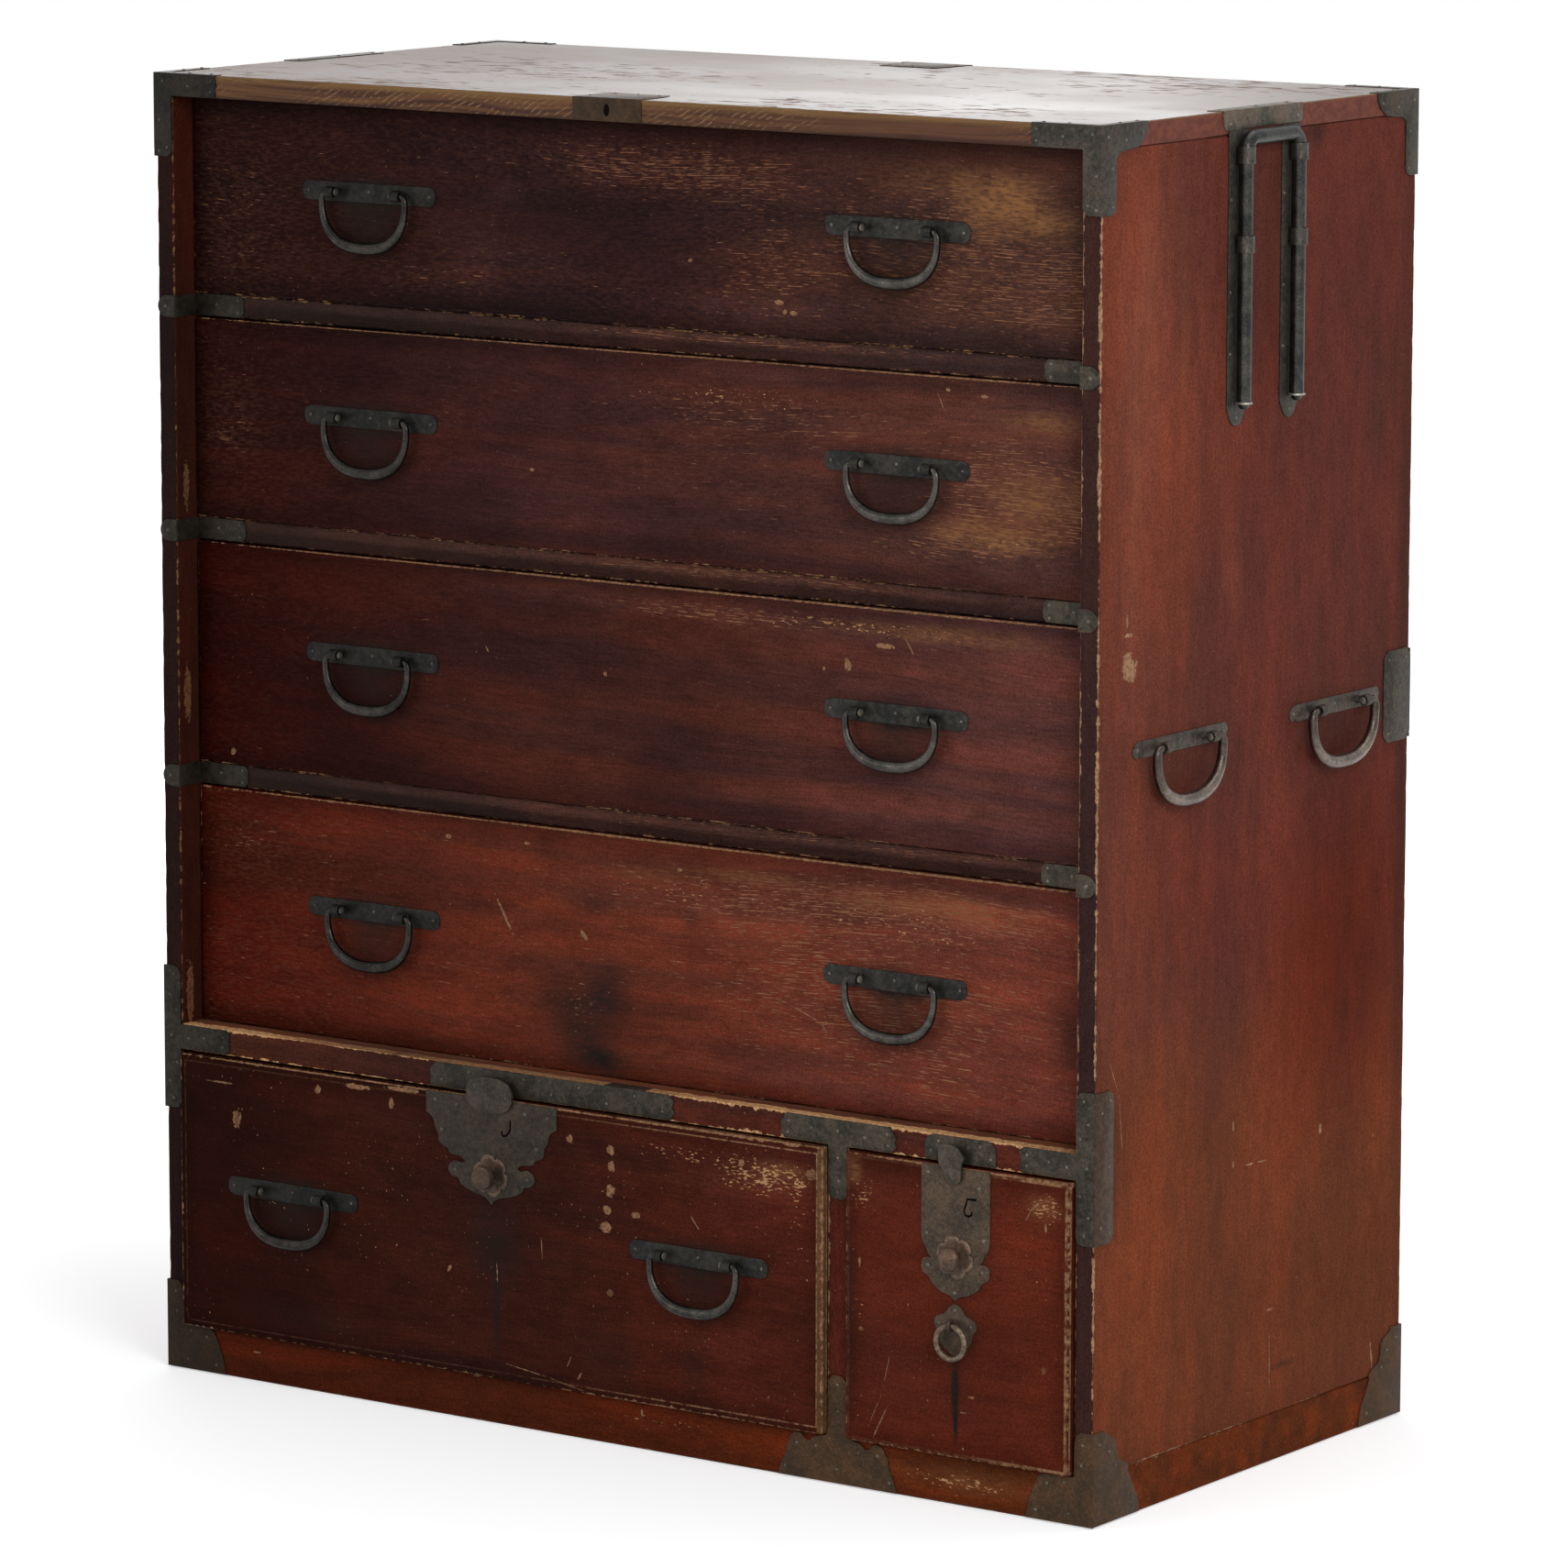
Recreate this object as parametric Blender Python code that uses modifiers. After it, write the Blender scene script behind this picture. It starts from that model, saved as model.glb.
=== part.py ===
"""A one-piece Japanese clothing chest with forged ironwork.

Four wide drawers stand above a lower drawer and a small locked cupboard.
Metres, +Z up, the front faces -Y. The origin is the middle of the chest's box, on the floor.
"""

import math

import bmesh
import bpy
from mathutils import Matrix

# Case
CASE_WIDTH = 0.904
CASE_DEPTH = 0.450
SIDE_THICK = 0.017
TOP_THICK = 0.018
BACK_THICK = 0.008
BASE_HEIGHT = 0.038
BASE_MEMBER = 0.040
BASE_FLOOR_THICK = 0.010
RECESS = 0.027
RAIL_THICK = 0.0185
RAIL_DEPTH = 0.030
SHELF_THICK = 0.008
LOWER_RAIL_THICK = 0.021
LOWER_BAY_HEIGHT = 0.2295
DIVIDER_THICK = 0.019
CUPBOARD_OPENING = 0.208
OPENING_HEIGHTS = (0.1595, 0.163, 0.182, 0.1955)
EDGE_ROUND = 0.0012

# Clearances
SEAT = 0.0003
SINK = 0.0005
OVERRUN = 0.002
WELD = 0.00001
DRAWER_SIDE_GAP = 0.0015
DRAWER_TOP_GAP = 0.002
DRAWER_REST_GAP = 0.0005
DRAWER_BACK_GAP = 0.012
MARGIN = 0.0005

# Drawers and door
FRONT_THICK = 0.020
UPPER_STEP = 0.0035
LOWER_PROUD = 0.006
BOX_WALL = 0.009
BOX_FLOOR = 0.006
BOX_DROP = 0.012
LAP_DEPTH = 0.011
DOOR_THICK = 0.018

# Sheet iron
IRON = 0.0012
STRAP_LENGTH = 0.050

# Drawer handles
HANDLE_INSET = 0.180
LOWER_HANDLE_INSET = 0.1175
HANDLE_RISE = 0.0105
HANDLE_PLATE_LENGTH = 0.133
HANDLE_PLATE_HEIGHT = 0.0155
HANDLE_PLATE_CUT = 0.005
EYE_SPREAD = 0.066
EYE_LENGTH = 0.007
EYE_RADIUS = 0.0046
PIN_RADIUS = 0.0021
PIN_GAP = 0.0005
PIN_TAIL = 0.003
BAIL_HALF_WIDTH = 0.0418
BAIL_DROP = 0.0445
BAIL_BELLY_RADIUS = 0.0042
BAIL_STANDOFF = 0.0072
BAIL_BEND = 0.005

# Carrying bails on the two sides
SIDE_HANDLE_Z = 0.590
SIDE_HANDLE_INSET = 0.1135
SIDE_BAIL_HALF_WIDTH = 0.0468
SIDE_BAIL_DROP = 0.0440
SIDE_BAIL_BELLY_RADIUS = 0.0054
SIDE_BAIL_STANDOFF = 0.0085

# Sliding pole bars at the top of the two sides
POLE_LEG_SPREAD = 0.076
POLE_BAR_RADIUS = 0.0041
POLE_BAR_GAP = 0.0005
POLE_STANDOFF = 0.0075
POLE_TOP_DROP = 0.0205
POLE_LEG_END_Z = 0.8385
POLE_BEND = 0.008
POLE_STOP_RADIUS = 0.0062
POLE_STOP_HEIGHT = 0.0025
POLE_RIVET_RADIUS = 0.0030
POLE_RIVET_LENGTH = 0.004
SLEEVE_RADIUS = 0.0064
SLEEVE_HEIGHT = 0.014
UPPER_SLEEVE_Z = 1.026
LOWER_SLEEVE_Z = 0.960
POLE_PLATE_WIDTH = 0.027
POLE_PLATE_FOOT_Z = 0.822
POLE_STRAP_LENGTH = 0.113
POLE_STRAP_DROP = 0.0155
POLE_STRAP_LAP = 0.014

# Corner irons
TOP_CORNER_ARM = 0.062
TOP_CORNER_LEG = 0.067
TOP_CORNER_LIP = 0.006
MID_CORNER_ARM = 0.050
MID_CORNER_RISE = 0.048
MID_CORNER_FALL = 0.050
MID_CORNER_SIDE = 0.024
BASE_CORNER_ARM = 0.060
BASE_CORNER_LEG = 0.071
BASE_CORNER_SIDE = 0.064
BASE_CORNER_SIDE_HEIGHT = 0.074

# Plates on the lower rail and the base
T_HALF_SPAN = 0.054
UPPER_T_LEG = 0.042
BASE_T_LEG = 0.048
BASE_T_HALF_SPAN = 0.056
STRIKE_LEFT_REACH = 0.0655
STRIKE_RIGHT_REACH = 0.176
STRIKE_TAB_OFFSET = 0.1065
STRIKE_TAB_WIDTH = 0.040
STRIKE_TAB_DEPTH = 0.012
DOOR_STRIKE_WIDTH = 0.065
STRIKE_CORNER = 0.008
CENTRE_PLATE_WIDTH = 0.066
CENTRE_PLATE_LAP = 0.046
CENTRE_KEYHOLE_WIDTH = 0.0055
CENTRE_KEYHOLE_HEIGHT = 0.0095
CENTRE_KEYHOLE_DEPTH = 0.010
BACK_EDGE_PLATE_Z = 0.5855
BACK_EDGE_PLATE_HEIGHT = 0.073
BACK_EDGE_PLATE_DEPTH = 0.038

# Locks
MAIN_LOCK_HALF_WIDTH = 0.065
MAIN_LOCK_HEIGHT = 0.086
DOOR_LOCK_HALF_WIDTH = 0.0315
DOOR_LOCK_HEIGHT = 0.104
MAIN_TONGUE_HALF_WIDTH = 0.0232
MAIN_TONGUE_HALF_HEIGHT = 0.0145
DOOR_TONGUE_HALF_WIDTH = 0.0125
DOOR_TONGUE_HALF_HEIGHT = 0.015
TONGUE_THICK = 0.0022
TONGUE_RISE = 0.0033
NECK_WIDTH = 0.008
NECK_HEIGHT = 0.004
NECK_DROP = 0.0105
BOLT_WIDTH = 0.014
BOLT_THICK = 0.004
BOLT_LENGTH = 0.030
BOLT_DEPTH_IN_FRONT = 0.009
BOLT_GAP = 0.0008
BOLT_TRAVEL = 0.005
KEYHOLE_OFFSET = 0.019
KEYHOLE_DROP = 0.024
KEYHOLE_SLOT = 0.0016
KEYHOLE_LENGTH = 0.009
MAIN_KNOB_DROP = 0.062
DOOR_KNOB_DROP = 0.0695
KNOB_RADIUS = 0.0085
KNOB_THICK = 0.008
KNOB_STAND = 0.0062
KNOB_SHAFT_RADIUS = 0.0035
KNOB_SHAFT_GAP = 0.0006
KNOB_SHAFT_LENGTH = 0.010
WASHER_RADIUS = 0.0165
WASHER_THICK = 0.0016

# Ring pull on the door
RING_RADIUS = 0.0130
RING_WIRE = 0.0024
RING_EYE_DROP = 0.018
RING_EYE_RADIUS = 0.0055
RING_EYE_LENGTH = 0.0025
RING_STANDOFF = 0.0062
RING_PLATE_HALF_WIDTH = 0.0195
RING_PLATE_HALF_HEIGHT = 0.021
RING_PLATE_DROP = 0.005

# Number of facets
KNOB_STEPS = 14
ROUND_STEPS = 10
EYE_STEPS = 6
PIN_STEPS = 8
BAIL_STEPS = 6
PETAL_STEPS = 4
BEND_STEPS = 3
RING_STEPS = 20
WIRE_SIDES = 8

# Outlines as shares of the sizes that they follow, from the plate's middle line outwards
MAIN_LOCK_SHARES = (
    (1.0, 0.0), (1.0, 0.23), (0.89, 0.28), (0.85, 0.41), (0.80, 0.52), (0.66, 0.575), (0.60, 0.615),
    (0.41, 0.665), (0.585, 0.68), (0.65, 0.745), (0.615, 0.825), (0.49, 0.87), (0.26, 0.94), (0.0, 1.0),
)
DOOR_LOCK_SHARES = (
    (1.0, 0.0), (1.0, 0.565), (0.86, 0.625), (0.76, 0.70), (0.68, 0.745),
    (0.96, 0.765), (1.0, 0.835), (0.76, 0.915), (0.35, 0.975), (0.0, 1.0),
)
LEAF_SHARES = (
    (0.0, 1.0), (0.42, 0.92), (0.66, 0.62), (0.98, 0.30),
    (1.0, -0.05), (0.74, -0.50), (0.40, -0.90), (0.0, -1.0),
)
BASE_SIDE_SHARES = (
    (1.0, 0.0), (0.94, 0.19), (0.80, 0.38), (0.66, 0.57),
    (0.52, 0.69), (0.42, 0.80), (0.37, 0.91), (0.25, 0.985),
)
BASE_T_SHARES = (
    (0.17, 1.0), (0.37, 0.90), (0.47, 0.84), (0.57, 0.96),
    (0.72, 0.95), (0.79, 0.79), (0.86, 0.50), (1.0, 0.0),
)
RING_PLATE_SHARES = (
    (0.0, 1.0), (0.30, 0.86), (0.52, 0.60), (0.66, 0.62), (0.96, 0.40), (1.0, 0.10), (0.78, -0.20),
    (0.70, -0.50), (0.36, -0.80), (0.0, -1.0),
)
PETAL_SHARE = 0.13
PETALS = 6

# Levels and planes worked out from the sizes above
LOWER_RAIL_Z = BASE_HEIGHT + LOWER_BAY_HEIGHT
LEDGE_Z = LOWER_RAIL_Z + LOWER_RAIL_THICK
CASE_HEIGHT = LEDGE_Z + sum(OPENING_HEIGHTS) + (len(OPENING_HEIGHTS) - 1) * RAIL_THICK + TOP_THICK
TOP_UNDERSIDE_Z = CASE_HEIGHT - TOP_THICK
HALF_WIDTH = CASE_WIDTH / 2
INNER_HALF = HALF_WIDTH - SIDE_THICK
PROUD_IRON = SEAT + IRON
HALF_IRON = IRON / 2
KNOB_REACH = LOWER_PROUD + PROUD_IRON + KNOB_STAND + KNOB_THICK
FRONT_Y = (KNOB_REACH - CASE_DEPTH - PROUD_IRON) / 2
BACK_Y = FRONT_Y + CASE_DEPTH
MIDDLE_Y = (FRONT_Y + BACK_Y) / 2
BACK_BOARD_Y = BACK_Y - BACK_THICK
DIVIDER_RIGHT_X = INNER_HALF - CUPBOARD_OPENING
DIVIDER_LEFT_X = DIVIDER_RIGHT_X - DIVIDER_THICK
DIVIDER_X = (DIVIDER_LEFT_X + DIVIDER_RIGHT_X) / 2
DOOR_X = (DIVIDER_RIGHT_X + INNER_HALF) / 2
LOWER_DRAWER_X = (DIVIDER_LEFT_X - INNER_HALF) / 2
UPPER_FACE_Y = FRONT_Y + RECESS - UPPER_STEP
LOWER_FACE_Y = FRONT_Y - LOWER_PROUD
DRAWER_TOP_Z = LOWER_RAIL_Z - DRAWER_TOP_GAP
TONGUE_Z = DRAWER_TOP_Z + TONGUE_RISE
RING_EYE_Z = DRAWER_TOP_Z - DOOR_LOCK_HEIGHT - RING_EYE_DROP
STRIKE_LEFT_X = LOWER_DRAWER_X - STRIKE_LEFT_REACH
STRIKE_RIGHT_X = LOWER_DRAWER_X + STRIKE_RIGHT_REACH
STRIKE_TAB_LEFT_X = LOWER_DRAWER_X + STRIKE_TAB_OFFSET
STRIKE_TAB_RIGHT_X = STRIKE_TAB_LEFT_X + STRIKE_TAB_WIDTH


def shelf_levels():
    """Top level of each shelf under the four upper drawers, from the top drawer down."""
    levels = []
    z = TOP_UNDERSIDE_Z
    for height in OPENING_HEIGHTS:
        z -= height
        levels.append(z)
        z -= RAIL_THICK
    return levels


SHELF_LEVELS = shelf_levels()


def clear_scene():
    for item in list(bpy.data.objects):
        bpy.data.objects.remove(item)


def make_collection(name):
    made = bpy.data.collections.new(name)
    bpy.context.scene.collection.children.link(made)
    return made


def finish_material(name, colour, roughness, metallic):
    made = bpy.data.materials.new(name)
    made.use_nodes = True
    shader = made.node_tree.nodes["Principled BSDF"]
    shader.inputs["Base Color"].default_value = (*colour, 1.0)
    shader.inputs["Roughness"].default_value = roughness
    shader.inputs["Metallic"].default_value = metallic
    return made


clear_scene()
CHEST = make_collection("clothing_chest")
RED_LACQUER = finish_material("red_lacquer", (0.115, 0.022, 0.012), 0.38, 0.0)
BROWN_LACQUER = finish_material("brown_lacquer", (0.165, 0.045, 0.020), 0.45, 0.0)
PLAIN_WOOD = finish_material("plain_wood", (0.46, 0.33, 0.20), 0.70, 0.0)
BLACK_IRON = finish_material("black_iron", (0.045, 0.045, 0.040), 0.55, 0.8)
RUST_IRON = finish_material("rust_iron", (0.10, 0.065, 0.040), 0.60, 0.7)


def new_object(name, mesh, finish=None):
    made = bpy.data.objects.new(name, mesh)
    CHEST.objects.link(made)
    if finish is not None:
        mesh.materials.clear()
        mesh.materials.append(finish)
    return made


def block(name, low, high, finish=None, rounded=0.0):
    """A board or bar between two corners."""
    mesh = bpy.data.meshes.new(name)
    form = bmesh.new()
    bmesh.ops.create_cube(form, size=1.0)
    size = [high[i] - low[i] for i in range(3)]
    middle = [(high[i] + low[i]) / 2 for i in range(3)]
    bmesh.ops.scale(form, vec=size, verts=form.verts)
    bmesh.ops.translate(form, vec=middle, verts=form.verts)
    form.to_mesh(mesh)
    form.free()
    made = new_object(name, mesh, finish)
    if rounded:
        bevel = made.modifiers.new("rounded_edges", "BEVEL")
        bevel.width = rounded
        bevel.segments = 1
        settle(made)
    return made


def settle(item):
    """Replaces an object's mesh by its evaluated one, so that its modifiers are applied."""
    bpy.context.view_layer.update()
    graph = bpy.context.evaluated_depsgraph_get()
    mesh = bpy.data.meshes.new_from_object(item.evaluated_get(graph))
    item.modifiers.clear()
    item.data = mesh
    return item


def combine(item, others, operation):
    """Joins or cuts with each of the others, then removes them."""
    for other in others:
        change = item.modifiers.new(operation.lower(), "BOOLEAN")
        change.operation = operation
        change.solver = "EXACT"
        change.object = other
        settle(item)
        bpy.data.objects.remove(other)
    return item


def join(item, *others):
    return combine(item, others, "UNION")


def cut(item, *others):
    return combine(item, others, "DIFFERENCE")


def face_place(face, level):
    """Stands a flat outline up on the front, back, right or top face, at a level along that face's axis."""
    upright = Matrix.Rotation(math.pi / 2, 4, "X")
    if face == "right":
        return Matrix.Translation((level, 0, 0)) @ Matrix.Rotation(math.pi / 2, 4, "Z") @ upright
    if face == "top":
        return Matrix.Translation((0, 0, level))
    return Matrix.Translation((0, level, 0)) @ upright


def flat(name, loops, low, high, face, finish=None):
    """A flat plate of the outline in loops, between two levels along the face's own axis.

    Front and back outlines are in X and Z, right ones in Y and Z, top ones in X and Y.
    """
    curve = bpy.data.curves.new(name, "CURVE")
    curve.dimensions = "2D"
    curve.fill_mode = "BOTH"
    curve.extrude = (high - low) / 2
    for loop in loops:
        spline = curve.splines.new("POLY")
        spline.points.add(len(loop) - 1)
        for point, (u, v) in zip(spline.points, loop):
            point.co = (u, v, 0.0, 1.0)
        spline.use_cyclic_u = True
    guide = bpy.data.objects.new(name, curve)
    CHEST.objects.link(guide)
    guide.matrix_world = face_place(face, (low + high) / 2)
    return solid_from(guide, name, finish)


def solid_from(guide, name, finish):
    """Turns a curve object into a closed mesh object at the same place."""
    bpy.context.view_layer.update()
    graph = bpy.context.evaluated_depsgraph_get()
    mesh = bpy.data.meshes.new_from_object(guide.evaluated_get(graph))
    mesh.transform(guide.matrix_world)
    form = bmesh.new()
    form.from_mesh(mesh)
    bmesh.ops.remove_doubles(form, verts=form.verts, dist=WELD)
    bmesh.ops.recalc_face_normals(form, faces=form.faces)
    form.to_mesh(mesh)
    form.free()
    bpy.data.objects.remove(guide)
    return new_object(name, mesh, finish)


def tube(name, points, radii, finish=None):
    """A round bar along points in world space, with its own radius at each point."""
    curve = bpy.data.curves.new(name, "CURVE")
    curve.dimensions = "3D"
    curve.bevel_depth = 1.0
    curve.bevel_resolution = WIRE_SIDES // 2 - 2
    curve.use_fill_caps = True
    spline = curve.splines.new("POLY")
    spline.points.add(len(points) - 1)
    for point, place, radius in zip(spline.points, points, radii):
        point.co = (*place, 1.0)
        point.radius = radius
    guide = bpy.data.objects.new(name, curve)
    CHEST.objects.link(guide)
    return solid_from(guide, name, finish)


def turned(name, profile, centre, finish=None):
    """A shape turned about an axis along Y through centre, from radii and distances out of the front."""
    mesh = bpy.data.meshes.new(name)
    form = bmesh.new()
    corners = [form.verts.new((radius, 0.0, -reach)) for radius, reach in profile]
    for first, second in zip(corners, corners[1:]):
        form.edges.new((first, second))
    form.to_mesh(mesh)
    form.free()
    made = new_object(name, mesh, finish)
    screw = made.modifiers.new("turned", "SCREW")
    screw.axis = "Z"
    screw.steps = KNOB_STEPS
    screw.render_steps = KNOB_STEPS
    screw.use_merge_vertices = True
    screw.merge_threshold = WELD
    screw.use_normal_calculate = True
    settle(made)
    made.data.transform(Matrix.Translation(centre) @ Matrix.Rotation(-math.pi / 2, 4, "X"))
    form = bmesh.new()
    form.from_mesh(made.data)
    bmesh.ops.recalc_face_normals(form, faces=form.faces)
    form.to_mesh(made.data)
    form.free()
    return made


def mirrored(item, name, axis, plane=0.0):
    """A mirror image of a piece, across a plane square to the given axis."""
    mesh = item.data.copy()
    scale = Matrix.Identity(4)
    scale[axis][axis] = -1.0
    scale[axis][3] = 2 * plane
    mesh.transform(scale)
    mesh.flip_normals()
    return new_object(name, mesh)


def pivot(item, place):
    """Moves an object's origin onto its joint's axis."""
    item.data.transform(Matrix.Translation(place).inverted())
    item.location = place
    return item


def circle(u, v, radius, steps, start=0.0):
    turns = [start + 2 * math.pi * i / steps for i in range(steps)]
    return [(u + radius * math.cos(turn), v + radius * math.sin(turn)) for turn in turns]


def rectangle(left, bottom, right, top):
    return [(left, bottom), (right, bottom), (right, top), (left, top)]


def both_sides(half):
    """Closes a half outline, given from the middle line or beyond it, with its mirror image."""
    other = [(-u, v) for u, v in reversed(half) if u > 0]
    return list(half) + other


def moved(loop, u, v):
    return [(point[0] + u, point[1] + v) for point in loop]


def strap_height():
    return RAIL_THICK - 2 * MARGIN


def side_panel():
    """The right side panel with the ends of its three rail straps and its back edge plate."""
    panel = block(
        "right_side_panel",
        (INNER_HALF, FRONT_Y, BASE_HEIGHT + SEAT),
        (HALF_WIDTH, BACK_Y, TOP_UNDERSIDE_Z - SEAT),
        BROWN_LACQUER,
        EDGE_ROUND,
    )
    half = strap_height() / 2
    round_x = HALF_WIDTH - MARGIN - half
    for level in SHELF_LEVELS[:-1]:
        middle = level - RAIL_THICK / 2
        ear = [(INNER_HALF - HALF_IRON, middle - half)]
        for i in range(EYE_STEPS + 1):
            turn = math.pi * (i / EYE_STEPS - 1 / 2)
            ear.append((round_x + half * math.cos(turn), middle + half * math.sin(turn)))
        ear.append((INNER_HALF - HALF_IRON, middle + half))
        join(
            panel,
            flat("ear", [ear], FRONT_Y - IRON, FRONT_Y + SINK, "front"),
            block(
                "inner_leg",
                (INNER_HALF - IRON, FRONT_Y - HALF_IRON, middle - half + MARGIN),
                (INNER_HALF + SINK, FRONT_Y + RECESS - IRON - SEAT, middle + half - MARGIN),
            ),
        )
    low = BACK_EDGE_PLATE_Z - BACK_EDGE_PLATE_HEIGHT / 2
    high = BACK_EDGE_PLATE_Z + BACK_EDGE_PLATE_HEIGHT / 2
    outline = rectangle(BACK_Y - BACK_EDGE_PLATE_DEPTH, low, BACK_Y + HALF_IRON, high)
    lap = rectangle(INNER_HALF + MARGIN, low + MARGIN, HALF_WIDTH + HALF_IRON, high - MARGIN)
    join(
        panel,
        flat("edge_plate", [outline], HALF_WIDTH - SINK, HALF_WIDTH + IRON, "right"),
        flat("edge_lap", [lap], BACK_Y - SINK, BACK_Y + IRON, "back"),
    )
    half_plate = HANDLE_PLATE_LENGTH / 2
    for side in (-1, 1):
        y = side_handle_y(side)
        plate = moved(handle_outline(half_plate), y, SIDE_HANDLE_Z)
        join(panel, flat("handle_plate", [plate], HALF_WIDTH - SINK, HALF_WIDTH + IRON, "right"))
        for post in (-1, 1):
            middle = y + post * EYE_SPREAD / 2
            low_y = middle - EYE_LENGTH / 2
            high_y = middle + EYE_LENGTH / 2
            loops = eye_loops(HALF_WIDTH + IRON - SINK, HALF_WIDTH + IRON + SIDE_BAIL_STANDOFF, SIDE_HANDLE_Z)
            join(panel, flat("eye", loops, low_y, high_y, "front"))
    return panel


def side_handle_y(side):
    """Place along Y of a carrying bail, towards the front for -1 and towards the back for 1."""
    return MIDDLE_Y + side * (CASE_DEPTH / 2 - SIDE_HANDLE_INSET)


def handle_outline(half_length):
    """A straight handle plate with cut corners, about its own middle."""
    half = HANDLE_PLATE_HEIGHT / 2
    inner = half - HANDLE_PLATE_CUT
    end = half_length - HANDLE_PLATE_CUT
    right = [(end, -half), (half_length, -inner), (half_length, inner), (end, half)]
    return right + [(-u, v) for u, v in reversed(right)]


def eye_loops(root, axis, level):
    """Outline of an eye post from its root plane out to the axis, with the pin's hole."""
    outward = 1 if axis > root else -1
    loop = [(root, level - EYE_RADIUS)]
    for i in range(EYE_STEPS + 1):
        turn = math.pi * (i / EYE_STEPS - 1 / 2)
        loop.append((axis + outward * EYE_RADIUS * math.cos(turn), level + EYE_RADIUS * math.sin(turn)))
    loop.append((root, level + EYE_RADIUS))
    hole = circle(axis, level, PIN_RADIUS + PIN_GAP, PIN_STEPS)
    return [loop, hole]


def front_handle_posts(board, x, z, face_y):
    """Adds one handle's plate and two eye posts to a drawer front."""
    outline = moved(handle_outline(HANDLE_PLATE_LENGTH / 2), x, z)
    join(board, flat("handle_plate", [outline], face_y - IRON, face_y + SINK, "front"))
    for post in (-1, 1):
        middle = x + post * EYE_SPREAD / 2
        loops = eye_loops(face_y - IRON + SINK, face_y - IRON - BAIL_STANDOFF, z)
        join(board, flat("eye", loops, middle - EYE_LENGTH / 2, middle + EYE_LENGTH / 2, "right"))


def bail(name, centre, half_width, drop, belly, across, finish):
    """A hanging crescent bail; across is the world axis that its pins lie along."""
    eye_out = (EYE_SPREAD + EYE_LENGTH) / 2
    pin_end = (EYE_SPREAD - EYE_LENGTH) / 2 - PIN_TAIL
    bend_x = (eye_out + half_width) / 2
    half = [(pin_end, 0.0, PIN_RADIUS), (bend_x, 0.0, PIN_RADIUS), (half_width, -BAIL_BEND, PIN_RADIUS)]
    for i in range(1, BAIL_STEPS):
        turn = math.pi / 2 * i / BAIL_STEPS
        radius = PIN_RADIUS + (belly - PIN_RADIUS) * math.sin(turn) ** 1.5
        depth = -BAIL_BEND - (drop - BAIL_BEND) * math.sin(turn)
        half.append((half_width * math.cos(turn), depth, radius))
    path = [(-u, v, r) for u, v, r in half] + [(0.0, -drop, belly)] + half[::-1]
    points = []
    for u, v, _ in path:
        place = list(centre)
        place[across] += u
        place[2] += v
        points.append(place)
    return pivot(tube(name, points, [r for _, _, r in path], finish), centre)


def drawer_front(number, x, half_width, low, high, face_y, inset):
    """A drawer's front board, lapped for its sides, with two handles' plates and posts."""
    back_y = face_y + FRONT_THICK
    board = block(
        f"drawer_front_{number}",
        (x - half_width, face_y, low),
        (x + half_width, back_y, high),
        RED_LACQUER,
        EDGE_ROUND,
    )
    for side in (-1, 1):
        outer = x + side * (half_width + OVERRUN)
        inner = x + side * (half_width - BOX_WALL - SEAT - MARGIN)
        cut(
            board,
            block(
                "lap",
                (min(outer, inner), back_y - LAP_DEPTH - SEAT, low - OVERRUN),
                (max(outer, inner), back_y + OVERRUN, high - BOX_DROP + SEAT),
            ),
        )
    z = (low + high) / 2 + HANDLE_RISE
    for side in (-1, 1):
        handle_x = x + side * (half_width - inset)
        front_handle_posts(board, handle_x, z, face_y)
        place = (handle_x, face_y - IRON - BAIL_STANDOFF, z)
        side_name = "left" if side < 0 else "right"
        bail(
            f"bail_{number}_{side_name}", place, BAIL_HALF_WIDTH, BAIL_DROP, BAIL_BELLY_RADIUS, 0, BLACK_IRON
        )
    return board


def drawer_box(number, x, half_width, low, high, face_y):
    """A drawer's two sides, back and floor; the front board closes its open end."""
    front_back_y = face_y + FRONT_THICK
    end_y = BACK_BOARD_Y - DRAWER_BACK_GAP
    half = half_width - MARGIN
    inner = half - BOX_WALL
    box = block(
        f"drawer_box_{number}",
        (x - half, front_back_y - LAP_DEPTH, low),
        (x + half, end_y, high - BOX_DROP),
        PLAIN_WOOD,
    )
    cut(
        box,
        block(
            "hollow",
            (x - inner, front_back_y - LAP_DEPTH - OVERRUN, low + BOX_FLOOR),
            (x + inner, end_y - BOX_WALL, high),
        ),
        block(
            "front_gap",
            (x - inner, front_back_y - LAP_DEPTH - OVERRUN, low - OVERRUN),
            (x + inner, front_back_y + SEAT, high),
        ),
    )
    return box


def shelf(name, front_y, rail_thick, level):
    """A shelf board with a deeper rail along its front edge."""
    board = block(
        name,
        (-INNER_HALF + SEAT, front_y, level - rail_thick),
        (INNER_HALF - SEAT, BACK_BOARD_Y - SEAT, level),
        BROWN_LACQUER,
    )
    under = block(
        "under",
        (-HALF_WIDTH, front_y + RAIL_DEPTH, level - rail_thick - OVERRUN),
        (HALF_WIDTH, BACK_Y, level - SHELF_THICK),
    )
    return cut(board, under)


def upper_shelf(number, level):
    """One of the three recessed rails, with the arms of its two straps."""
    front_y = FRONT_Y + RECESS
    board = shelf(f"drawer_shelf_{number}", front_y, RAIL_THICK, level)
    half = strap_height() / 2
    middle = level - RAIL_THICK / 2
    for side in (-1, 1):
        outer = side * (INNER_HALF - SEAT)
        inner = side * (INNER_HALF - STRAP_LENGTH)
        join(
            board,
            block(
                "arm",
                (min(outer, inner), front_y - IRON, middle - half),
                (max(outer, inner), front_y + SINK, middle + half),
            ),
        )
    return board


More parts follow.
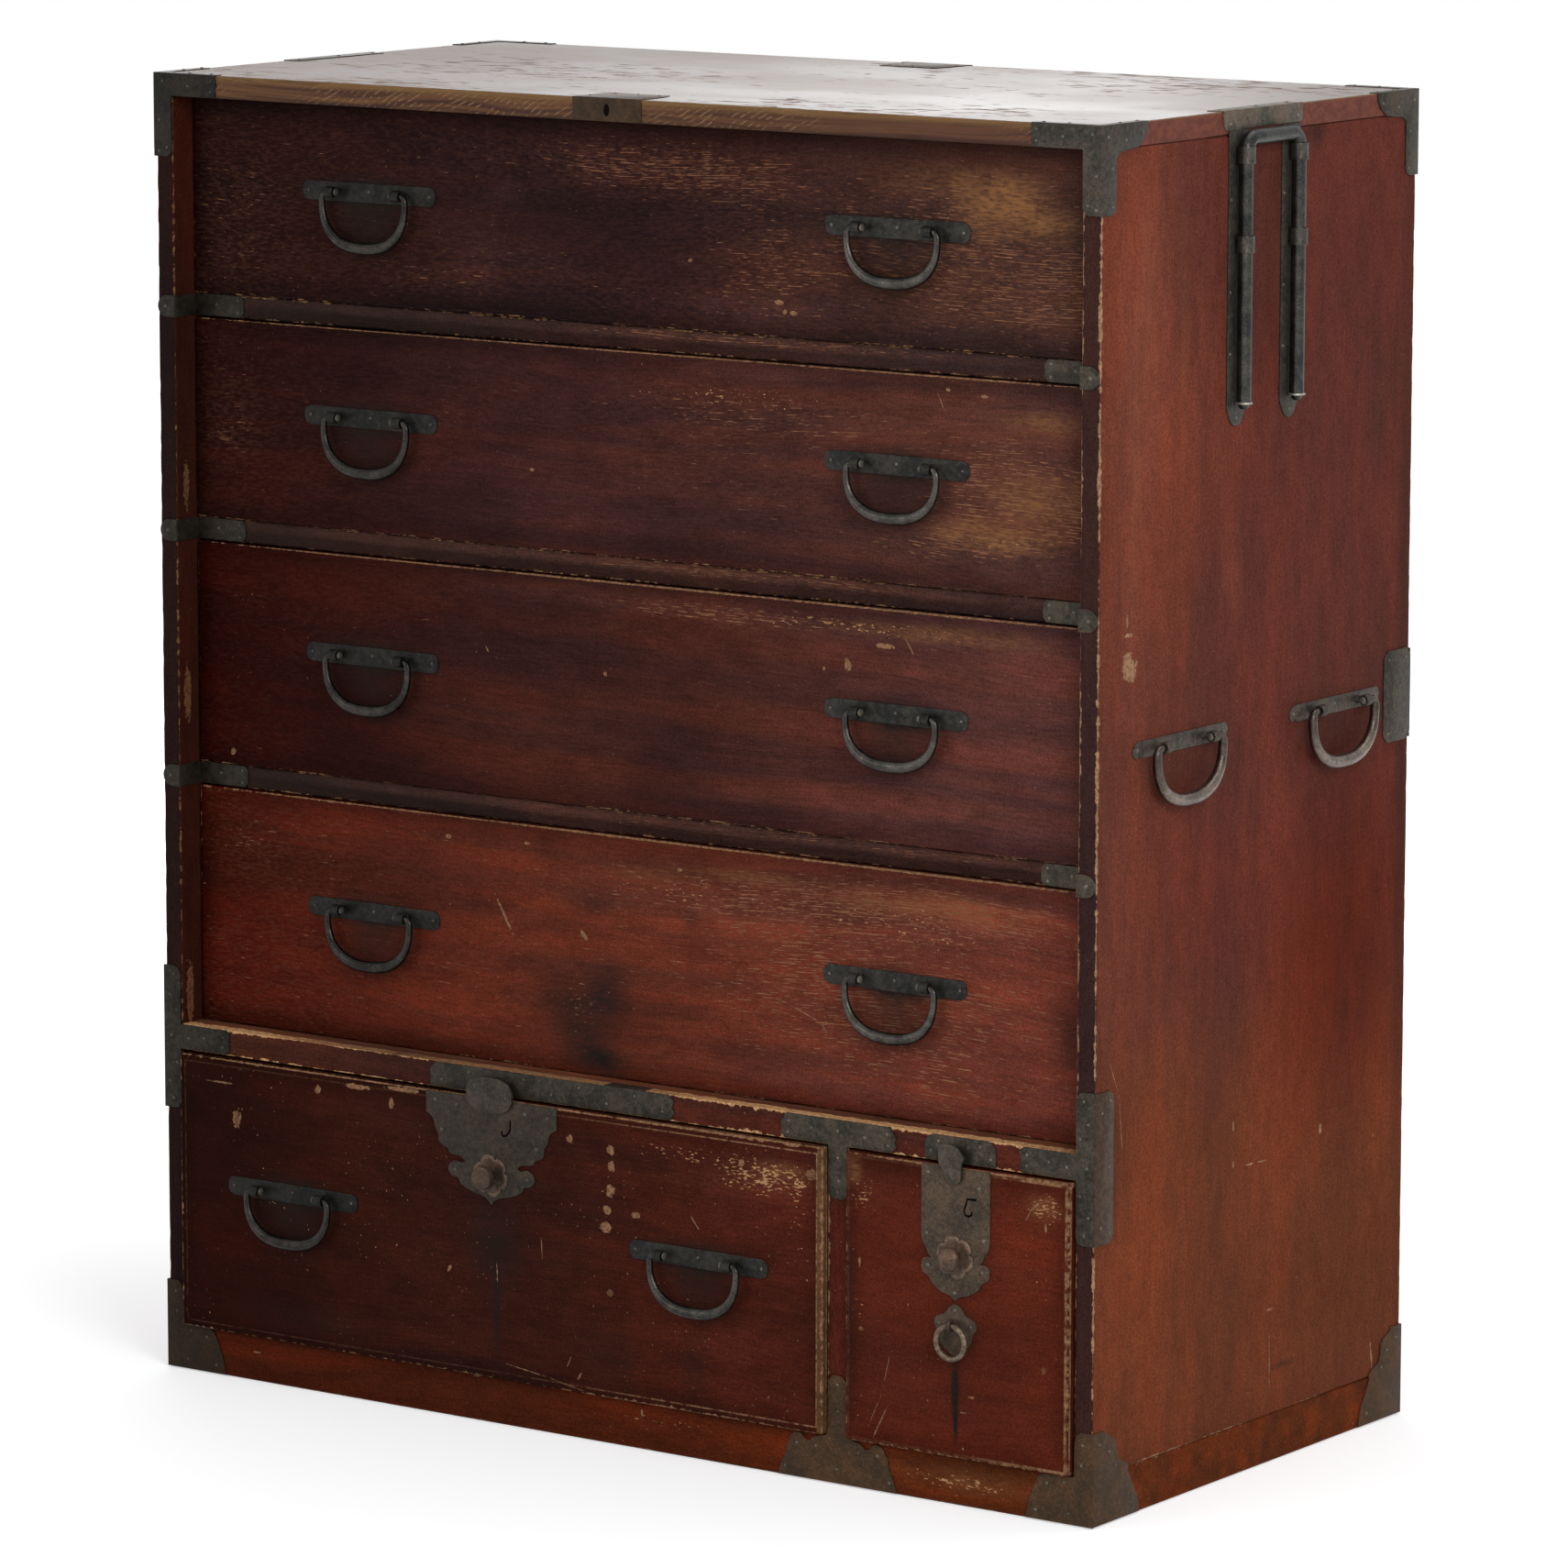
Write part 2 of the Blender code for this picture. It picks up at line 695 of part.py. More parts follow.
def bolt_plane():
    """Front plane of the two hidden bolts, behind the lower faces."""
    return LOWER_FACE_Y + BOLT_DEPTH_IN_FRONT


def lower_shelf():
    """The lower rail and its shelf, with the strike plate's seat and a mortise over each lock bolt."""
    board = shelf("lower_shelf", FRONT_Y, LOWER_RAIL_THICK, LEDGE_Z)
    seat = block(
        "tab_seat",
        (STRIKE_TAB_LEFT_X - SEAT, FRONT_Y - OVERRUN, LEDGE_Z - PROUD_IRON),
        (STRIKE_TAB_RIGHT_X + SEAT, FRONT_Y + STRIKE_TAB_DEPTH + SEAT, LEDGE_Z + OVERRUN),
    )
    cut(board, seat)
    depth = BOLT_TRAVEL + BOLT_GAP
    for x in (LOWER_DRAWER_X, DOOR_X):
        cut(
            board,
            block(
                "mortise",
                (x - BOLT_WIDTH / 2 - BOLT_GAP, bolt_plane() - BOLT_GAP, LOWER_RAIL_Z - OVERRUN),
                (x + BOLT_WIDTH / 2 + BOLT_GAP, bolt_plane() + BOLT_THICK + BOLT_GAP, LOWER_RAIL_Z + depth),
            ),
        )
    return board


def base_frame():
    """The base: four heavy members round a thin floor, open from below."""
    frame = block(
        "base_frame",
        (-HALF_WIDTH, FRONT_Y, 0.0),
        (HALF_WIDTH, BACK_Y, BASE_HEIGHT),
        BROWN_LACQUER,
        EDGE_ROUND,
    )
    hollow = block(
        "hollow",
        (-HALF_WIDTH + BASE_MEMBER, FRONT_Y + BASE_MEMBER, -OVERRUN),
        (HALF_WIDTH - BASE_MEMBER, BACK_Y - BASE_MEMBER, BASE_HEIGHT - BASE_FLOOR_THICK),
    )
    return cut(frame, hollow)


def top_board():
    """The top board with its front and back centre plates and the blind keyhole."""
    board = block(
        "top_board",
        (-HALF_WIDTH, FRONT_Y, TOP_UNDERSIDE_Z),
        (HALF_WIDTH, BACK_Y, CASE_HEIGHT),
        BROWN_LACQUER,
        EDGE_ROUND,
    )
    half = CENTRE_PLATE_WIDTH / 2
    for edge, outward in ((FRONT_Y, -1), (BACK_Y, 1)):
        skin = edge + outward * IRON
        fold = edge + outward * HALF_IRON
        inside = edge - outward * SINK
        lap = edge - outward * CENTRE_PLATE_LAP
        low = TOP_UNDERSIDE_Z + MARGIN
        high = CASE_HEIGHT + HALF_IRON
        inner = half - MARGIN
        join(
            board,
            block("face", (-half, min(skin, inside), low), (half, max(skin, inside), high)),
            block(
                "lap",
                (-inner, min(fold, lap), CASE_HEIGHT - SINK),
                (inner, max(fold, lap), CASE_HEIGHT + IRON),
            ),
        )
    middle = TOP_UNDERSIDE_Z + TOP_THICK / 2
    hole = [
        (CENTRE_KEYHOLE_WIDTH / 2 * u, middle + CENTRE_KEYHOLE_HEIGHT / 2 * v)
        for u, v in circle(0.0, 0.0, 1.0, ROUND_STEPS)
    ]
    return cut(board, flat("keyhole", [hole], FRONT_Y - OVERRUN, FRONT_Y + CENTRE_KEYHOLE_DEPTH, "front"))


def front_iron(name, outline, finish):
    """A sheet iron plate lying on the case's front edges."""
    return flat(name, [outline], FRONT_Y - PROUD_IRON, FRONT_Y - SEAT, "front", finish)


def side_iron(outline):
    """The part of an iron that lies on the right side panel."""
    return flat("side", [outline], HALF_WIDTH + SEAT, HALF_WIDTH + PROUD_IRON, "right")


def top_corner():
    """The right front top corner: an angle on the front and on the side, with a lip over the top."""
    fold = SEAT + HALF_IRON
    out_x = HALF_WIDTH + fold
    out_y = FRONT_Y - fold
    out_z = CASE_HEIGHT + fold
    arm_z = TOP_UNDERSIDE_Z + MARGIN
    leg_z = CASE_HEIGHT - TOP_CORNER_LEG
    leg_x = INNER_HALF + MARGIN
    leg_y = FRONT_Y + SIDE_THICK
    arm_x = HALF_WIDTH - TOP_CORNER_ARM
    arm_y = FRONT_Y + TOP_CORNER_ARM
    on_front = [
        (arm_x, arm_z), (leg_x, arm_z), (leg_x, leg_z + SIDE_THICK / 3), (leg_x + SIDE_THICK / 3, leg_z),
        (out_x, leg_z), (out_x, out_z), (arm_x, out_z),
    ]
    on_side = [
        (out_y, leg_z + MARGIN), (leg_y - SIDE_THICK / 3, leg_z + MARGIN), (leg_y, leg_z + SIDE_THICK / 3),
        (leg_y, arm_z), (arm_y, arm_z), (arm_y, out_z), (out_y, out_z),
    ]
    lip_x = HALF_WIDTH - TOP_CORNER_LIP
    lip_y = FRONT_Y + TOP_CORNER_LIP
    on_top = [
        (arm_x + MARGIN, out_y), (out_x, out_y), (out_x, arm_y - MARGIN),
        (lip_x, arm_y - MARGIN), (lip_x, lip_y), (arm_x + MARGIN, lip_y),
    ]
    iron = front_iron("top_corner_front_right", on_front, BLACK_IRON)
    return join(
        iron,
        side_iron(on_side),
        flat("lip", [on_top], CASE_HEIGHT + SEAT, CASE_HEIGHT + PROUD_IRON, "top"),
    )


def mid_corner():
    """The right corner iron of the lower rail: an arm, an upright and a leg round the side."""
    fold = SEAT + HALF_IRON
    out_x = HALF_WIDTH + fold
    middle = (LOWER_RAIL_Z + LEDGE_Z) / 2
    low = middle - LOWER_RAIL_THICK / 2 - MID_CORNER_FALL
    high = middle + LOWER_RAIL_THICK / 2 + MID_CORNER_RISE
    arm_x = INNER_HALF - MID_CORNER_ARM
    leg_x = INNER_HALF + MARGIN
    on_front = [
        (leg_x, low), (out_x, low), (out_x, high), (leg_x, high), (leg_x, LEDGE_Z - MARGIN),
        (arm_x, LEDGE_Z - MARGIN), (arm_x, LOWER_RAIL_Z + MARGIN), (leg_x, LOWER_RAIL_Z + MARGIN),
    ]
    on_side = rectangle(FRONT_Y - fold, low + MARGIN, FRONT_Y + MID_CORNER_SIDE, high - MARGIN)
    return join(front_iron("mid_corner_right", on_front, BLACK_IRON), side_iron(on_side))


def base_corner():
    """The right front base corner: an angle on the front and a scrolled plate on the side."""
    fold = SEAT + HALF_IRON
    out_x = HALF_WIDTH + fold
    out_y = FRONT_Y - fold
    foot = SEAT + MARGIN
    arm_x = HALF_WIDTH - BASE_CORNER_ARM
    leg_x = INNER_HALF + MARGIN
    arm_z = BASE_HEIGHT - MARGIN
    on_front = [
        (arm_x, SEAT), (out_x, SEAT), (out_x, BASE_CORNER_LEG),
        (leg_x, BASE_CORNER_LEG), (leg_x, arm_z), (arm_x, arm_z),
    ]
    on_side = [(out_y, foot)]
    for along, up in BASE_SIDE_SHARES:
        on_side.append((FRONT_Y + along * BASE_CORNER_SIDE, max(up * BASE_CORNER_SIDE_HEIGHT, foot)))
    on_side.append((out_y, BASE_CORNER_SIDE_HEIGHT))
    return join(front_iron("base_corner_front_right", on_front, RUST_IRON), side_iron(on_side))


def upper_t_plate():
    """The tee over the head of the divider."""
    half = DIVIDER_THICK / 2 - MARGIN
    low = LOWER_RAIL_Z + MARGIN
    high = LEDGE_Z - MARGIN
    foot = LOWER_RAIL_Z - UPPER_T_LEG
    outline = both_sides([
        (T_HALF_SPAN, high), (T_HALF_SPAN, low), (half, low), (half, foot + half / 2), (half / 2, foot),
    ])
    return front_iron("upper_t_plate", moved(outline, DIVIDER_X, 0.0), BLACK_IRON)


def base_t_plate():
    """The scrolled tee over the foot of the divider."""
    half = DIVIDER_THICK / 2 - MARGIN
    high = BASE_HEIGHT + BASE_T_LEG
    rail = BASE_HEIGHT - MARGIN
    outline = [(half / 2, high), (half, high - half), (half, rail)]
    for along, up in BASE_T_SHARES:
        outline.append((along * BASE_T_HALF_SPAN, max(up * rail, SEAT)))
    return front_iron("base_t_plate", moved(both_sides(outline), DIVIDER_X, 0.0), RUST_IRON)


def main_strike_plate():
    """The long strike plate on the lower rail, with a tab folded back and let into the ledge."""
    outline = rectangle(STRIKE_LEFT_X, LOWER_RAIL_Z + MARGIN, STRIKE_RIGHT_X, LEDGE_Z - MARGIN)
    plate = front_iron("main_strike_plate", outline, BLACK_IRON)
    fold_y = FRONT_Y - SEAT - HALF_IRON
    tab = rectangle(STRIKE_TAB_LEFT_X, fold_y, STRIKE_TAB_RIGHT_X, FRONT_Y + STRIKE_TAB_DEPTH)
    return join(plate, flat("tab", [tab], LEDGE_Z - IRON, LEDGE_Z, "top"))


def door_strike_plate():
    """The small strike plate over the door, with rounded upper corners."""
    half = DOOR_STRIKE_WIDTH / 2
    low = LOWER_RAIL_Z + MARGIN
    high = LEDGE_Z - MARGIN
    outline = [(half, low)]
    for i in range(BEND_STEPS + 1):
        turn = math.pi / 2 * i / BEND_STEPS
        outline.append(
            (half - STRIKE_CORNER * (1 - math.cos(turn)), high - STRIKE_CORNER * (1 - math.sin(turn)))
        )
    return front_iron("door_strike_plate", moved(both_sides(outline), DOOR_X, 0.0), BLACK_IRON)


def lock_outline(shares, half_width, height, x):
    """A lock plate's outline, open at its upper edge where the bolt's neck passes."""
    slot = NECK_WIDTH / 2 + BOLT_GAP
    foot = TONGUE_Z - NECK_DROP - NECK_HEIGHT / 2 - BOLT_GAP
    right = [(slot, foot), (slot, DRAWER_TOP_Z)]
    for across, down in shares:
        right.append((across * half_width, DRAWER_TOP_Z - down * height))
    return moved(both_sides(right), x, 0.0)


def petal_outline(x, z):
    loop = []
    steps = PETALS * PETAL_STEPS
    for i in range(steps):
        turn = 2 * math.pi * i / steps
        radius = WASHER_RADIUS * (1 - PETAL_SHARE + PETAL_SHARE * abs(math.sin(PETALS * turn / 2)) * 2)
        radius = min(radius, WASHER_RADIUS)
        loop.append((x + radius * math.cos(turn), z + radius * math.sin(turn)))
    return loop


def lock_plate(name, shares, half_width, height, x, knob_drop):
    """A lock plate with its keyhole, its knob's hole and the flower washer under the knob."""
    out_y = LOWER_FACE_Y - PROUD_IRON
    knob_z = DRAWER_TOP_Z - knob_drop
    outline = lock_outline(shares, half_width, height, x)
    hole = circle(x, knob_z, KNOB_SHAFT_RADIUS + KNOB_SHAFT_GAP, ROUND_STEPS)
    key_x = x + KEYHOLE_OFFSET
    key_z = DRAWER_TOP_Z - KEYHOLE_DROP
    half = KEYHOLE_SLOT / 2
    head = key_z + KEYHOLE_LENGTH / 2
    foot = key_z - KEYHOLE_LENGTH / 2
    keyhole = [
        (key_x - half, head), (key_x + half, head), (key_x + half, foot),
        (key_x - KEYHOLE_LENGTH, foot), (key_x - KEYHOLE_LENGTH, foot + KEYHOLE_SLOT),
        (key_x - half, foot + KEYHOLE_SLOT),
    ]
    plate = flat(name, [outline, hole, keyhole], out_y, LOWER_FACE_Y - SEAT, "front", RUST_IRON)
    washer = [petal_outline(x, knob_z), hole]
    return join(plate, flat("washer", washer, out_y - WASHER_THICK, out_y + SINK, "front"))


def lock_bolt(name, tongue, x):
    """A hidden bolt, its neck through the lock plate and the tongue in front of it."""
    plate_y = LOWER_FACE_Y - PROUD_IRON
    rear_y = plate_y - SEAT
    neck_z = TONGUE_Z - NECK_DROP
    bolt = block(
        name,
        (x - BOLT_WIDTH / 2, bolt_plane(), DRAWER_TOP_Z - MARGIN - BOLT_LENGTH),
        (x + BOLT_WIDTH / 2, bolt_plane() + BOLT_THICK, DRAWER_TOP_Z - MARGIN),
        BLACK_IRON,
    )
    join(
        bolt,
        block(
            "neck",
            (x - NECK_WIDTH / 2, rear_y - TONGUE_THICK / 2, neck_z - NECK_HEIGHT / 2),
            (x + NECK_WIDTH / 2, bolt_plane() + BOLT_THICK / 2, neck_z + NECK_HEIGHT / 2),
        ),
        flat("tongue", [moved(tongue, x, TONGUE_Z)], rear_y - TONGUE_THICK, rear_y, "front"),
    )
    return pivot(bolt, (x, rear_y, TONGUE_Z))


def disc_tongue():
    steps = RING_STEPS
    loop = []
    for i in range(steps):
        turn = 2 * math.pi * i / steps
        loop.append((MAIN_TONGUE_HALF_WIDTH * math.cos(turn), MAIN_TONGUE_HALF_HEIGHT * math.sin(turn)))
    return loop


def leaf_tongue():
    half = [(u * DOOR_TONGUE_HALF_WIDTH, v * DOOR_TONGUE_HALF_HEIGHT) for u, v in LEAF_SHARES]
    return both_sides(half)


def cut_lock_room(board, x, knob_drop):
    """Cuts the bolt's channel, the neck's slot and the knob's bore into a front board."""
    top = DRAWER_TOP_Z
    foot = TONGUE_Z - NECK_DROP - NECK_HEIGHT / 2 - BOLT_GAP
    bore_z = top - knob_drop
    shaft_end = LOWER_FACE_Y - PROUD_IRON - KNOB_STAND + KNOB_SHAFT_LENGTH
    bore = circle(x, bore_z, KNOB_SHAFT_RADIUS + KNOB_SHAFT_GAP, ROUND_STEPS)
    bore_end = shaft_end + knob_travel() + 2 * BOLT_GAP
    return cut(
        board,
        block(
            "channel",
            (x - BOLT_WIDTH / 2 - BOLT_GAP, bolt_plane() - BOLT_GAP, top - MARGIN - BOLT_LENGTH - BOLT_GAP),
            (x + BOLT_WIDTH / 2 + BOLT_GAP, bolt_plane() + BOLT_THICK + BOLT_GAP, top + OVERRUN),
        ),
        block(
            "slot",
            (x - NECK_WIDTH / 2 - BOLT_GAP, LOWER_FACE_Y - OVERRUN, foot),
            (x + NECK_WIDTH / 2 + BOLT_GAP, bolt_plane(), top + OVERRUN),
        ),
        flat("bore", [bore], LOWER_FACE_Y - OVERRUN, bore_end, "front"),
    )


def knob_travel():
    """How far a knob can be pushed before its head meets the washer."""
    return KNOB_STAND - WASHER_THICK - SEAT - MARGIN


def lock_knob(name, x, knob_drop):
    """A push knob: a round head on a shaft that runs into the front board."""
    plate_y = LOWER_FACE_Y - PROUD_IRON
    crown = KNOB_RADIUS / 4
    reach = KNOB_STAND + KNOB_THICK
    tail = KNOB_STAND - KNOB_SHAFT_LENGTH
    profile = [
        (0.0, reach), (KNOB_RADIUS - crown, reach), (KNOB_RADIUS, reach - crown),
        (KNOB_RADIUS, KNOB_STAND + crown / 2), (KNOB_RADIUS - crown / 2, KNOB_STAND),
        (KNOB_SHAFT_RADIUS, KNOB_STAND), (KNOB_SHAFT_RADIUS, tail), (0.0, tail),
    ]
    centre = (x, plate_y, DRAWER_TOP_Z - knob_drop)
    return pivot(turned(name, profile, centre, RUST_IRON), centre)


def lower_drawer_and_lock():
    half = (DIVIDER_LEFT_X + INNER_HALF) / 2 - DRAWER_SIDE_GAP
    low = BASE_HEIGHT + DRAWER_REST_GAP
    x = LOWER_DRAWER_X
    front = drawer_front(5, x, half, low, DRAWER_TOP_Z, LOWER_FACE_Y, LOWER_HANDLE_INSET)
    cut_lock_room(front, x, MAIN_KNOB_DROP)
    drawer_box(5, x, half, low, DRAWER_TOP_Z, LOWER_FACE_Y)
    lock_plate("main_lock_plate", MAIN_LOCK_SHARES, MAIN_LOCK_HALF_WIDTH, MAIN_LOCK_HEIGHT, x, MAIN_KNOB_DROP)
    lock_bolt("main_lock_bolt", disc_tongue(), x)
    lock_knob("main_lock_knob", x, MAIN_KNOB_DROP)


def door_and_lock():
    """The cupboard's lift-out door, with its lock, its ring plate and its ring."""
    x = DOOR_X
    half = (INNER_HALF - DIVIDER_RIGHT_X) / 2 - DRAWER_SIDE_GAP
    door = block(
        "cupboard_door",
        (x - half, LOWER_FACE_Y, BASE_HEIGHT + DRAWER_REST_GAP),
        (x + half, LOWER_FACE_Y + DOOR_THICK, DRAWER_TOP_Z),
        RED_LACQUER,
        EDGE_ROUND,
    )
    cut_lock_room(door, x, DOOR_KNOB_DROP)
    shape = [(u * RING_PLATE_HALF_WIDTH, v * RING_PLATE_HALF_HEIGHT) for u, v in RING_PLATE_SHARES]
    plate = moved(both_sides(shape), x, RING_EYE_Z - RING_PLATE_DROP)
    axis_y = LOWER_FACE_Y - IRON - RING_STANDOFF
    root = LOWER_FACE_Y - IRON + SINK
    post = [(root, RING_EYE_Z - RING_EYE_RADIUS)]
    for i in range(EYE_STEPS + 1):
        turn = math.pi * (i / EYE_STEPS - 1 / 2)
        reach = axis_y - RING_EYE_RADIUS * math.cos(turn)
        post.append((reach, RING_EYE_Z + RING_EYE_RADIUS * math.sin(turn)))
    post.append((root, RING_EYE_Z + RING_EYE_RADIUS))
    hole = circle(axis_y, RING_EYE_Z, RING_WIRE + PIN_GAP, PIN_STEPS)
    join(
        door,
        flat("ring_plate", [plate], LOWER_FACE_Y - IRON, LOWER_FACE_Y + SINK, "front"),
        flat("ring_eye", [post, hole], x - RING_EYE_LENGTH / 2, x + RING_EYE_LENGTH / 2, "right"),
    )
    lock_plate("door_lock_plate", DOOR_LOCK_SHARES, DOOR_LOCK_HALF_WIDTH, DOOR_LOCK_HEIGHT, x, DOOR_KNOB_DROP)
    lock_bolt("door_lock_bolt", leaf_tongue(), x)
    lock_knob("door_lock_knob", x, DOOR_KNOB_DROP)
    bpy.ops.mesh.primitive_torus_add(
        major_segments=RING_STEPS,
        minor_segments=WIRE_SIDES,
        major_radius=RING_RADIUS,
        minor_radius=RING_WIRE,
        location=(0.0, 0.0, 0.0),
    )
    made = bpy.context.active_object
    mesh = made.data
    mesh.transform(Matrix.Translation((0.0, 0.0, -RING_RADIUS)) @ Matrix.Rotation(math.pi / 2, 4, "X"))
    bpy.data.objects.remove(made)
    ring = new_object("door_ring", mesh, RUST_IRON)
    ring.location = (x, axis_y, RING_EYE_Z)


def pole_axis_x():
    return HALF_WIDTH + PROUD_IRON + POLE_STANDOFF


def pole_mount():
    """The right pole bar's strap over the top edge, two backing plates and four sleeves."""
    out_x = HALF_WIDTH + PROUD_IRON
    out_z = CASE_HEIGHT + PROUD_IRON
    strap_z = CASE_HEIGHT - POLE_STRAP_DROP
    half = POLE_STRAP_LENGTH / 2
    outline = rectangle(MIDDLE_Y - half, strap_z, MIDDLE_Y + half, CASE_HEIGHT + SEAT + HALF_IRON)
    mount = flat("pole_mount_right", [outline], HALF_WIDTH + SEAT, out_x, "right", BLACK_IRON)
    fold_x = HALF_WIDTH + SEAT + HALF_IRON
    lap = rectangle(HALF_WIDTH - POLE_STRAP_LAP, MIDDLE_Y - half + MARGIN, fold_x, MIDDLE_Y + half - MARGIN)
    join(mount, flat("lap", [lap], CASE_HEIGHT + SEAT, out_z, "top"))
    half = POLE_PLATE_WIDTH / 2
    axis = pole_axis_x()
    for side in (-1, 1):
        y = MIDDLE_Y + side * POLE_LEG_SPREAD / 2
        shoulder_z = POLE_PLATE_FOOT_Z + half
        plate = [
            (y - half / 2, POLE_PLATE_FOOT_Z), (y + half / 2, POLE_PLATE_FOOT_Z), (y + half, shoulder_z),
            (y + half, strap_z + MARGIN), (y - half, strap_z + MARGIN), (y - half, shoulder_z),
        ]
        join(mount, flat("plate", [plate], HALF_WIDTH + SEAT / 2, out_x - SEAT / 2, "right"))
        for level in (UPPER_SLEEVE_Z, LOWER_SLEEVE_Z):
            loop = [(out_x - SINK, y - SLEEVE_RADIUS)]
            for i in range(EYE_STEPS + 1):
                turn = math.pi * (i / EYE_STEPS - 1 / 2)
                loop.append((axis + SLEEVE_RADIUS * math.cos(turn), y + SLEEVE_RADIUS * math.sin(turn)))
            loop.append((out_x - SINK, y + SLEEVE_RADIUS))
            hole = circle(axis, y, POLE_BAR_RADIUS + POLE_BAR_GAP, ROUND_STEPS)
            low = level - SLEEVE_HEIGHT / 2
            join(mount, flat("sleeve", [loop, hole], low, low + SLEEVE_HEIGHT, "top"))
    return mount


def pole_bar():
    """The right carrying bar: an upside-down U that slides up through its sleeves."""
    x = pole_axis_x()
    top = CASE_HEIGHT - POLE_TOP_DROP
    half = POLE_LEG_SPREAD / 2
    leg = [(half, POLE_LEG_END_Z)]
    for i in range(BEND_STEPS + 2):
        turn = math.pi / 2 * i / (BEND_STEPS + 1)
        leg.append((half - POLE_BEND * (1 - math.cos(turn)), top - POLE_BEND * (1 - math.sin(turn))))
    path = [(-u, z) for u, z in leg] + leg[::-1]
    points = [(x, MIDDLE_Y + u, z) for u, z in path]
    bar = tube("pole_bar_right", points, [POLE_BAR_RADIUS] * len(points), BLACK_IRON)
    for side in (-1, 1):
        y = MIDDLE_Y + side * half
        stop = circle(x, y, POLE_STOP_RADIUS, ROUND_STEPS)
        rivet = circle(x, y, POLE_RIVET_RADIUS, ROUND_STEPS)
        low = POLE_LEG_END_Z - POLE_RIVET_LENGTH
        join(
            bar,
            flat("stop", [stop], POLE_LEG_END_Z - SINK, POLE_LEG_END_Z + POLE_STOP_HEIGHT, "top"),
            flat("rivet", [rivet], low, POLE_LEG_END_Z + SINK, "top"),
        )
    return pivot(bar, (x, MIDDLE_Y, top))


def pole_travel():
    """How far a bar rises before its stops meet the lower sleeves."""
    return LOWER_SLEEVE_Z - SLEEVE_HEIGHT / 2 - POLE_LEG_END_Z - POLE_STOP_HEIGHT - MARGIN


def case():
    panel = side_panel()
    mirrored(panel, "left_side_panel", 0)
    top_board()
    base_frame()
    block(
        "back_panel",
        (-INNER_HALF + SEAT, BACK_BOARD_Y, BASE_HEIGHT + SEAT),
        (INNER_HALF - SEAT, BACK_Y, TOP_UNDERSIDE_Z - SEAT),
        BROWN_LACQUER,
    )
    for number, level in enumerate(SHELF_LEVELS[:-1], start=1):
        upper_shelf(number, level)
    lower_shelf()
    divider()


def divider():
    """The upright between drawer and cupboard, notched round the lower rail."""
    foot = BASE_HEIGHT + SEAT
    head = LOWER_RAIL_Z - SEAT
    tail = LEDGE_Z - SHELF_THICK - SEAT
    notch_y = FRONT_Y + RAIL_DEPTH + SEAT
    end_y = BACK_BOARD_Y - SEAT
    outline = [
        (FRONT_Y, foot), (end_y, foot), (end_y, tail),
        (notch_y, tail), (notch_y, head), (FRONT_Y, head),
    ]
    flat("divider", [outline], DIVIDER_LEFT_X, DIVIDER_RIGHT_X, "right", BROWN_LACQUER)


def ironwork():
    corner = top_corner()
    mirrored(corner, "top_corner_front_left", 0)
    back = mirrored(corner, "top_corner_back_right", 1, MIDDLE_Y)
    mirrored(back, "top_corner_back_left", 0)
    corner = base_corner()
    mirrored(corner, "base_corner_front_left", 0)
    back = mirrored(corner, "base_corner_back_right", 1, MIDDLE_Y)
    mirrored(back, "base_corner_back_left", 0)
    mirrored(mid_corner(), "mid_corner_left", 0)
    upper_t_plate()
    base_t_plate()
    main_strike_plate()
    door_strike_plate()
    mirrored(pole_mount(), "pole_mount_left", 0)


def upper_drawers():
    half = INNER_HALF - DRAWER_SIDE_GAP
    for number, (level, height) in enumerate(zip(SHELF_LEVELS, OPENING_HEIGHTS), start=1):
        low = level + DRAWER_REST_GAP
        high = level + height - DRAWER_TOP_GAP
        drawer_front(number, 0.0, half, low, high, UPPER_FACE_Y, HANDLE_INSET)
        drawer_box(number, 0.0, half, low, high, UPPER_FACE_Y)


def carrying_handles():
    x = HALF_WIDTH + IRON + SIDE_BAIL_STANDOFF
    for place, side in (("front", -1), ("back", 1)):
        centre = (x, side_handle_y(side), SIDE_HANDLE_Z)
        made = bail(
            f"side_bail_right_{place}",
            centre,
            SIDE_BAIL_HALF_WIDTH,
            SIDE_BAIL_DROP,
            SIDE_BAIL_BELLY_RADIUS,
            1,
            BLACK_IRON,
        )
        other = mirrored(made, f"side_bail_left_{place}", 0)
        other.location = (-centre[0], centre[1], centre[2])
    bar = pole_bar()
    other = mirrored(bar, "pole_bar_left", 0)
    other.location = (-bar.location[0], bar.location[1], bar.location[2])


case()
ironwork()
upper_drawers()
lower_drawer_and_lock()
door_and_lock()
carrying_handles()
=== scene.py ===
"""Looks of the clothing chest: worn lacquer boards, forged irons with nails, floor, lights and camera."""

import math

import bmesh
import bpy
from mathutils import Matrix, Vector, noise


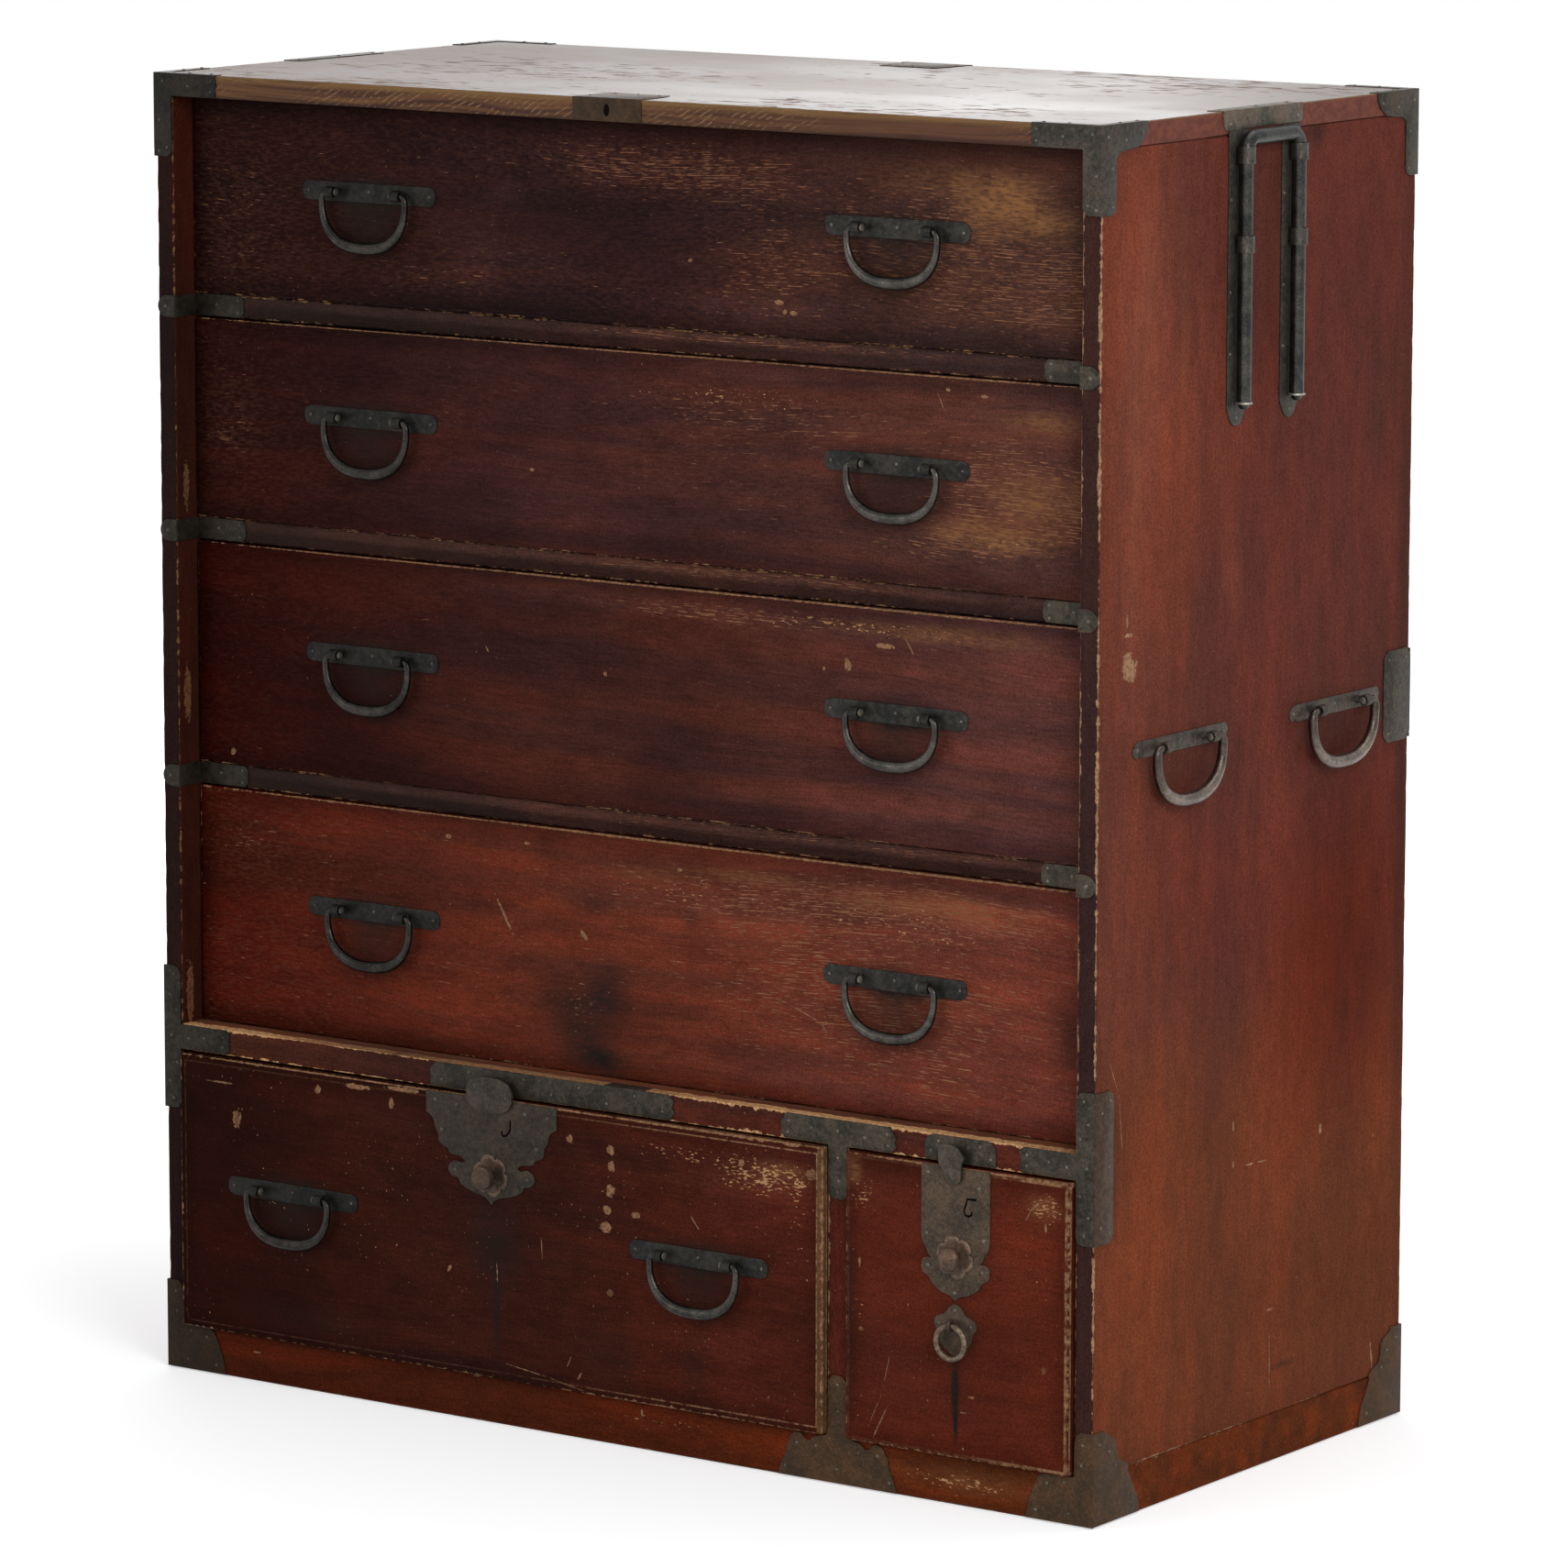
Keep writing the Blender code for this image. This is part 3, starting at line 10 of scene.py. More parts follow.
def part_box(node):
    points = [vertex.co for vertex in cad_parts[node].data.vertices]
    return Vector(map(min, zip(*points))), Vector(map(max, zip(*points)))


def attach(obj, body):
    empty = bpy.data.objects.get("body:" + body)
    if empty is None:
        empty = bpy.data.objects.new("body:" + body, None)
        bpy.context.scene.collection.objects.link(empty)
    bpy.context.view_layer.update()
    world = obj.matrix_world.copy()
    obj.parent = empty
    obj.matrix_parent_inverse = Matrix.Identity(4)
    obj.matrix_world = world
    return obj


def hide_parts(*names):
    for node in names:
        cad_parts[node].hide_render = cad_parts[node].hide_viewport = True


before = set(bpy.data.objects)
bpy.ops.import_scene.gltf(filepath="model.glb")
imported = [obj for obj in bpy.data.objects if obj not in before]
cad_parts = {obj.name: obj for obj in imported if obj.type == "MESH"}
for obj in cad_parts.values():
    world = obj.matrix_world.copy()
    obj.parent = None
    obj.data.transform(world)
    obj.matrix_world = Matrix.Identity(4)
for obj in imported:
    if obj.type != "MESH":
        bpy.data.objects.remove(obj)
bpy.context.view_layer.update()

# Planes and levels of the chest, in metres
HALF_WIDTH = 0.452
INNER_HALF = 0.435
FRONT_Y = -0.2149
BACK_Y = 0.2351
MIDDLE_Y = (FRONT_Y + BACK_Y) / 2
UPPER_FACE_Y = -0.1914
LOWER_FACE_Y = -0.2209
RAIL_Y = -0.1879
FRONT_THICK = 0.02
DOOR_THICK = 0.018
BASE_TOP = 0.038
LOWER_RAIL = (0.2675, 0.2885)
RAIL_IRON = (LOWER_RAIL[0] + 0.0005, LOWER_RAIL[1] - 0.0005)
TOP_LEVELS = (1.044, 1.062)
LAP_SKIN = TOP_LEVELS[1] + 0.0007
SHELVES = ((0.866, 0.8845), (0.6845, 0.703), (0.484, 0.5025))
UPPER_FRONTS = ((0.885, 1.042), (0.7035, 0.864), (0.503, 0.6825), (0.289, 0.482))
FRONT_HALF = 0.4335
LOWER_FRONT = ((-0.4335, 0.0385), (0.2065, 0.2655))
DOOR = ((0.2285, 0.0385), (0.4335, 0.2655))
DIVIDER_X = 0.2175
DOOR_X = 0.331
LOCK_X = -0.1135
LOCK_TOP = 0.2655
TONGUE_Z = 0.2688

# Irons: how far they stand out, their nails as radius and height, and how soft their edges are
IRON_OUT = 0.0015
BACK_IRON_OUT = 0.0008
NAIL = (0.0017, 0.0009)
SMALL_NAIL = (0.0013, 0.0007)
THIN_OUT = 0.0012
SOFT = 0.0004
EYE_SPREAD = 0.033
BAIL_AXIS_OUT = 0.0084
SIDE_AXIS_X = 0.4617
SIDE_HANDLE_Z = 0.59
RING_Y = -0.2283
RING_Z = 0.1435
KNOB_HOLE = 0.0041
PLATE_LEVELS = {"front": (FRONT_Y, FRONT_Y - IRON_OUT), "right": (HALF_WIDTH, HALF_WIDTH + IRON_OUT)}
POLE_LEG = 0.038

# Camera, from the photograph
CAMERA_PLACE = (3.6271, -5.1012, 1.5314)
CAMERA_TURN = (35.315, -9.361, -0.075)
CAMERA_LENS = 181.7
SENSOR = 36.0

# The two axes that lie along each face, and the one through it
FACE_AXES = {"front": (0, 2, 1), "back": (0, 2, 1), "right": (1, 2, 0), "left": (1, 2, 0), "top": (0, 1, 2)}

# Beyond anything in the scene
FAR = 1000.0


class Field:
    """A value that varies over a surface: an output of a material's nodes, with arithmetic."""

    def __init__(self, tree, socket):
        self.tree = tree
        self.socket = socket

    def __add__(self, other):
        return self.tree.math("ADD", self, other)

    def __radd__(self, other):
        return self.tree.math("ADD", other, self)

    def __sub__(self, other):
        return self.tree.math("SUBTRACT", self, other)

    def __rsub__(self, other):
        return self.tree.math("SUBTRACT", other, self)

    def __mul__(self, other):
        return self.tree.math("MULTIPLY", self, other)

    def __abs__(self):
        return self.tree.math("ABSOLUTE", self)

    def step(self, start, end, low=0.0, high=1.0):
        """Goes smoothly from low to high while this value goes from start to end."""
        values = {"Value": self, "From Min": start, "From Max": end, "To Min": low, "To Max": high}
        return self.tree.add("MapRange", values, "Result", interpolation_type="SMOOTHSTEP")


class Tree:
    """The nodes of one material or world, with short calls for those that it is built from."""

    def __init__(self, owner, grain=0):
        owner.use_nodes = True
        self.owner = owner
        self.grain = grain
        self.nodes = owner.node_tree.nodes
        self.links = owner.node_tree.links
        self.place = self.add("TexCoord", {}, "Object")
        self.crumble = None

    def put(self, socket, value):
        if isinstance(value, Field):
            self.links.new(value.socket, socket)
        elif isinstance(value, tuple) and len(value) == 3 and socket.type == "RGBA":
            socket.default_value = (*value, 1.0)
        else:
            socket.default_value = value

    def add(self, kind, values, output=0, **settings):
        """Makes a node, with its settings and the values of its inputs, and gives one of its outputs."""
        node = self.nodes.new("ShaderNode" + kind)
        for name, setting in settings.items():
            setattr(node, name, setting)
        for key, value in values.items():
            self.put(node.inputs[key], value)
        return Field(self, node.outputs[output])

    def math(self, operation, *values, clamp=False):
        return self.add("Math", dict(enumerate(values)), operation=operation, use_clamp=clamp)

    def vector(self, operation, *values):
        output = "Value" if operation == "LENGTH" else "Vector"
        return self.add("VectorMath", dict(enumerate(values)), output, operation=operation)

    def gather(self, operation, fields):
        """All the fields joined by one operation, or 0 if there are none."""
        total = 0.0
        for number, field in enumerate(fields):
            total = self.math(operation, total, field) if number else field
        return total

    def grained(self, along, across):
        """One number along the grain and another across it."""
        return tuple(along if axis == self.grain else across for axis in range(3))

    def noise(self, scale, detail=2.0, place=None, output="Fac"):
        """Noise with its number of cells per metre, or one number for each axis."""
        scale = scale if isinstance(scale, tuple) else (scale, scale, scale)
        values = {
            "Vector": self.vector("MULTIPLY", place or self.place, scale), "Scale": 1.0, "Detail": detail,
        }
        return self.add("TexNoise", values, output)

    def fibres(self, along, across, detail, place=None):
        """Noise drawn out along the grain."""
        return self.noise(self.grained(along, across), detail, place)

    def bent(self, scale, push, detail=2.0):
        """The place, pushed about by soft noise, so that the grain isn't quite straight."""
        return self.vector("MULTIPLY_ADD", self.noise(scale, detail, output="Color"), push, self.place)

    def mix(self, factor, first, second, kind="MIX"):
        return self.add("Mix", {0: factor, 6: first, 7: second}, 2, data_type="RGBA", blend_type=kind)

    def shade(self, colour, amount):
        """The colour times a grey amount."""
        grey = self.add("CombineColor", dict.fromkeys(range(3), amount))
        return self.mix(1.0, colour, grey, "MULTIPLY")

    def split(self, vector):
        """A vector's three axes."""
        node = self.add("SeparateXYZ", {0: vector}).socket.node
        return [Field(self, socket) for socket in node.outputs]

    def reach(self, face, u, v, half_u, half_v, turn=0.0):
        """Distance from a place on a face, 1 at the rim of the ellipse with these half sizes."""
        first, second, depth = FACE_AXES[face]
        location = [0.0, 0.0, 0.0]
        location[first] = u
        location[second] = v
        scale = [FAR, FAR, FAR]
        scale[first] = half_u
        scale[second] = half_v
        rotation = [0.0, 0.0, 0.0]
        rotation[depth] = -turn if depth == 1 else turn
        values = {"Vector": self.place, "Location": location, "Rotation": rotation, "Scale": scale}
        return self.vector("LENGTH", self.add("Mapping", values, vector_type="TEXTURE"))

    def rough_edge(self, amount):
        """Noise that makes the rim of a chip or a scratch ragged."""
        if self.crumble is None:
            self.crumble = self.noise(260.0, 3.0) - 0.5
        return self.crumble * amount

    def spots(self, face, items, soft, ragged=0.0):
        """Soft spots added up, or the strongest of ragged ones: place, half sizes and strength of each."""
        fields = []
        for u, v, half_u, half_v, strength in items:
            away = self.reach(face, u, v, half_u, half_v)
            if ragged:
                away = away + self.rough_edge(ragged)
            fields.append(away.step(1.0, 1.0 - soft, 0.0, strength))
        return self.gather("MAXIMUM" if ragged else "ADD", fields)

    def scratches(self, face, items):
        """Ragged lines: the two ends and the half width of each."""
        fields = []
        for u, v, end_u, end_v, half_width in items:
            length = math.hypot(end_u - u, end_v - v) / 2
            turn = math.atan2(end_v - v, end_u - u)
            away = self.reach(face, (u + end_u) / 2, (v + end_v) / 2, length, half_width, turn)
            fields.append((away + self.rough_edge(1.6)).step(1.0, 0.75))
        return self.gather("MAXIMUM", fields)

    def set_shader(self, values):
        for name, value in values.items():
            self.put(self.nodes["Principled BSDF"].inputs[name], value)

    def finish(self, colour, roughness, height, depth, gloss, metal=0.0):
        """The finished material; height is its relief, which is depth metres deep."""
        self.set_shader({
            "Base Color": colour,
            "Roughness": roughness,
            "Specular IOR Level": gloss,
            "Metallic": metal,
            "Normal": self.add("Bump", {"Distance": depth, "Height": height}),
        })
        return self.owner


# Colours under and over the lacquer
TAN = (0.32, 0.142, 0.076)
RUBBED = (0.15, 0.056, 0.034)
BARE = (0.27, 0.14, 0.073)
GOLD = (0.25, 0.11, 0.045)
FLECK = (0.46, 0.25, 0.115)
GRIME = (0.016, 0.012, 0.01)
COOL = (0.8, 0.98, 1.16)
WARM = (1.18, 1.0, 0.84)


def distance_in(tree, axes, low, high):
    """Distance in from a board's edges, on any face: the middle one of a place's three distances."""
    distances = [tree.math("MINIMUM", axes[i] - low[i], high[i] - axes[i]) for i in range(3)]
    total, least, most = [tree.gather(operation, distances) for operation in ("ADD", "MINIMUM", "MAXIMUM")]
    return total - (least + most)


def worn_strokes(tree, along, across, rows, bareness, grains):
    """Broken pale strokes in two sets of rows along the grain, more of them where the lacquer is worn."""
    sets = []
    limit = 0.74 - bareness * 0.25
    for number, (count, width) in enumerate(((rows, 0.13), (rows * 1.63, 0.15))):
        place = across * count
        thin = abs(tree.math("FRACT", place) - 0.5).step(width * 1.25, width * 0.5)
        row = tree.math("FLOOR", place) * (5.73 + number)
        spot = tree.add("CombineXYZ", {0: along * (58.0 + 40.0 * number), 1: row, 2: 3.1 * number})
        sets.append(thin * tree.noise(1.0, 2.0, spot).step(limit, limit + 0.12))
    strokes = tree.gather("MAXIMUM", sets) * bareness.step(0.0, 0.8, 0.35, 1.0)
    return strokes * grains.step(0.34, 0.58, 0.55, 1.0)


def lacquer(
    name, face, grain, low, high, left, middle, right, edge=0.0008, steady=0.1, chips=0.3, mottle=0.18,
    streaks=0.16, shadow=0.35, rows=0.0, wear=0.0, cloudy=0.45, hue=0.8, worn=(), gold=(), fleck=(), tone=(),
    tint=(), dark=(), chip=(), scratch=(), bands=(), faces=(), line=None, lip=None, bare_colour=BARE,
):
    """Old lacquer over wood: colour along the face, partly painted shade and reflection, grain, worn strokes,
    patches, chips and bare edges.

    worn, gold, fleck, tone, dark and chip are spots, scratch is lines, and tint is spots with a colour. bands
    are spans of levels with a colour and strength, and faces are spans along an axis with a colour. line is a
    rubbed line in from the edge, and lip is the bare wood along a ledge's front.
    """
    tree = Tree(bpy.data.materials.new(name), grain)
    first, second, _ = FACE_AXES[face]
    axes = tree.split(tree.place)
    bent = tree.bent(tree.grained(2.6, 4.5), tree.grained(0.0, 0.055), 1.0)

    # Colour from end to end, on the fronts darker to the left as painted shade and on the upper fronts hazier
    # to the right as a painted reflection, and what changes it in places
    halfway = (low[first] + high[first]) / 2
    to_middle = axes[first].step(low[first], halfway)
    to_right = axes[first].step(halfway, high[first])
    base = tree.mix(to_right, tree.mix(to_middle, left, middle), right)
    for start, end, colour, strength in bands:
        base = tree.mix(axes[second].step(start, end) * strength, base, colour)
    for *spot, colour in tint:
        base = tree.mix(tree.spots(face, [spot], 1.0), base, colour)
    for axis, start, end, colour in faces:
        base = tree.mix(axes[axis].step(start, end), base, colour)

    # Clouds, grain, pores and soot
    cloud = tree.fibres(4.5, 11.0, 5.0)
    lines = tree.fibres(1.6, 46.0, 3.0, bent)
    fine = tree.fibres(28.0, 760.0, 2.0, bent)
    grit = tree.noise(780.0, 3.0)
    grains = tree.fibres(150.0, 560.0, 4.0, bent)
    soot = tree.fibres(28.0, 60.0, 5.0)
    level = cloud * cloudy + lines * (1.0 - cloudy)
    base = tree.mix(hue, base, tree.mix(level.step(0.38, 0.62), COOL, WARM), "MULTIPLY")
    level = level.step(0.36, 0.64, 1.0 - mottle, 1.0 + mottle)
    if tone:
        level = level + tree.spots(face, tone, 1.0)
    level = level * fine.step(0.28, 0.72, 1.0 - streaks, 1.0 + streaks)
    level = level * grit.step(0.32, 0.68, 0.74, 1.26)
    level = level * soot.step(0.36, 0.6, 1.0 - streaks * 0.9, 1.0 + streaks * 0.4)
    colour = tree.shade(base, level)

    # Worn strokes, golden patches and crumbs of bare wood
    strokes = 0.0
    if rows:
        bareness = wear + tree.spots(face, worn, 1.0)
        bareness = tree.math("MULTIPLY", bareness, cloud.step(0.32, 0.62, 0.5, 1.2), clamp=True)
        colour = tree.mix(bareness * grains.step(0.4, 0.66, 0.05, 0.45), colour, RUBBED)
        strokes = worn_strokes(tree, axes[first], tree.split(bent)[second], rows, bareness, grains)
        colour = tree.mix(strokes, colour, TAN)
    if gold:
        patch = tree.spots(face, gold, 1.0) * soot.step(0.36, 0.6, 0.55, 1.1)
        patch = tree.math("MULTIPLY", patch, grains.step(0.3, 0.66, 0.3, 1.0), clamp=True)
        colour = tree.mix(patch, colour, GOLD)
    if fleck:
        limit = 0.79 - tree.spots(face, fleck, 1.0) * 0.27
        crumbs = tree.fibres(220.0, 620.0, 4.0, bent)
        colour = tree.mix(crumbs.step(limit, limit + 0.05), colour, FLECK)

    # Painted shade towards the board's edges, and dirt in the dark places
    inset = distance_in(tree, axes, low, high)
    colour = tree.shade(colour, inset.step(0.0, 0.024, 1.0 - shadow, 1.0))
    if dark:
        stain = tree.spots(face, dark, 1.0)
        stain = tree.math("MULTIPLY", stain, cloud.step(0.3, 0.6, 0.7, 1.1), clamp=True)
        stain = tree.math("MULTIPLY", stain, grains.step(0.3, 0.7, 1.08, 0.86), clamp=True)
        colour = tree.mix(stain, colour, GRIME)

    # Bare wood: flakes, worn edges, chips, the ledge's lip and scratches
    splinter = tree.noise(150.0, 4.0)
    where = tree.noise(9.0, 3.0)
    flake = tree.noise(330.0, 4.0)
    flakes = flake.step(0.725 - 0.06 * chips, 0.745 - 0.06 * chips)
    flakes = flakes * where.step(0.4, 0.56, 0.0, min(1.0, 2.4 * chips))
    nibble = splinter.step(0.4, 0.66, steady, 2.4) * (where.step(0.38, 0.62, 0.35, 1.0) * edge)
    bare = tree.math("MAXIMUM", flakes, (inset - nibble).step(0.0002, -0.0002))
    if line:
        distance, width, strength = line
        broken = splinter.step(0.36, 0.52, 0.15, strength)
        side = axes[first].step(halfway, high[first] - 0.03, 0.12, 1.0)
        inner = abs(inset - distance).step(width, width * 0.4) * (broken * side)
        bare = tree.math("MAXIMUM", bare, inner)
    if chip:
        bare = tree.math("MAXIMUM", bare, tree.spots(face, chip, 0.22, 1.5))
    if lip:
        depth, spans = lip
        back = axes[1] - tree.noise((70.0, 5.0, 5.0), 4.0) * 0.012
        worn_lip = back.step(low[1] + depth - 0.0056, low[1] + depth - 0.0064)
        worn_lip = tree.math("MULTIPLY", worn_lip, tree.spots("front", spans, 0.5, 1.0), clamp=True)
        above = axes[2].step(high[2] - 0.0006, high[2] - 0.0002)
        bare = bare * (1.0 - above) + worn_lip * above
    if scratch:
        marks = tree.scratches(face, scratch)
        if face == "front":
            marks = marks * axes[1].step(low[1] + 0.003, low[1] + 0.0016)
        bare = tree.math("MAXIMUM", bare, marks)
    colour = tree.mix(bare, colour, tree.shade(bare_colour, flake.step(0.35, 0.65, 0.62, 1.18)))

    raised = tree.math("MAXIMUM", bare, strokes)
    return tree.finish(colour, 0.5 + raised * 0.25, fine * 0.25 - raised, 0.00025, 0.02)


def iron(
    name, deep, worn, rust, rusty=0.3, metal=0.35, rough=0.5, size=230.0, painted_left_shade=(0.5, 1.15), flank=None,
    belly=None,
):
    """Forged iron: dark skin, hammer marks, pits, rubbed places and rust, and painted shade, set by a factor
    at each end, that makes it darker to the left.

    flank is the colour of what stands out past the case's sides. belly gives the levels between which a bail
    goes from light, rubbed iron with a painted highlight, to dark.
    """
    tree = Tree(bpy.data.materials.new(name))
    across, _, up = tree.split(tree.place)
    hammer = tree.noise(size, 4.0)
    cloud = tree.noise(42.0, 7.0)
    pits = tree.noise(820.0, 3.0)
    level = hammer * 0.5 + cloud * 0.5
    colour = tree.mix(level.step(0.38, 0.64), deep, worn)
    colour = tree.mix(cloud.step(0.4, 0.72) * rusty, colour, rust)
    if flank:
        outside = abs(across).step(HALF_WIDTH + 0.0006, HALF_WIDTH + 0.0012)
        colour = tree.mix(outside, colour, tree.shade(flank, hammer.step(0.34, 0.66, 0.7, 1.25)))
    # Lighter towards the belly: rubbed iron and a painted highlight
    if belly:
        colour = tree.shade(colour, up.step(*belly, 1.45, 0.62))
    # Painted shade: darker towards the left, times the pits' mottling
    colour = tree.shade(colour, across.step(-0.46, 0.4, *painted_left_shade) * pits.step(0.3, 0.68, 0.66, 1.26))
    roughness = (rough - 0.12) + cloud * 0.24
    return tree.finish(colour, roughness, hammer * 0.75 + pits * 0.25, 0.00022, 0.12, metal)


def plain_wood(name, first, second, grain):
    """Unlacquered softwood with straight grain."""
    tree = Tree(bpy.data.materials.new(name), grain)
    lines = tree.fibres(2.0, 110.0, 4.0)
    pores = tree.fibres(18.0, 700.0, 2.0)
    level = lines * 0.65 + tree.noise(5.0, 3.0) * 0.35
    colour = tree.mix(level.step(0.36, 0.64), first, second)
    colour = tree.shade(colour, pores.step(0.3, 0.7, 0.86, 1.08))
    return tree.finish(colour, 0.65, pores, 0.0002, 0.2)


# Geometry


def lattice(low, high, edge, cell):
    """Grid lines from low to high: close together in and beside the rounded edges, then one cell apart."""
    margin = min(edge * 2.2, (high - low) * 0.3)
    inner = high - low - 2 * margin
    count = max(1, round(inner / cell))
    middle = [low + margin + inner * i / count for i in range(count + 1)]
    return [low, low + edge * 0.3, low + edge] + middle + [high - edge, high - edge * 0.3, high]


def add_board(form, low, high, edge=0.0013, chip=0.0006, cell=0.007, grain=0, finish=0):
    """A board with rounded, slightly chipped edges."""
    cells = [cell if axis == grain else 0.045 for axis in range(3)]
    lines = [lattice(low[i], high[i], edge, cells[i]) for i in range(3)]
    made = {}

    def corner(*index):
        if index not in made:
            point = Vector([lines[i][index[i]] for i in range(3)])
            inner = Vector([min(max(point[i], low[i] + edge), high[i] - edge) for i in range(3)])
            away = point - inner
            if sum(1 for value in away if abs(value) > 0.0) > 1:
                bite = max(0.0, noise.noise(point * 95.0) - 0.12) * chip * 2.6
                point = inner + away.normalized() * max(edge - bite, edge * 0.25)
            made[index] = form.verts.new(point)
        return made[index]

    for axis in range(3):
        first, second = [other for other in range(3) if other != axis]
        for end in (0, len(lines[axis]) - 1):
            for i in range(len(lines[first]) - 1):
                for j in range(len(lines[second]) - 1):
                    quad = []
                    for di, dj in ((0, 0), (1, 0), (1, 1), (0, 1)):
                        index = [0, 0, 0]
                        index[axis] = end
                        index[first] = i + di
                        index[second] = j + dj
                        quad.append(corner(*index))
                    face = form.faces.new(quad)
                    face.material_index = finish
    bmesh.ops.recalc_face_normals(form, faces=form.faces)


def face_place(face, level):
    """Stands a flat outline up on a face, at a level along that face's axis."""
    upright = Matrix.Rotation(math.pi / 2, 4, "X")
    if face in ("right", "left"):
        return Matrix.Translation((level, 0, 0)) @ Matrix.Rotation(math.pi / 2, 4, "Z") @ upright
    if face == "top":
        return Matrix.Translation((0, 0, level))
    return Matrix.Translation((0, level, 0)) @ upright


def turned_way(loop, anticlockwise):
    area = sum(a[0] * b[1] - b[0] * a[1] for a, b in zip(loop, loop[1:] + loop[:1]))
    return list(loop) if (area > 0) == anticlockwise else list(loop)[::-1]


def add_sheet(form, face, loops, inside, outside, soft=0.0003, finish=0):
    """A sheet with softened edges, from its outline and holes, between two levels along the face's axis."""
    curve = bpy.data.curves.new("outline", "CURVE")
    curve.dimensions = "2D"
    curve.fill_mode = "BOTH"
    curve.extrude = abs(outside - inside) / 2 - soft
    curve.bevel_depth = soft
    curve.bevel_resolution = 1
    curve.offset = -soft
    for number, loop in enumerate(loops):
        ordered = turned_way(loop, number == 0)
        spline = curve.splines.new("POLY")
        spline.points.add(len(ordered) - 1)
        for point, (u, v) in zip(spline.points, ordered):
            point.co = (u, v, 0.0, 1.0)
        spline.use_cyclic_u = True
    guide = bpy.data.objects.new("outline", curve)
    bpy.context.scene.collection.objects.link(guide)
    bpy.context.view_layer.update()
    mesh = bpy.data.meshes.new_from_object(guide.evaluated_get(bpy.context.evaluated_depsgraph_get()))
    mesh.transform(face_place(face, (inside + outside) / 2))
    sheet = bmesh.new()
    sheet.from_mesh(mesh)
    bmesh.ops.remove_doubles(sheet, verts=sheet.verts, dist=0.00002)
    bmesh.ops.recalc_face_normals(sheet, faces=sheet.faces)
    for one in sheet.faces:
        one.material_index = finish
    sheet.to_mesh(mesh)
    sheet.free()
    form.from_mesh(mesh)
    bpy.data.objects.remove(guide)
    bpy.data.curves.remove(curve)
    bpy.data.meshes.remove(mesh)


def placed(face, u, v, level):
    """The point on a face, at a level along the face's axis."""
    point = [0.0, 0.0, 0.0]
    for axis, value in zip(FACE_AXES[face], (u, v, level)):
        point[axis] = value
    return Vector(point)


def add_nails(form, face, places, level, size):
    """Domed nail heads of the second finish on a face; the size is their radius and height."""
    scale = [size[0]] * 3
    scale[FACE_AXES[face][2]] = size[1]
    for u, v in places:
        matrix = Matrix.Translation(placed(face, u, v, level)) @ Matrix.Diagonal((*scale, 1.0))
        made = bmesh.ops.create_uvsphere(form, u_segments=10, v_segments=6, radius=1.0, matrix=matrix)
        for vert in made["verts"]:
            for polygon in vert.link_faces:
                polygon.material_index = 1


def turns(count):
    """The angles of one turn in equal steps."""
    return [math.tau * i / count for i in range(count)]


def join_rings(form, rings, closed=False):
    """Faces between each ring of points and the next; a ring of one point is a tip."""
    faces = []
    for first, second in zip(rings, rings[1:] + rings[:1] if closed else rings[1:]):
        count = max(len(first), len(second))
        for i in range(count):
            quad = []
            for ring, k in ((first, i), (second, i), (second, i + 1), (first, i + 1)):
                point = ring[k % len(ring)]
                if point not in quad:
                    quad.append(point)
            faces.append(form.faces.new(quad))
    return faces


def set_faces(form, faces, finish):
    """Gives the faces their finish and turns them outward."""
    for face in faces:
        face.material_index = finish
    bmesh.ops.recalc_face_normals(form, faces=faces)


def add_turned(form, profile, centre, axis, steps, finish=0, closed=False):
    """A shape turned about an axis through centre, from radii and distances along the axis."""
    axis = Vector(axis).normalized()
    side = axis.orthogonal().normalized()
    other = axis.cross(side)
    rings = []
    for radius, along in profile:
        middle = Vector(centre) + axis * along
        rim = [(side * math.cos(turn) + other * math.sin(turn)) * radius for turn in turns(steps)]
        points = [middle + away for away in rim] if radius else [middle]
        rings.append([form.verts.new(point) for point in points])
    set_faces(form, join_rings(form, rings, closed), finish)


def add_sweep(form, points, radii, depth, sides, flat=1.0, closed=False):
    """A bar along a flat path; depth is the direction square to the path, flat the bar's share of it."""
    depth = Vector(depth).normalized()
    rings = []
    count = len(points)
    for i, (point, radius) in enumerate(zip(points, radii)):
        before = points[(i - 1) % count] if closed else points[max(i - 1, 0)]
        after = points[(i + 1) % count] if closed else points[min(i + 1, count - 1)]
        across = (after - before).normalized().cross(depth).normalized()
        ring = []
        for turn in turns(sides):
            beside = point + across * radius * math.cos(turn)
            ring.append(form.verts.new(beside + depth * radius * flat * math.sin(turn)))
        rings.append(ring)
    faces = join_rings(form, rings, closed)
    if not closed:
        faces += [form.faces.new(rings[0]), form.faces.new(rings[-1][::-1])]
    set_faces(form, faces, 0)


def mirror(form, axis, plane=0.0):
    """A mirrored copy of a form, across a plane square to the axis."""
    copy = form.copy()
    for vert in copy.verts:
        vert.co[axis] = 2 * plane - vert.co[axis]
    bmesh.ops.reverse_faces(copy, faces=copy.faces)
    return copy


def mirrored(form, axis):
    """The form's mirror image, in its place."""
    copy = mirror(form, axis)
    form.free()
    return copy


def piece(name, form, body, finishes, nodes=()):
    """Makes an object of the form, which rides on the body and may stand for CAD nodes."""
    mesh = bpy.data.meshes.new(name)
    form.to_mesh(mesh)
    form.free()
    for finish in finishes:
        mesh.materials.append(finish)
    mesh.polygons.foreach_set("use_smooth", [True] * len(mesh.polygons))
    mesh.set_sharp_from_angle(angle=math.radians(38))
    made = bpy.data.objects.new(name, mesh)
    bpy.context.scene.collection.objects.link(made)
    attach(made, body)
    if nodes:
        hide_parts(*nodes)
    return made


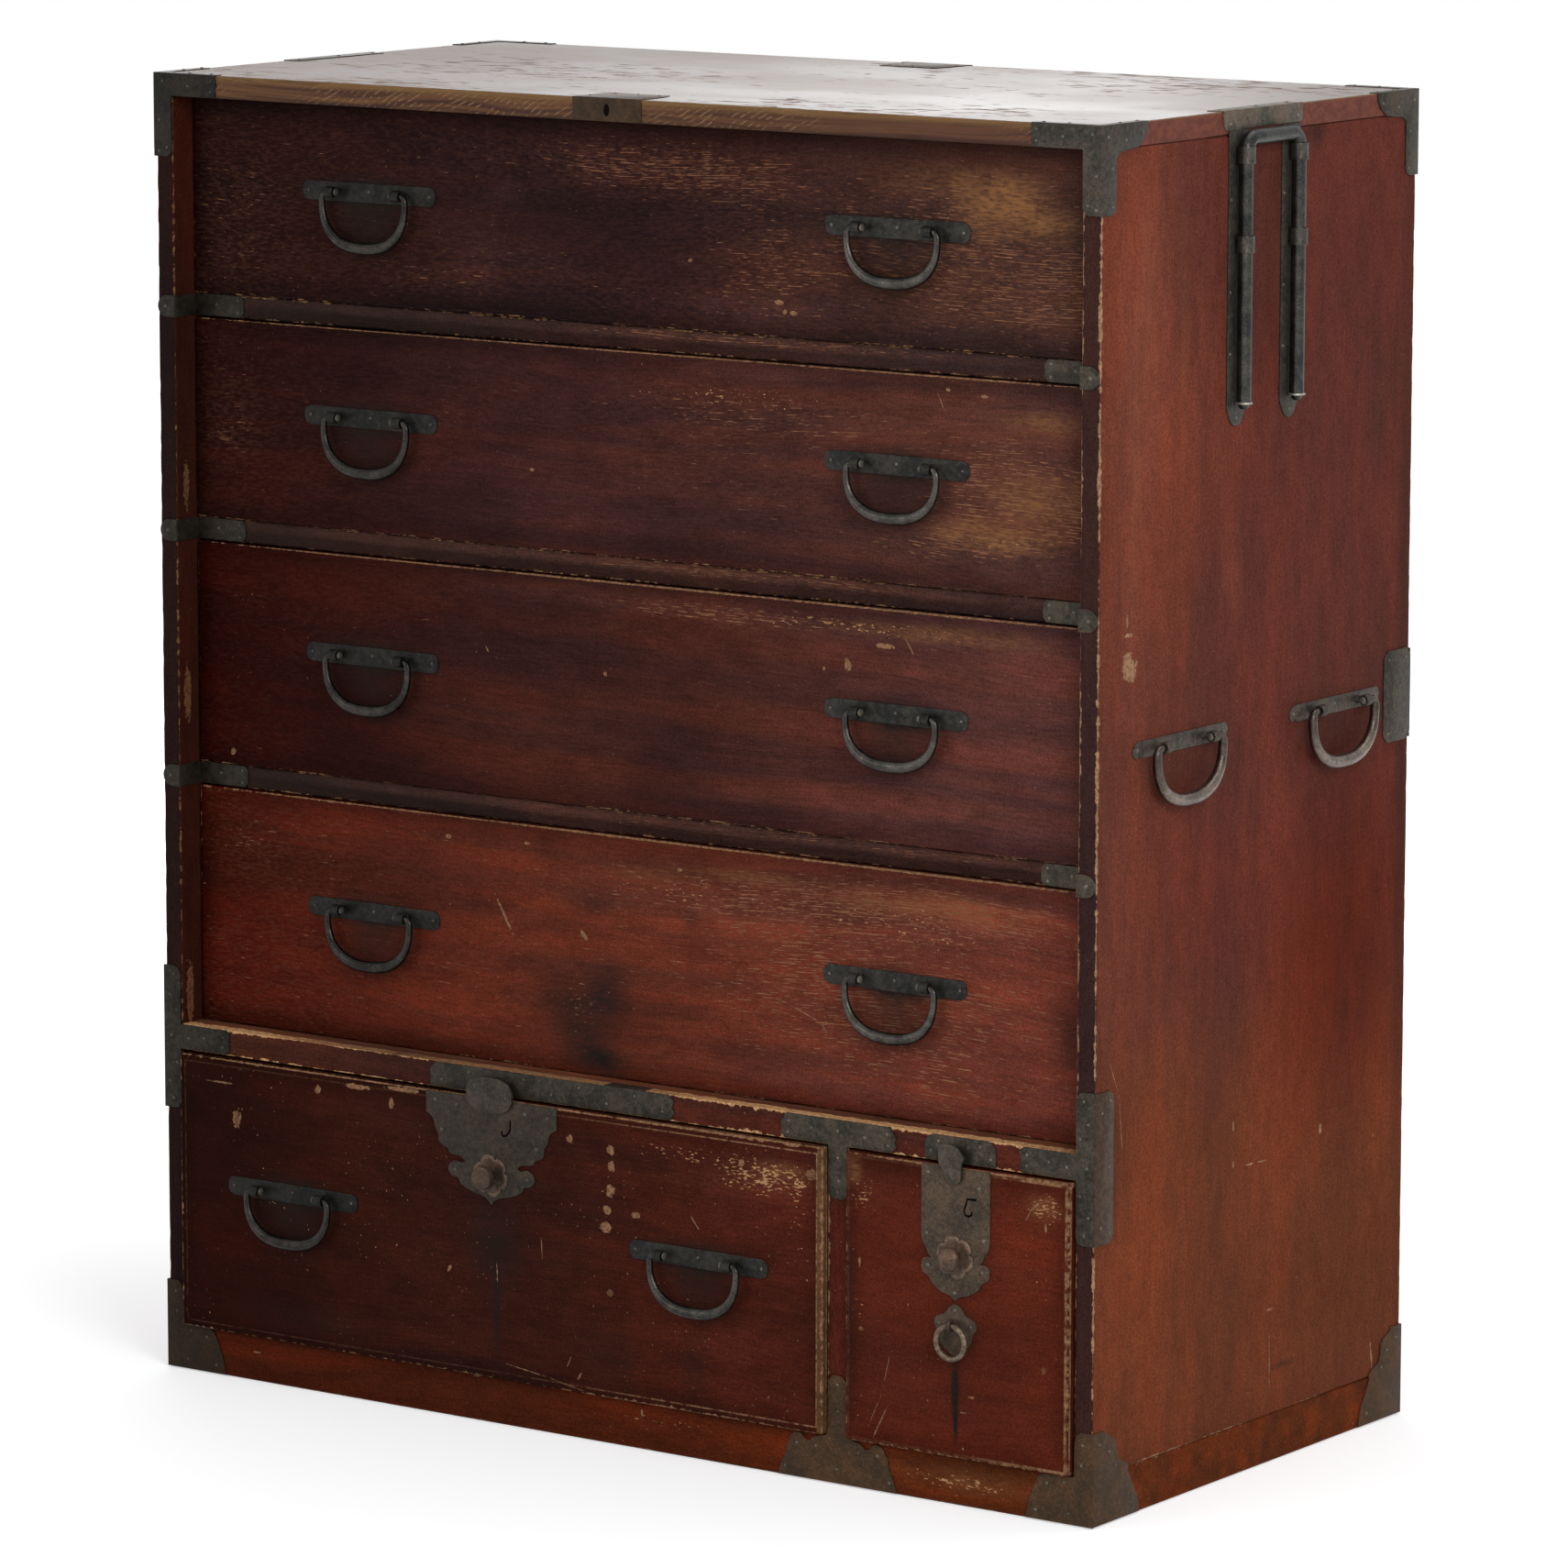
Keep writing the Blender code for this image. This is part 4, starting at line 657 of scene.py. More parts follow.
def rectangle(left, bottom, right, top):
    return [(left, bottom), (right, bottom), (right, top), (left, top)]


def cut_rectangle(left, bottom, right, top, cut):
    """A rectangle with its four corners cut."""
    return [
        (left + cut, bottom), (right - cut, bottom), (right, bottom + cut), (right, top - cut),
        (right - cut, top), (left + cut, top), (left, top - cut), (left, bottom + cut),
    ]


def oval(u, v, half_u, half_v):
    return [(u + half_u * math.cos(turn), v + half_v * math.sin(turn)) for turn in turns(16)]


def curve_through(points, steps=5):
    """A smooth line through points; a point given twice in a row stays a corner."""
    line = []
    for i in range(len(points) - 1):
        second, third = points[i], points[i + 1]
        if second == third:
            continue
        first = points[i - 1] if i > 0 else second
        fourth = points[i + 2] if i + 2 < len(points) else third
        for k in range(steps):
            t = k / steps
            line.append(tuple(
                0.5 * (2 * second[a] + (third[a] - first[a]) * t
                       + (2 * first[a] - 5 * second[a] + 4 * third[a] - fourth[a]) * t * t
                       + (3 * second[a] - first[a] - 3 * third[a] + fourth[a]) * t ** 3)
                for a in range(2)
            ))
    line.append(tuple(points[-1]))
    return line


def both_sides(half, x):
    """Closes a half outline, given from the middle line or beyond it, with its mirror image."""
    other = [(-u, v) for u, v in reversed(half) if u > 0.0]
    return [(x + u, v) for u, v in list(half) + other]


def add_plate(form, face, outline, nails):
    """A plate on the case's front or right side, with its nails."""
    wall, skin = PLATE_LEVELS[face]
    add_sheet(form, face, [outline], wall, skin, SOFT)
    add_nails(form, face, nails, skin, SMALL_NAIL)


# Finishes of the irons, each darker to the left by painted shade

BLACK = iron("black_iron_skin", (0.025, 0.021, 0.016), (0.062, 0.053, 0.04), (0.072, 0.048, 0.032), 0.35)
MID_IRON = iron(
    "mid_corner_iron", (0.025, 0.021, 0.016), (0.06, 0.052, 0.04), (0.066, 0.046, 0.032), 0.35,
    flank=(0.051, 0.029, 0.018),
)
DRAWER_IRON = iron(
    "drawer_handle_iron", (0.012, 0.012, 0.011), (0.038, 0.036, 0.031), (0.042, 0.03, 0.024), 0.25,
)
CORNER = iron(
    "top_corner_iron", (0.028, 0.026, 0.021), (0.064, 0.055, 0.044), (0.08, 0.05, 0.034), 0.4,
    painted_left_shade=(0.35, 1.05),
)
NAILS = iron("nail_heads", (0.07, 0.064, 0.052), (0.165, 0.15, 0.124), (0.1, 0.07, 0.045), 0.2, 0.4, 0.45)
BAIL = iron(
    "bail_iron", (0.03, 0.028, 0.025), (0.07, 0.064, 0.056), (0.05, 0.04, 0.032), 0.2, 0.9, 0.3, 120.0,
)
RING = iron(
    "door_ring_iron", (0.08, 0.058, 0.04), (0.2, 0.15, 0.105), (0.14, 0.085, 0.05), 0.4, 0.6, 0.42, 260.0,
)
# The side bails: lighter at the belly, rubbed and with a painted highlight
STEEL = iron(
    "rubbed_highlit_bail_iron", (0.075, 0.06, 0.05), (0.15, 0.122, 0.102), (0.11, 0.08, 0.058), 0.3, 0.9, 0.32, 130.0,
    painted_left_shade=(0.425, 0.9775), belly=(0.549, 0.576),
)
SIDE_PLATE = iron("side_handle_iron", (0.036, 0.03, 0.025), (0.078, 0.064, 0.053), (0.085, 0.052, 0.036), 0.4)
BROWN = iron(
    "brown_lock_iron", (0.034, 0.027, 0.02), (0.068, 0.054, 0.04), (0.092, 0.056, 0.034), 0.4, 0.25, 0.5,
)
WARM_BROWN = iron(
    "door_lock_iron", (0.042, 0.03, 0.021), (0.082, 0.058, 0.039), (0.1, 0.06, 0.036), 0.4, 0.25, 0.5,
)
OLIVE = iron(
    "rusty_base_iron", (0.04, 0.024, 0.013), (0.068, 0.038, 0.02), (0.095, 0.044, 0.018), 0.35, 0.15, 0.58,
    painted_left_shade=(0.4, 1.25),
)
TONGUE = iron(
    "lock_tongue_iron", (0.04, 0.034, 0.027), (0.082, 0.068, 0.054), (0.09, 0.062, 0.044), 0.35, 0.45, 0.42,
)
COPPER = iron(
    "copper_brown_iron", (0.055, 0.038, 0.028), (0.125, 0.08, 0.056), (0.13, 0.068, 0.04), 0.45, 0.35, 0.45,
)
RIM = iron(
    "rubbed_copper_rims", (0.075, 0.052, 0.038), (0.19, 0.128, 0.092), (0.15, 0.08, 0.048), 0.4, 0.4, 0.45,
)
POLE = iron(
    "pole_bar_iron", (0.022, 0.023, 0.022), (0.048, 0.048, 0.044), (0.045, 0.036, 0.03), 0.2, 0.85, 0.3,
    110.0,
)
SLEEVE_IRON = iron(
    "pole_sleeve_iron", (0.033, 0.031, 0.028), (0.064, 0.059, 0.052), (0.06, 0.044, 0.035), 0.25, 0.7, 0.34,
    130.0,
)
POLE_PLATE = iron("pole_plate_iron", (0.026, 0.024, 0.021), (0.056, 0.05, 0.042), (0.06, 0.042, 0.032), 0.3)
STRAP = iron(
    "pole_strap_iron", (0.05, 0.047, 0.035), (0.115, 0.1, 0.076), (0.145, 0.088, 0.062), 0.55, 0.25, 0.55,
)
BRIGHT = iron("rubbed_rim_iron", (0.18, 0.165, 0.14), (0.4, 0.37, 0.32), (0.15, 0.1, 0.07), 0.2, 0.7, 0.35)

DRAWER_WOOD = plain_wood("drawer_box_wood", (0.36, 0.235, 0.13), (0.5, 0.36, 0.21), 1)
BACK_WOOD = plain_wood("back_panel_wood", (0.12, 0.05, 0.026), (0.21, 0.1, 0.05), 2)


def keyhole_painted_shade():
    """Painted shade inside a keyhole: a near-black finish for the sheet behind the slot."""
    tree = Tree(bpy.data.materials.new("keyhole_painted_shade"))
    dust = tree.noise(400.0, 2.0)
    return tree.finish(tree.mix(dust, (0.003, 0.002, 0.002), (0.008, 0.006, 0.005)), 0.9, dust, 0.0002, 0.02)


KEYHOLE_SHADE = keyhole_painted_shade()

HANDLES = {
    1: [(-0.2535, 0.974), (0.2535, 0.974)],
    2: [(-0.2535, 0.79425), (0.2535, 0.79425)],
    3: [(-0.2535, 0.60325), (0.2535, 0.60325)],
    4: [(-0.2535, 0.396), (0.2535, 0.396)],
    5: [(-0.316, 0.1625), (0.089, 0.1625)],
}


def halos(number):
    """Grime round each handle: close round the plate and softer under the bail."""
    marks = []
    for x, z in HANDLES[number]:
        marks += [(x, z, 0.086, 0.019, 0.75), (x, z - 0.02, 0.058, 0.048, 0.62)]
    return marks


# Each front's colours at its left, middle and right: darker to the left as painted shade, and on fronts 1 to
# 3 hazier to the right as a painted reflection
FRONT_LOOKS = {
    1: dict(
        left=(0.012, 0.0032, 0.003), middle=(0.0245, 0.0092, 0.0092), right=(0.064, 0.027, 0.0205),
        rows=340.0, wear=0.3, chips=0.22, edge=0.0005,
        worn=[
            (0.34, 0.955, 0.2, 0.085, 1.15), (-0.395, 0.96, 0.075, 0.1, 0.25),
            (0.02, 1.005, 0.24, 0.035, 0.65), (0.38, 0.915, 0.14, 0.05, 0.55),
            (-0.08, 0.925, 0.14, 0.035, 0.5), (0.14, 0.95, 0.16, 0.08, 0.45), (-0.17, 0.91, 0.09, 0.02, 0.45),
        ],
        gold=[
            (0.351, 0.994, 0.066, 0.036, 1.15), (0.395, 0.985, 0.04, 0.022, 0.7),
            (0.3, 1.013, 0.11, 0.018, 0.45),
        ],
        fleck=[(0.3, 0.99, 0.16, 0.05, 0.45)],
        tone=[
            (-0.14, 0.935, 0.1, 0.05, 0.45), (0.115, 0.905, 0.12, 0.022, 0.75),
            (-0.12, 0.98, 0.03, 0.02, 0.6),
        ],
        chip=[
            (0.144, 0.9114, 0.0045, 0.0022, 1.0), (0.157, 0.904, 0.0035, 0.0022, 1.0),
            (0.149, 0.9045, 0.0026, 0.0016, 1.0), (0.06, 0.939, 0.002, 0.0014, 0.8),
            (0.19, 0.979, 0.002, 0.002, 0.8),
        ],
    ),
    2: dict(
        left=(0.017, 0.0024, 0.0018), middle=(0.053, 0.0165, 0.014), right=(0.098, 0.034, 0.025), rows=330.0,
        wear=0.24, chips=0.22, edge=0.0006,
        worn=[
            (0.37, 0.78, 0.15, 0.075, 1.05), (0.13, 0.825, 0.22, 0.03, 0.6), (0.3, 0.735, 0.12, 0.03, 0.85),
            (-0.4, 0.79, 0.05, 0.06, 0.4), (0.1, 0.78, 0.2, 0.05, 0.3),
        ],
        gold=[
            (0.345, 0.747, 0.085, 0.019, 1.1), (0.385, 0.776, 0.07, 0.026, 0.7),
            (0.385, 0.835, 0.06, 0.014, 0.6),
        ],
        fleck=[(0.34, 0.742, 0.07, 0.01, 0.75), (0.11, 0.835, 0.2, 0.02, 0.62)],
        tone=[(0.12, 0.857, 0.1, 0.012, 1.0), (-0.05, 0.75, 0.2, 0.05, 0.2)],
        chip=[
            (-0.0936, 0.7658, 0.0026, 0.0014, 1.0), (0.3, 0.855, 0.0026, 0.0014, 1.0),
            (0.333, 0.852, 0.004, 0.0014, 1.0),
        ],
        scratch=[(0.29, 0.853, 0.297, 0.838, 0.0005)],
    ),
    3: dict(
        left=(0.02, 0.0013, 0.0005), middle=(0.052, 0.015, 0.0112), right=(0.122, 0.039, 0.031), rows=350.0,
        wear=0.16, chips=0.22, edge=0.0006,
        worn=[
            (0.22, 0.666, 0.26, 0.014, 1.1), (0.36, 0.63, 0.12, 0.06, 0.45), (0.05, 0.668, 0.2, 0.012, 0.5),
        ],
        gold=[(0.3, 0.668, 0.14, 0.012, 0.6)], fleck=[(0.22, 0.668, 0.22, 0.012, 0.8)],
        tone=[(-0.02, 0.672, 0.3, 0.014, 0.6), (-0.1, 0.56, 0.2, 0.05, 0.2), (0.18, 0.53, 0.18, 0.018, 0.35)],
        chip=[
            (0.2088, 0.6376, 0.0036, 0.0055, 1.0), (0.2428, 0.6547, 0.0085, 0.0024, 1.0),
            (-0.0225, 0.6101, 0.0018, 0.0018, 1.0), (-0.398, 0.5135, 0.003, 0.003, 0.8),
            (0.186, 0.633, 0.0013, 0.002, 1.0),
        ],
        scratch=[(0.262, 0.662, 0.27, 0.65, 0.0007), (-0.14, 0.622, -0.137, 0.617, 0.0008)],
    ),
    4: dict(
        left=(0.052, 0.005, 0.0018), middle=(0.12, 0.0255, 0.0135), right=(0.162, 0.037, 0.024), rows=300.0,
        wear=0.36, chips=0.3, mottle=0.18, edge=0.0008,
        worn=[
            (0.27, 0.452, 0.23, 0.032, 1.25), (0.06, 0.44, 0.2, 0.04, 0.75), (0.26, 0.325, 0.24, 0.045, 0.9),
            (0.24, 0.4, 0.28, 0.1, 0.65), (-0.38, 0.43, 0.06, 0.05, 0.35),
        ],
        gold=[
            (0.29, 0.457, 0.15, 0.018, 0.5), (0.12, 0.463, 0.1, 0.009, 0.4), (0.02, 0.455, 0.06, 0.01, 0.25),
        ],
        tone=[
            (0.08, 0.43, 0.16, 0.03, 0.45), (0.2, 0.305, 0.26, 0.018, 0.45), (-0.3, 0.455, 0.12, 0.03, 0.45),
            (0.33, 0.45, 0.1, 0.025, 0.3), (-0.2, 0.32, 0.1, 0.03, 0.3),
        ],
        fleck=[(0.28, 0.44, 0.2, 0.04, 0.6), (0.06, 0.445, 0.2, 0.03, 0.6), (-0.05, 0.345, 0.05, 0.06, 0.62)],
        dark=[
            (-0.05, 0.337, 0.06, 0.052, 0.75), (-0.018, 0.358, 0.036, 0.046, 0.65),
            (-0.035, 0.305, 0.05, 0.03, 0.45), (-0.03, 0.425, 0.045, 0.014, 0.5),
            (0.415, 0.37, 0.03, 0.07, 0.5), (-0.02, 0.3, 0.035, 0.02, 0.45), (0.06, 0.425, 0.012, 0.012, 0.6),
        ],
        scratch=[
            (-0.1318, 0.424, -0.1137, 0.3927, 0.0013), (0.1535, 0.3674, 0.1838, 0.3564, 0.0005),
            (0.14, 0.371, 0.1535, 0.3674, 0.0004), (0.1838, 0.3564, 0.1905, 0.348, 0.0004),
            (-0.047, 0.404, -0.04, 0.396, 0.0022),
        ],
        chip=[
            (-0.1, 0.468, 0.003, 0.0014, 1.0), (0.05, 0.462, 0.0026, 0.0014, 1.0),
            (-0.178, 0.466, 0.003, 0.002, 0.8),
        ],
    ),
    5: dict(
        left=(0.0215, 0.0036, 0.0017), middle=(0.042, 0.0098, 0.0058), right=(0.062, 0.013, 0.0076),
        rows=380.0, wear=0.04, chips=0.7, edge=0.0012, steady=0.5, mottle=0.15, hue=0.6, cloudy=0.6,
        line=(0.0054, 0.0009, 1.0), faces=[(0, 0.2012, 0.2018, (0.15, 0.078, 0.036))],
        worn=[(0.15, 0.234, 0.065, 0.024, 0.7), (0.09, 0.222, 0.06, 0.016, 0.4)],
        gold=[(0.165, 0.243, 0.04, 0.01, 0.45)],
        fleck=[
            (0.15, 0.236, 0.09, 0.03, 1.05), (0.06, 0.245, 0.08, 0.014, 0.75), (0.185, 0.2, 0.02, 0.06, 0.55),
        ],
        tone=[(0.16, 0.225, 0.08, 0.05, 0.5), (-0.25, 0.24, 0.14, 0.02, 0.35), (0.1, 0.1, 0.08, 0.03, 0.25)],
        dark=[
            (-0.111, 0.15, 0.045, 0.06, 0.75), (-0.109, 0.095, 0.007, 0.055, 0.85),
            (0.0, 0.075, 0.05, 0.04, 0.3), (-0.3, 0.06, 0.12, 0.02, 0.35), (0.085, 0.075, 0.02, 0.05, 0.3),
        ],
        chip=[
            (0.0035, 0.2379, 0.0036, 0.004, 1.0), (0.0045, 0.2254, 0.0042, 0.0042, 1.0),
            (0.003, 0.206, 0.0046, 0.0052, 1.0), (0.0005, 0.1898, 0.0044, 0.0038, 1.0),
            (-0.001, 0.1757, 0.0048, 0.0044, 1.0), (0.0025, 0.1237, 0.0034, 0.0032, 0.5),
            (-0.0365, 0.2425, 0.0036, 0.0048, 0.9), (0.0275, 0.1895, 0.0046, 0.0024, 1.0),
            (-0.3745, 0.2176, 0.0046, 0.009, 0.7), (-0.39, 0.246, 0.015, 0.0009, 0.8),
            (0.13, 0.244, 0.0034, 0.003, 1.0), (-0.29, 0.252, 0.003, 0.0034, 0.9),
            (-0.215, 0.249, 0.0026, 0.005, 0.9), (-0.06, 0.2618, 0.008, 0.0032, 1.0),
            (0.195, 0.243, 0.006, 0.005, 0.6), (-0.25, 0.259, 0.014, 0.0022, 1.0),
            (-0.204, 0.262, 0.02, 0.002, 1.0),
        ],
        scratch=[
            (-0.1595, 0.118, -0.1545, 0.126, 0.0014), (0.081, 0.196, 0.089, 0.186, 0.0007),
            (-0.03, 0.048, -0.025, 0.056, 0.0009), (-0.04, 0.058, -0.035, 0.068, 0.0006),
            (-0.1, 0.052, -0.06, 0.047, 0.0005), (-0.06, 0.047, -0.02, 0.04, 0.0004),
            (-0.1095, 0.134, -0.1085, 0.116, 0.0006), (-0.065, 0.16, -0.064, 0.142, 0.0005),
        ],
    ),
}


def halves(box_low, box_high, thick, face_y):
    return (box_low[0], face_y, box_low[1]), (box_high[0], face_y + thick, box_high[1])


def handle_outline(half_length, half_height, cut):
    """A narrow plate with its ends drawn in to a blunt point."""
    low = [
        (half_length - cut, -half_height), (half_length - cut * 0.36, -half_height * 0.8),
        (half_length, -half_height * 0.36),
    ]
    right = low + [(u, -v) for u, v in reversed(low)]
    return right + [(-u, v) for u, v in reversed(right)]


DRAWER_PLATE = handle_outline(0.0665, 0.00775, 0.0055)
SIDE_PLATE_OUTLINE = [
    (0.056, -0.0066), (0.058, -0.0042), (0.061, -0.005), (0.065, -0.003), (0.0665, 0.001), (0.065, 0.0048),
    (0.0625, 0.0066), (-0.059, 0.0066), (-0.0625, 0.005), (-0.066, 0.002), (-0.0668, -0.002),
    (-0.065, -0.0052), (-0.0615, -0.0064), (-0.059, -0.0044), (-0.056, -0.0066),
]


def shifted(loop, u, v):
    return [(a + u, b + v) for a, b in loop]


BARREL = [
    (0.0026, -0.0036), (0.0038, -0.004), (0.0046, -0.0032), (0.0047, 0.0), (0.0046, 0.0032), (0.0038, 0.004),
    (0.0026, 0.0036),
]


def add_handle_iron(form, face, u, v, wall, outward, outline):
    """A handle's plate with three nails and two eyes; wall is the wood's surface."""
    skin = wall + outward * THIN_OUT
    add_sheet(form, face, [shifted(outline, u, v)], wall, skin, SOFT)
    add_nails(form, face, [(u - 0.0605, v), (u, v + 0.001), (u + 0.0605, v)], skin, SMALL_NAIL)
    reach = BAIL_AXIS_OUT if face == "front" else SIDE_AXIS_X - HALF_WIDTH
    along = placed(face, 1.0, 0.0, 0.0)
    out = placed(face, 0.0, 0.0, outward)
    tip = reach - 0.0034
    shank = [(0.0, 0.0), (0.0036, 0.0), (0.003, reach * 0.45), (0.0026, tip), (0.0, tip)]
    for side in (-1, 1):
        centre = placed(face, u + side * EYE_SPREAD, v, wall + outward * reach)
        add_turned(form, BARREL, centre, along, 18, closed=True)
        add_turned(form, shank, centre - out * reach, out, 14)


def bail_half(half_width, drop, arm, belly):
    """Half of a bail's path with radii: tail, pin through the eye, shoulder and crescent."""
    pin = 0.0022
    bend = 0.0052
    fullness = 0.82
    swell = arm - pin
    corner = half_width - bend
    path = [(0.0275, 0.0, pin), (0.03, 0.0, pin), (0.0345, 0.0, pin), (corner, 0.0, pin + swell * 0.3)]
    for i in range(1, 5):
        turn = math.pi / 2 * i / 5
        radius = pin + swell * (0.3 + 0.14 * i)
        path.append((corner + bend * math.sin(turn), -bend + bend * math.cos(turn), radius))
    for i in range(0, 20):
        turn = math.pi / 2 * i / 20
        radius = arm + (belly - arm) * math.sin(turn) ** 1.5
        down = -bend - (drop - bend) * math.sin(turn) ** fullness
        path.append((half_width * math.cos(turn) ** fullness, down, radius))
    return path


def bail_form(face, u, v, level, half_width, drop, arm, belly):
    """A bail that hangs from its axis, with a small ball at the end of each pin."""
    half = bail_half(half_width, drop, arm, belly)
    full = [(-a, b, r) for a, b, r in half] + [(0.0, -drop, belly)] + half[::-1]
    points = [placed(face, u + a, v + b, level) for a, b, _ in full]
    form = bmesh.new()
    add_sweep(form, points, [r for _, _, r in full], placed(face, 0.0, 0.0, 1.0), 16, 0.94)
    ball = [
        (0.0, -0.0004), (0.0022, 0.0), (0.0031, 0.0011), (0.0028, 0.0023), (0.0014, 0.0031), (0.0, 0.0034),
    ]
    for end, way in ((points[0], 1), (points[-1], -1)):
        along = placed(face, way, 0.0, 0.0)
        add_turned(form, ball, end - along * 0.0012, along, 12, 1)
    return form


# Drawers

ARRIS_WIDTHS = {1: 0.0, 2: 0.0006, 3: 0.0008, 4: 0.0008, 5: 0.001}
BAIL_DROPS = {1: (0.0435, 0.041), 2: (0.043, 0.04), 3: (0.0425, 0.0395), 4: (0.043, 0.0432), 5: (0.04, 0.042)}


def top_line(low, high, width):
    """The worn arris along a front's top edge, in three uneven lengths."""
    if not width:
        return []
    level = high[2] - 0.0007
    length = high[0] - low[0]
    spans = ((0.03, 0.42, 0.7), (0.3, 0.75, 1.0), (0.62, 1.02, 1.1))
    return [
        (low[0] + length * start, level, low[0] + length * end, level, width * share)
        for start, end, share in spans
    ]


def cut_channel(form, x):
    """Takes the channel of a lock's bolt and neck out of a front board."""
    neck, bolt = 0.0045, 0.0078
    before, front, rear = LOWER_FACE_Y - 0.01, -0.2124, -0.2074
    right = [(neck, before), (neck, front), (bolt, front), (bolt, rear)]
    plan = [(-neck, before)] + right + [(-u, v) for u, v in right[:0:-1]]
    channel = bmesh.new()
    ends = [[channel.verts.new((x + u, v, level)) for u, v in plan] for level in (0.2343, 0.27)]
    channel.faces.new(ends[0][::-1])
    channel.faces.new(ends[1])
    join_rings(channel, [ends[1], ends[0]])
    objects = []
    for name, shape in (("uncut_board", form), ("channel", channel)):
        mesh = bpy.data.meshes.new(name)
        shape.to_mesh(mesh)
        shape.free()
        objects.append(bpy.data.objects.new(name, mesh))
        bpy.context.scene.collection.objects.link(objects[-1])
    cut = objects[0].modifiers.new("channel", "BOOLEAN")
    cut.object = objects[1]
    cut.operation = "DIFFERENCE"
    cut.solver = "EXACT"
    result = bmesh.new()
    result.from_object(objects[0], bpy.context.evaluated_depsgraph_get())
    for made in objects:
        mesh = made.data
        bpy.data.objects.remove(made)
        bpy.data.meshes.remove(mesh)
    return result


def set_finish(name, finish):
    """Gives a node of the frame its finish."""
    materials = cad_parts[name].data.materials
    materials.clear()
    materials.append(finish)


def dress_drawers():
    for number in range(1, 6):
        body = f"drawer_{number}"
        face_y = UPPER_FACE_Y
        if number < 5:
            low_z, high_z = UPPER_FRONTS[number - 1]
            corners = ((-FRONT_HALF, low_z), (FRONT_HALF, high_z + 0.001))
        else:
            corners = LOWER_FRONT
            face_y = LOWER_FACE_Y
        low, high = halves(corners[0], corners[1], FRONT_THICK, face_y)
        looks = dict(FRONT_LOOKS[number])
        looks["dark"] = looks.get("dark", []) + halos(number)
        looks["scratch"] = looks.get("scratch", []) + top_line(low, high, ARRIS_WIDTHS[number])
        finish = lacquer(f"front_{number}_lacquer", "front", 0, low, high, **looks)
        form = bmesh.new()
        add_board(form, low, high, 0.0013, 0.0007)
        if number == 5:
            form = cut_channel(form, LOCK_X)
        piece(f"front_board_{number}", form, body, [finish], [f"drawer_front_{number}"])
        form = bmesh.new()
        for x, z in HANDLES[number]:
            add_handle_iron(form, "front", x, z, face_y, -1, DRAWER_PLATE)
        piece(f"handle_irons_{number}", form, body, [DRAWER_IRON, NAILS])
        for (x, z), side, drop in zip(HANDLES[number], ("left", "right"), BAIL_DROPS[number]):
            form = bail_form("front", x, z, face_y - BAIL_AXIS_OUT, 0.0416, drop, 0.0027, 0.0049)
            node = f"bail_{number}_{side}"
            piece(f"{node}_forged", form, f"handle_{number}_{side}", [BAIL, NAILS], [node])
        set_finish(f"drawer_box_{number}", DRAWER_WOOD)


# Locks

LOCK_RIGHT = [
    (0.065, 0.2655), (0.065, 0.248), (0.065, 0.248), (0.058, 0.2432), (0.056, 0.236), (0.053, 0.231),
    (0.0515, 0.224), (0.044, 0.2205), (0.0405, 0.2165), (0.03, 0.215), (0.0262, 0.2118), (0.0262, 0.2118),
    (0.03, 0.2105), (0.036, 0.2118), (0.0415, 0.2085), (0.0428, 0.203), (0.0385, 0.1985), (0.033, 0.1975),
    (0.03, 0.193), (0.02, 0.1885), (0.009, 0.186), (0.0035, 0.1835), (0.0, 0.1795),
]
DOOR_LOCK_RIGHT = [
    (0.0315, 0.2655), (0.0315, 0.21), (0.0315, 0.21), (0.03, 0.204), (0.0262, 0.1985), (0.0245, 0.1945),
    (0.0222, 0.1925), (0.0222, 0.1925), (0.0262, 0.193), (0.0305, 0.1905), (0.0315, 0.185), (0.0292, 0.1805),
    (0.024, 0.1775), (0.0215, 0.173), (0.013, 0.1675), (0.0045, 0.165), (0.0, 0.1615),
]
LEAF = [
    (-0.0131, 0.014), (-0.0076, 0.0147), (-0.001, 0.0146), (0.0039, 0.0117), (0.0087, 0.0065),
    (0.0093, 0.0044), (0.0073, 0.0014), (0.0065, -0.0048), (0.0063, -0.0114), (0.0033, -0.0149),
    (-0.001, -0.0157), (-0.0046, -0.014), (-0.0076, -0.0101), (-0.0106, -0.005), (-0.0137, -0.0011),
    (-0.0143, 0.0043), (-0.014, 0.0099), (-0.0131, 0.014),
]


def rounded_disc(half_u, half_v, fullness):
    """An oval pulled out towards its corners."""
    loop = []
    for turn in turns(40):
        across, up = math.cos(turn), math.sin(turn)
        u = half_u * math.copysign(abs(across) ** fullness, across)
        loop.append((u, half_v * math.copysign(abs(up) ** fullness, up)))
    return loop


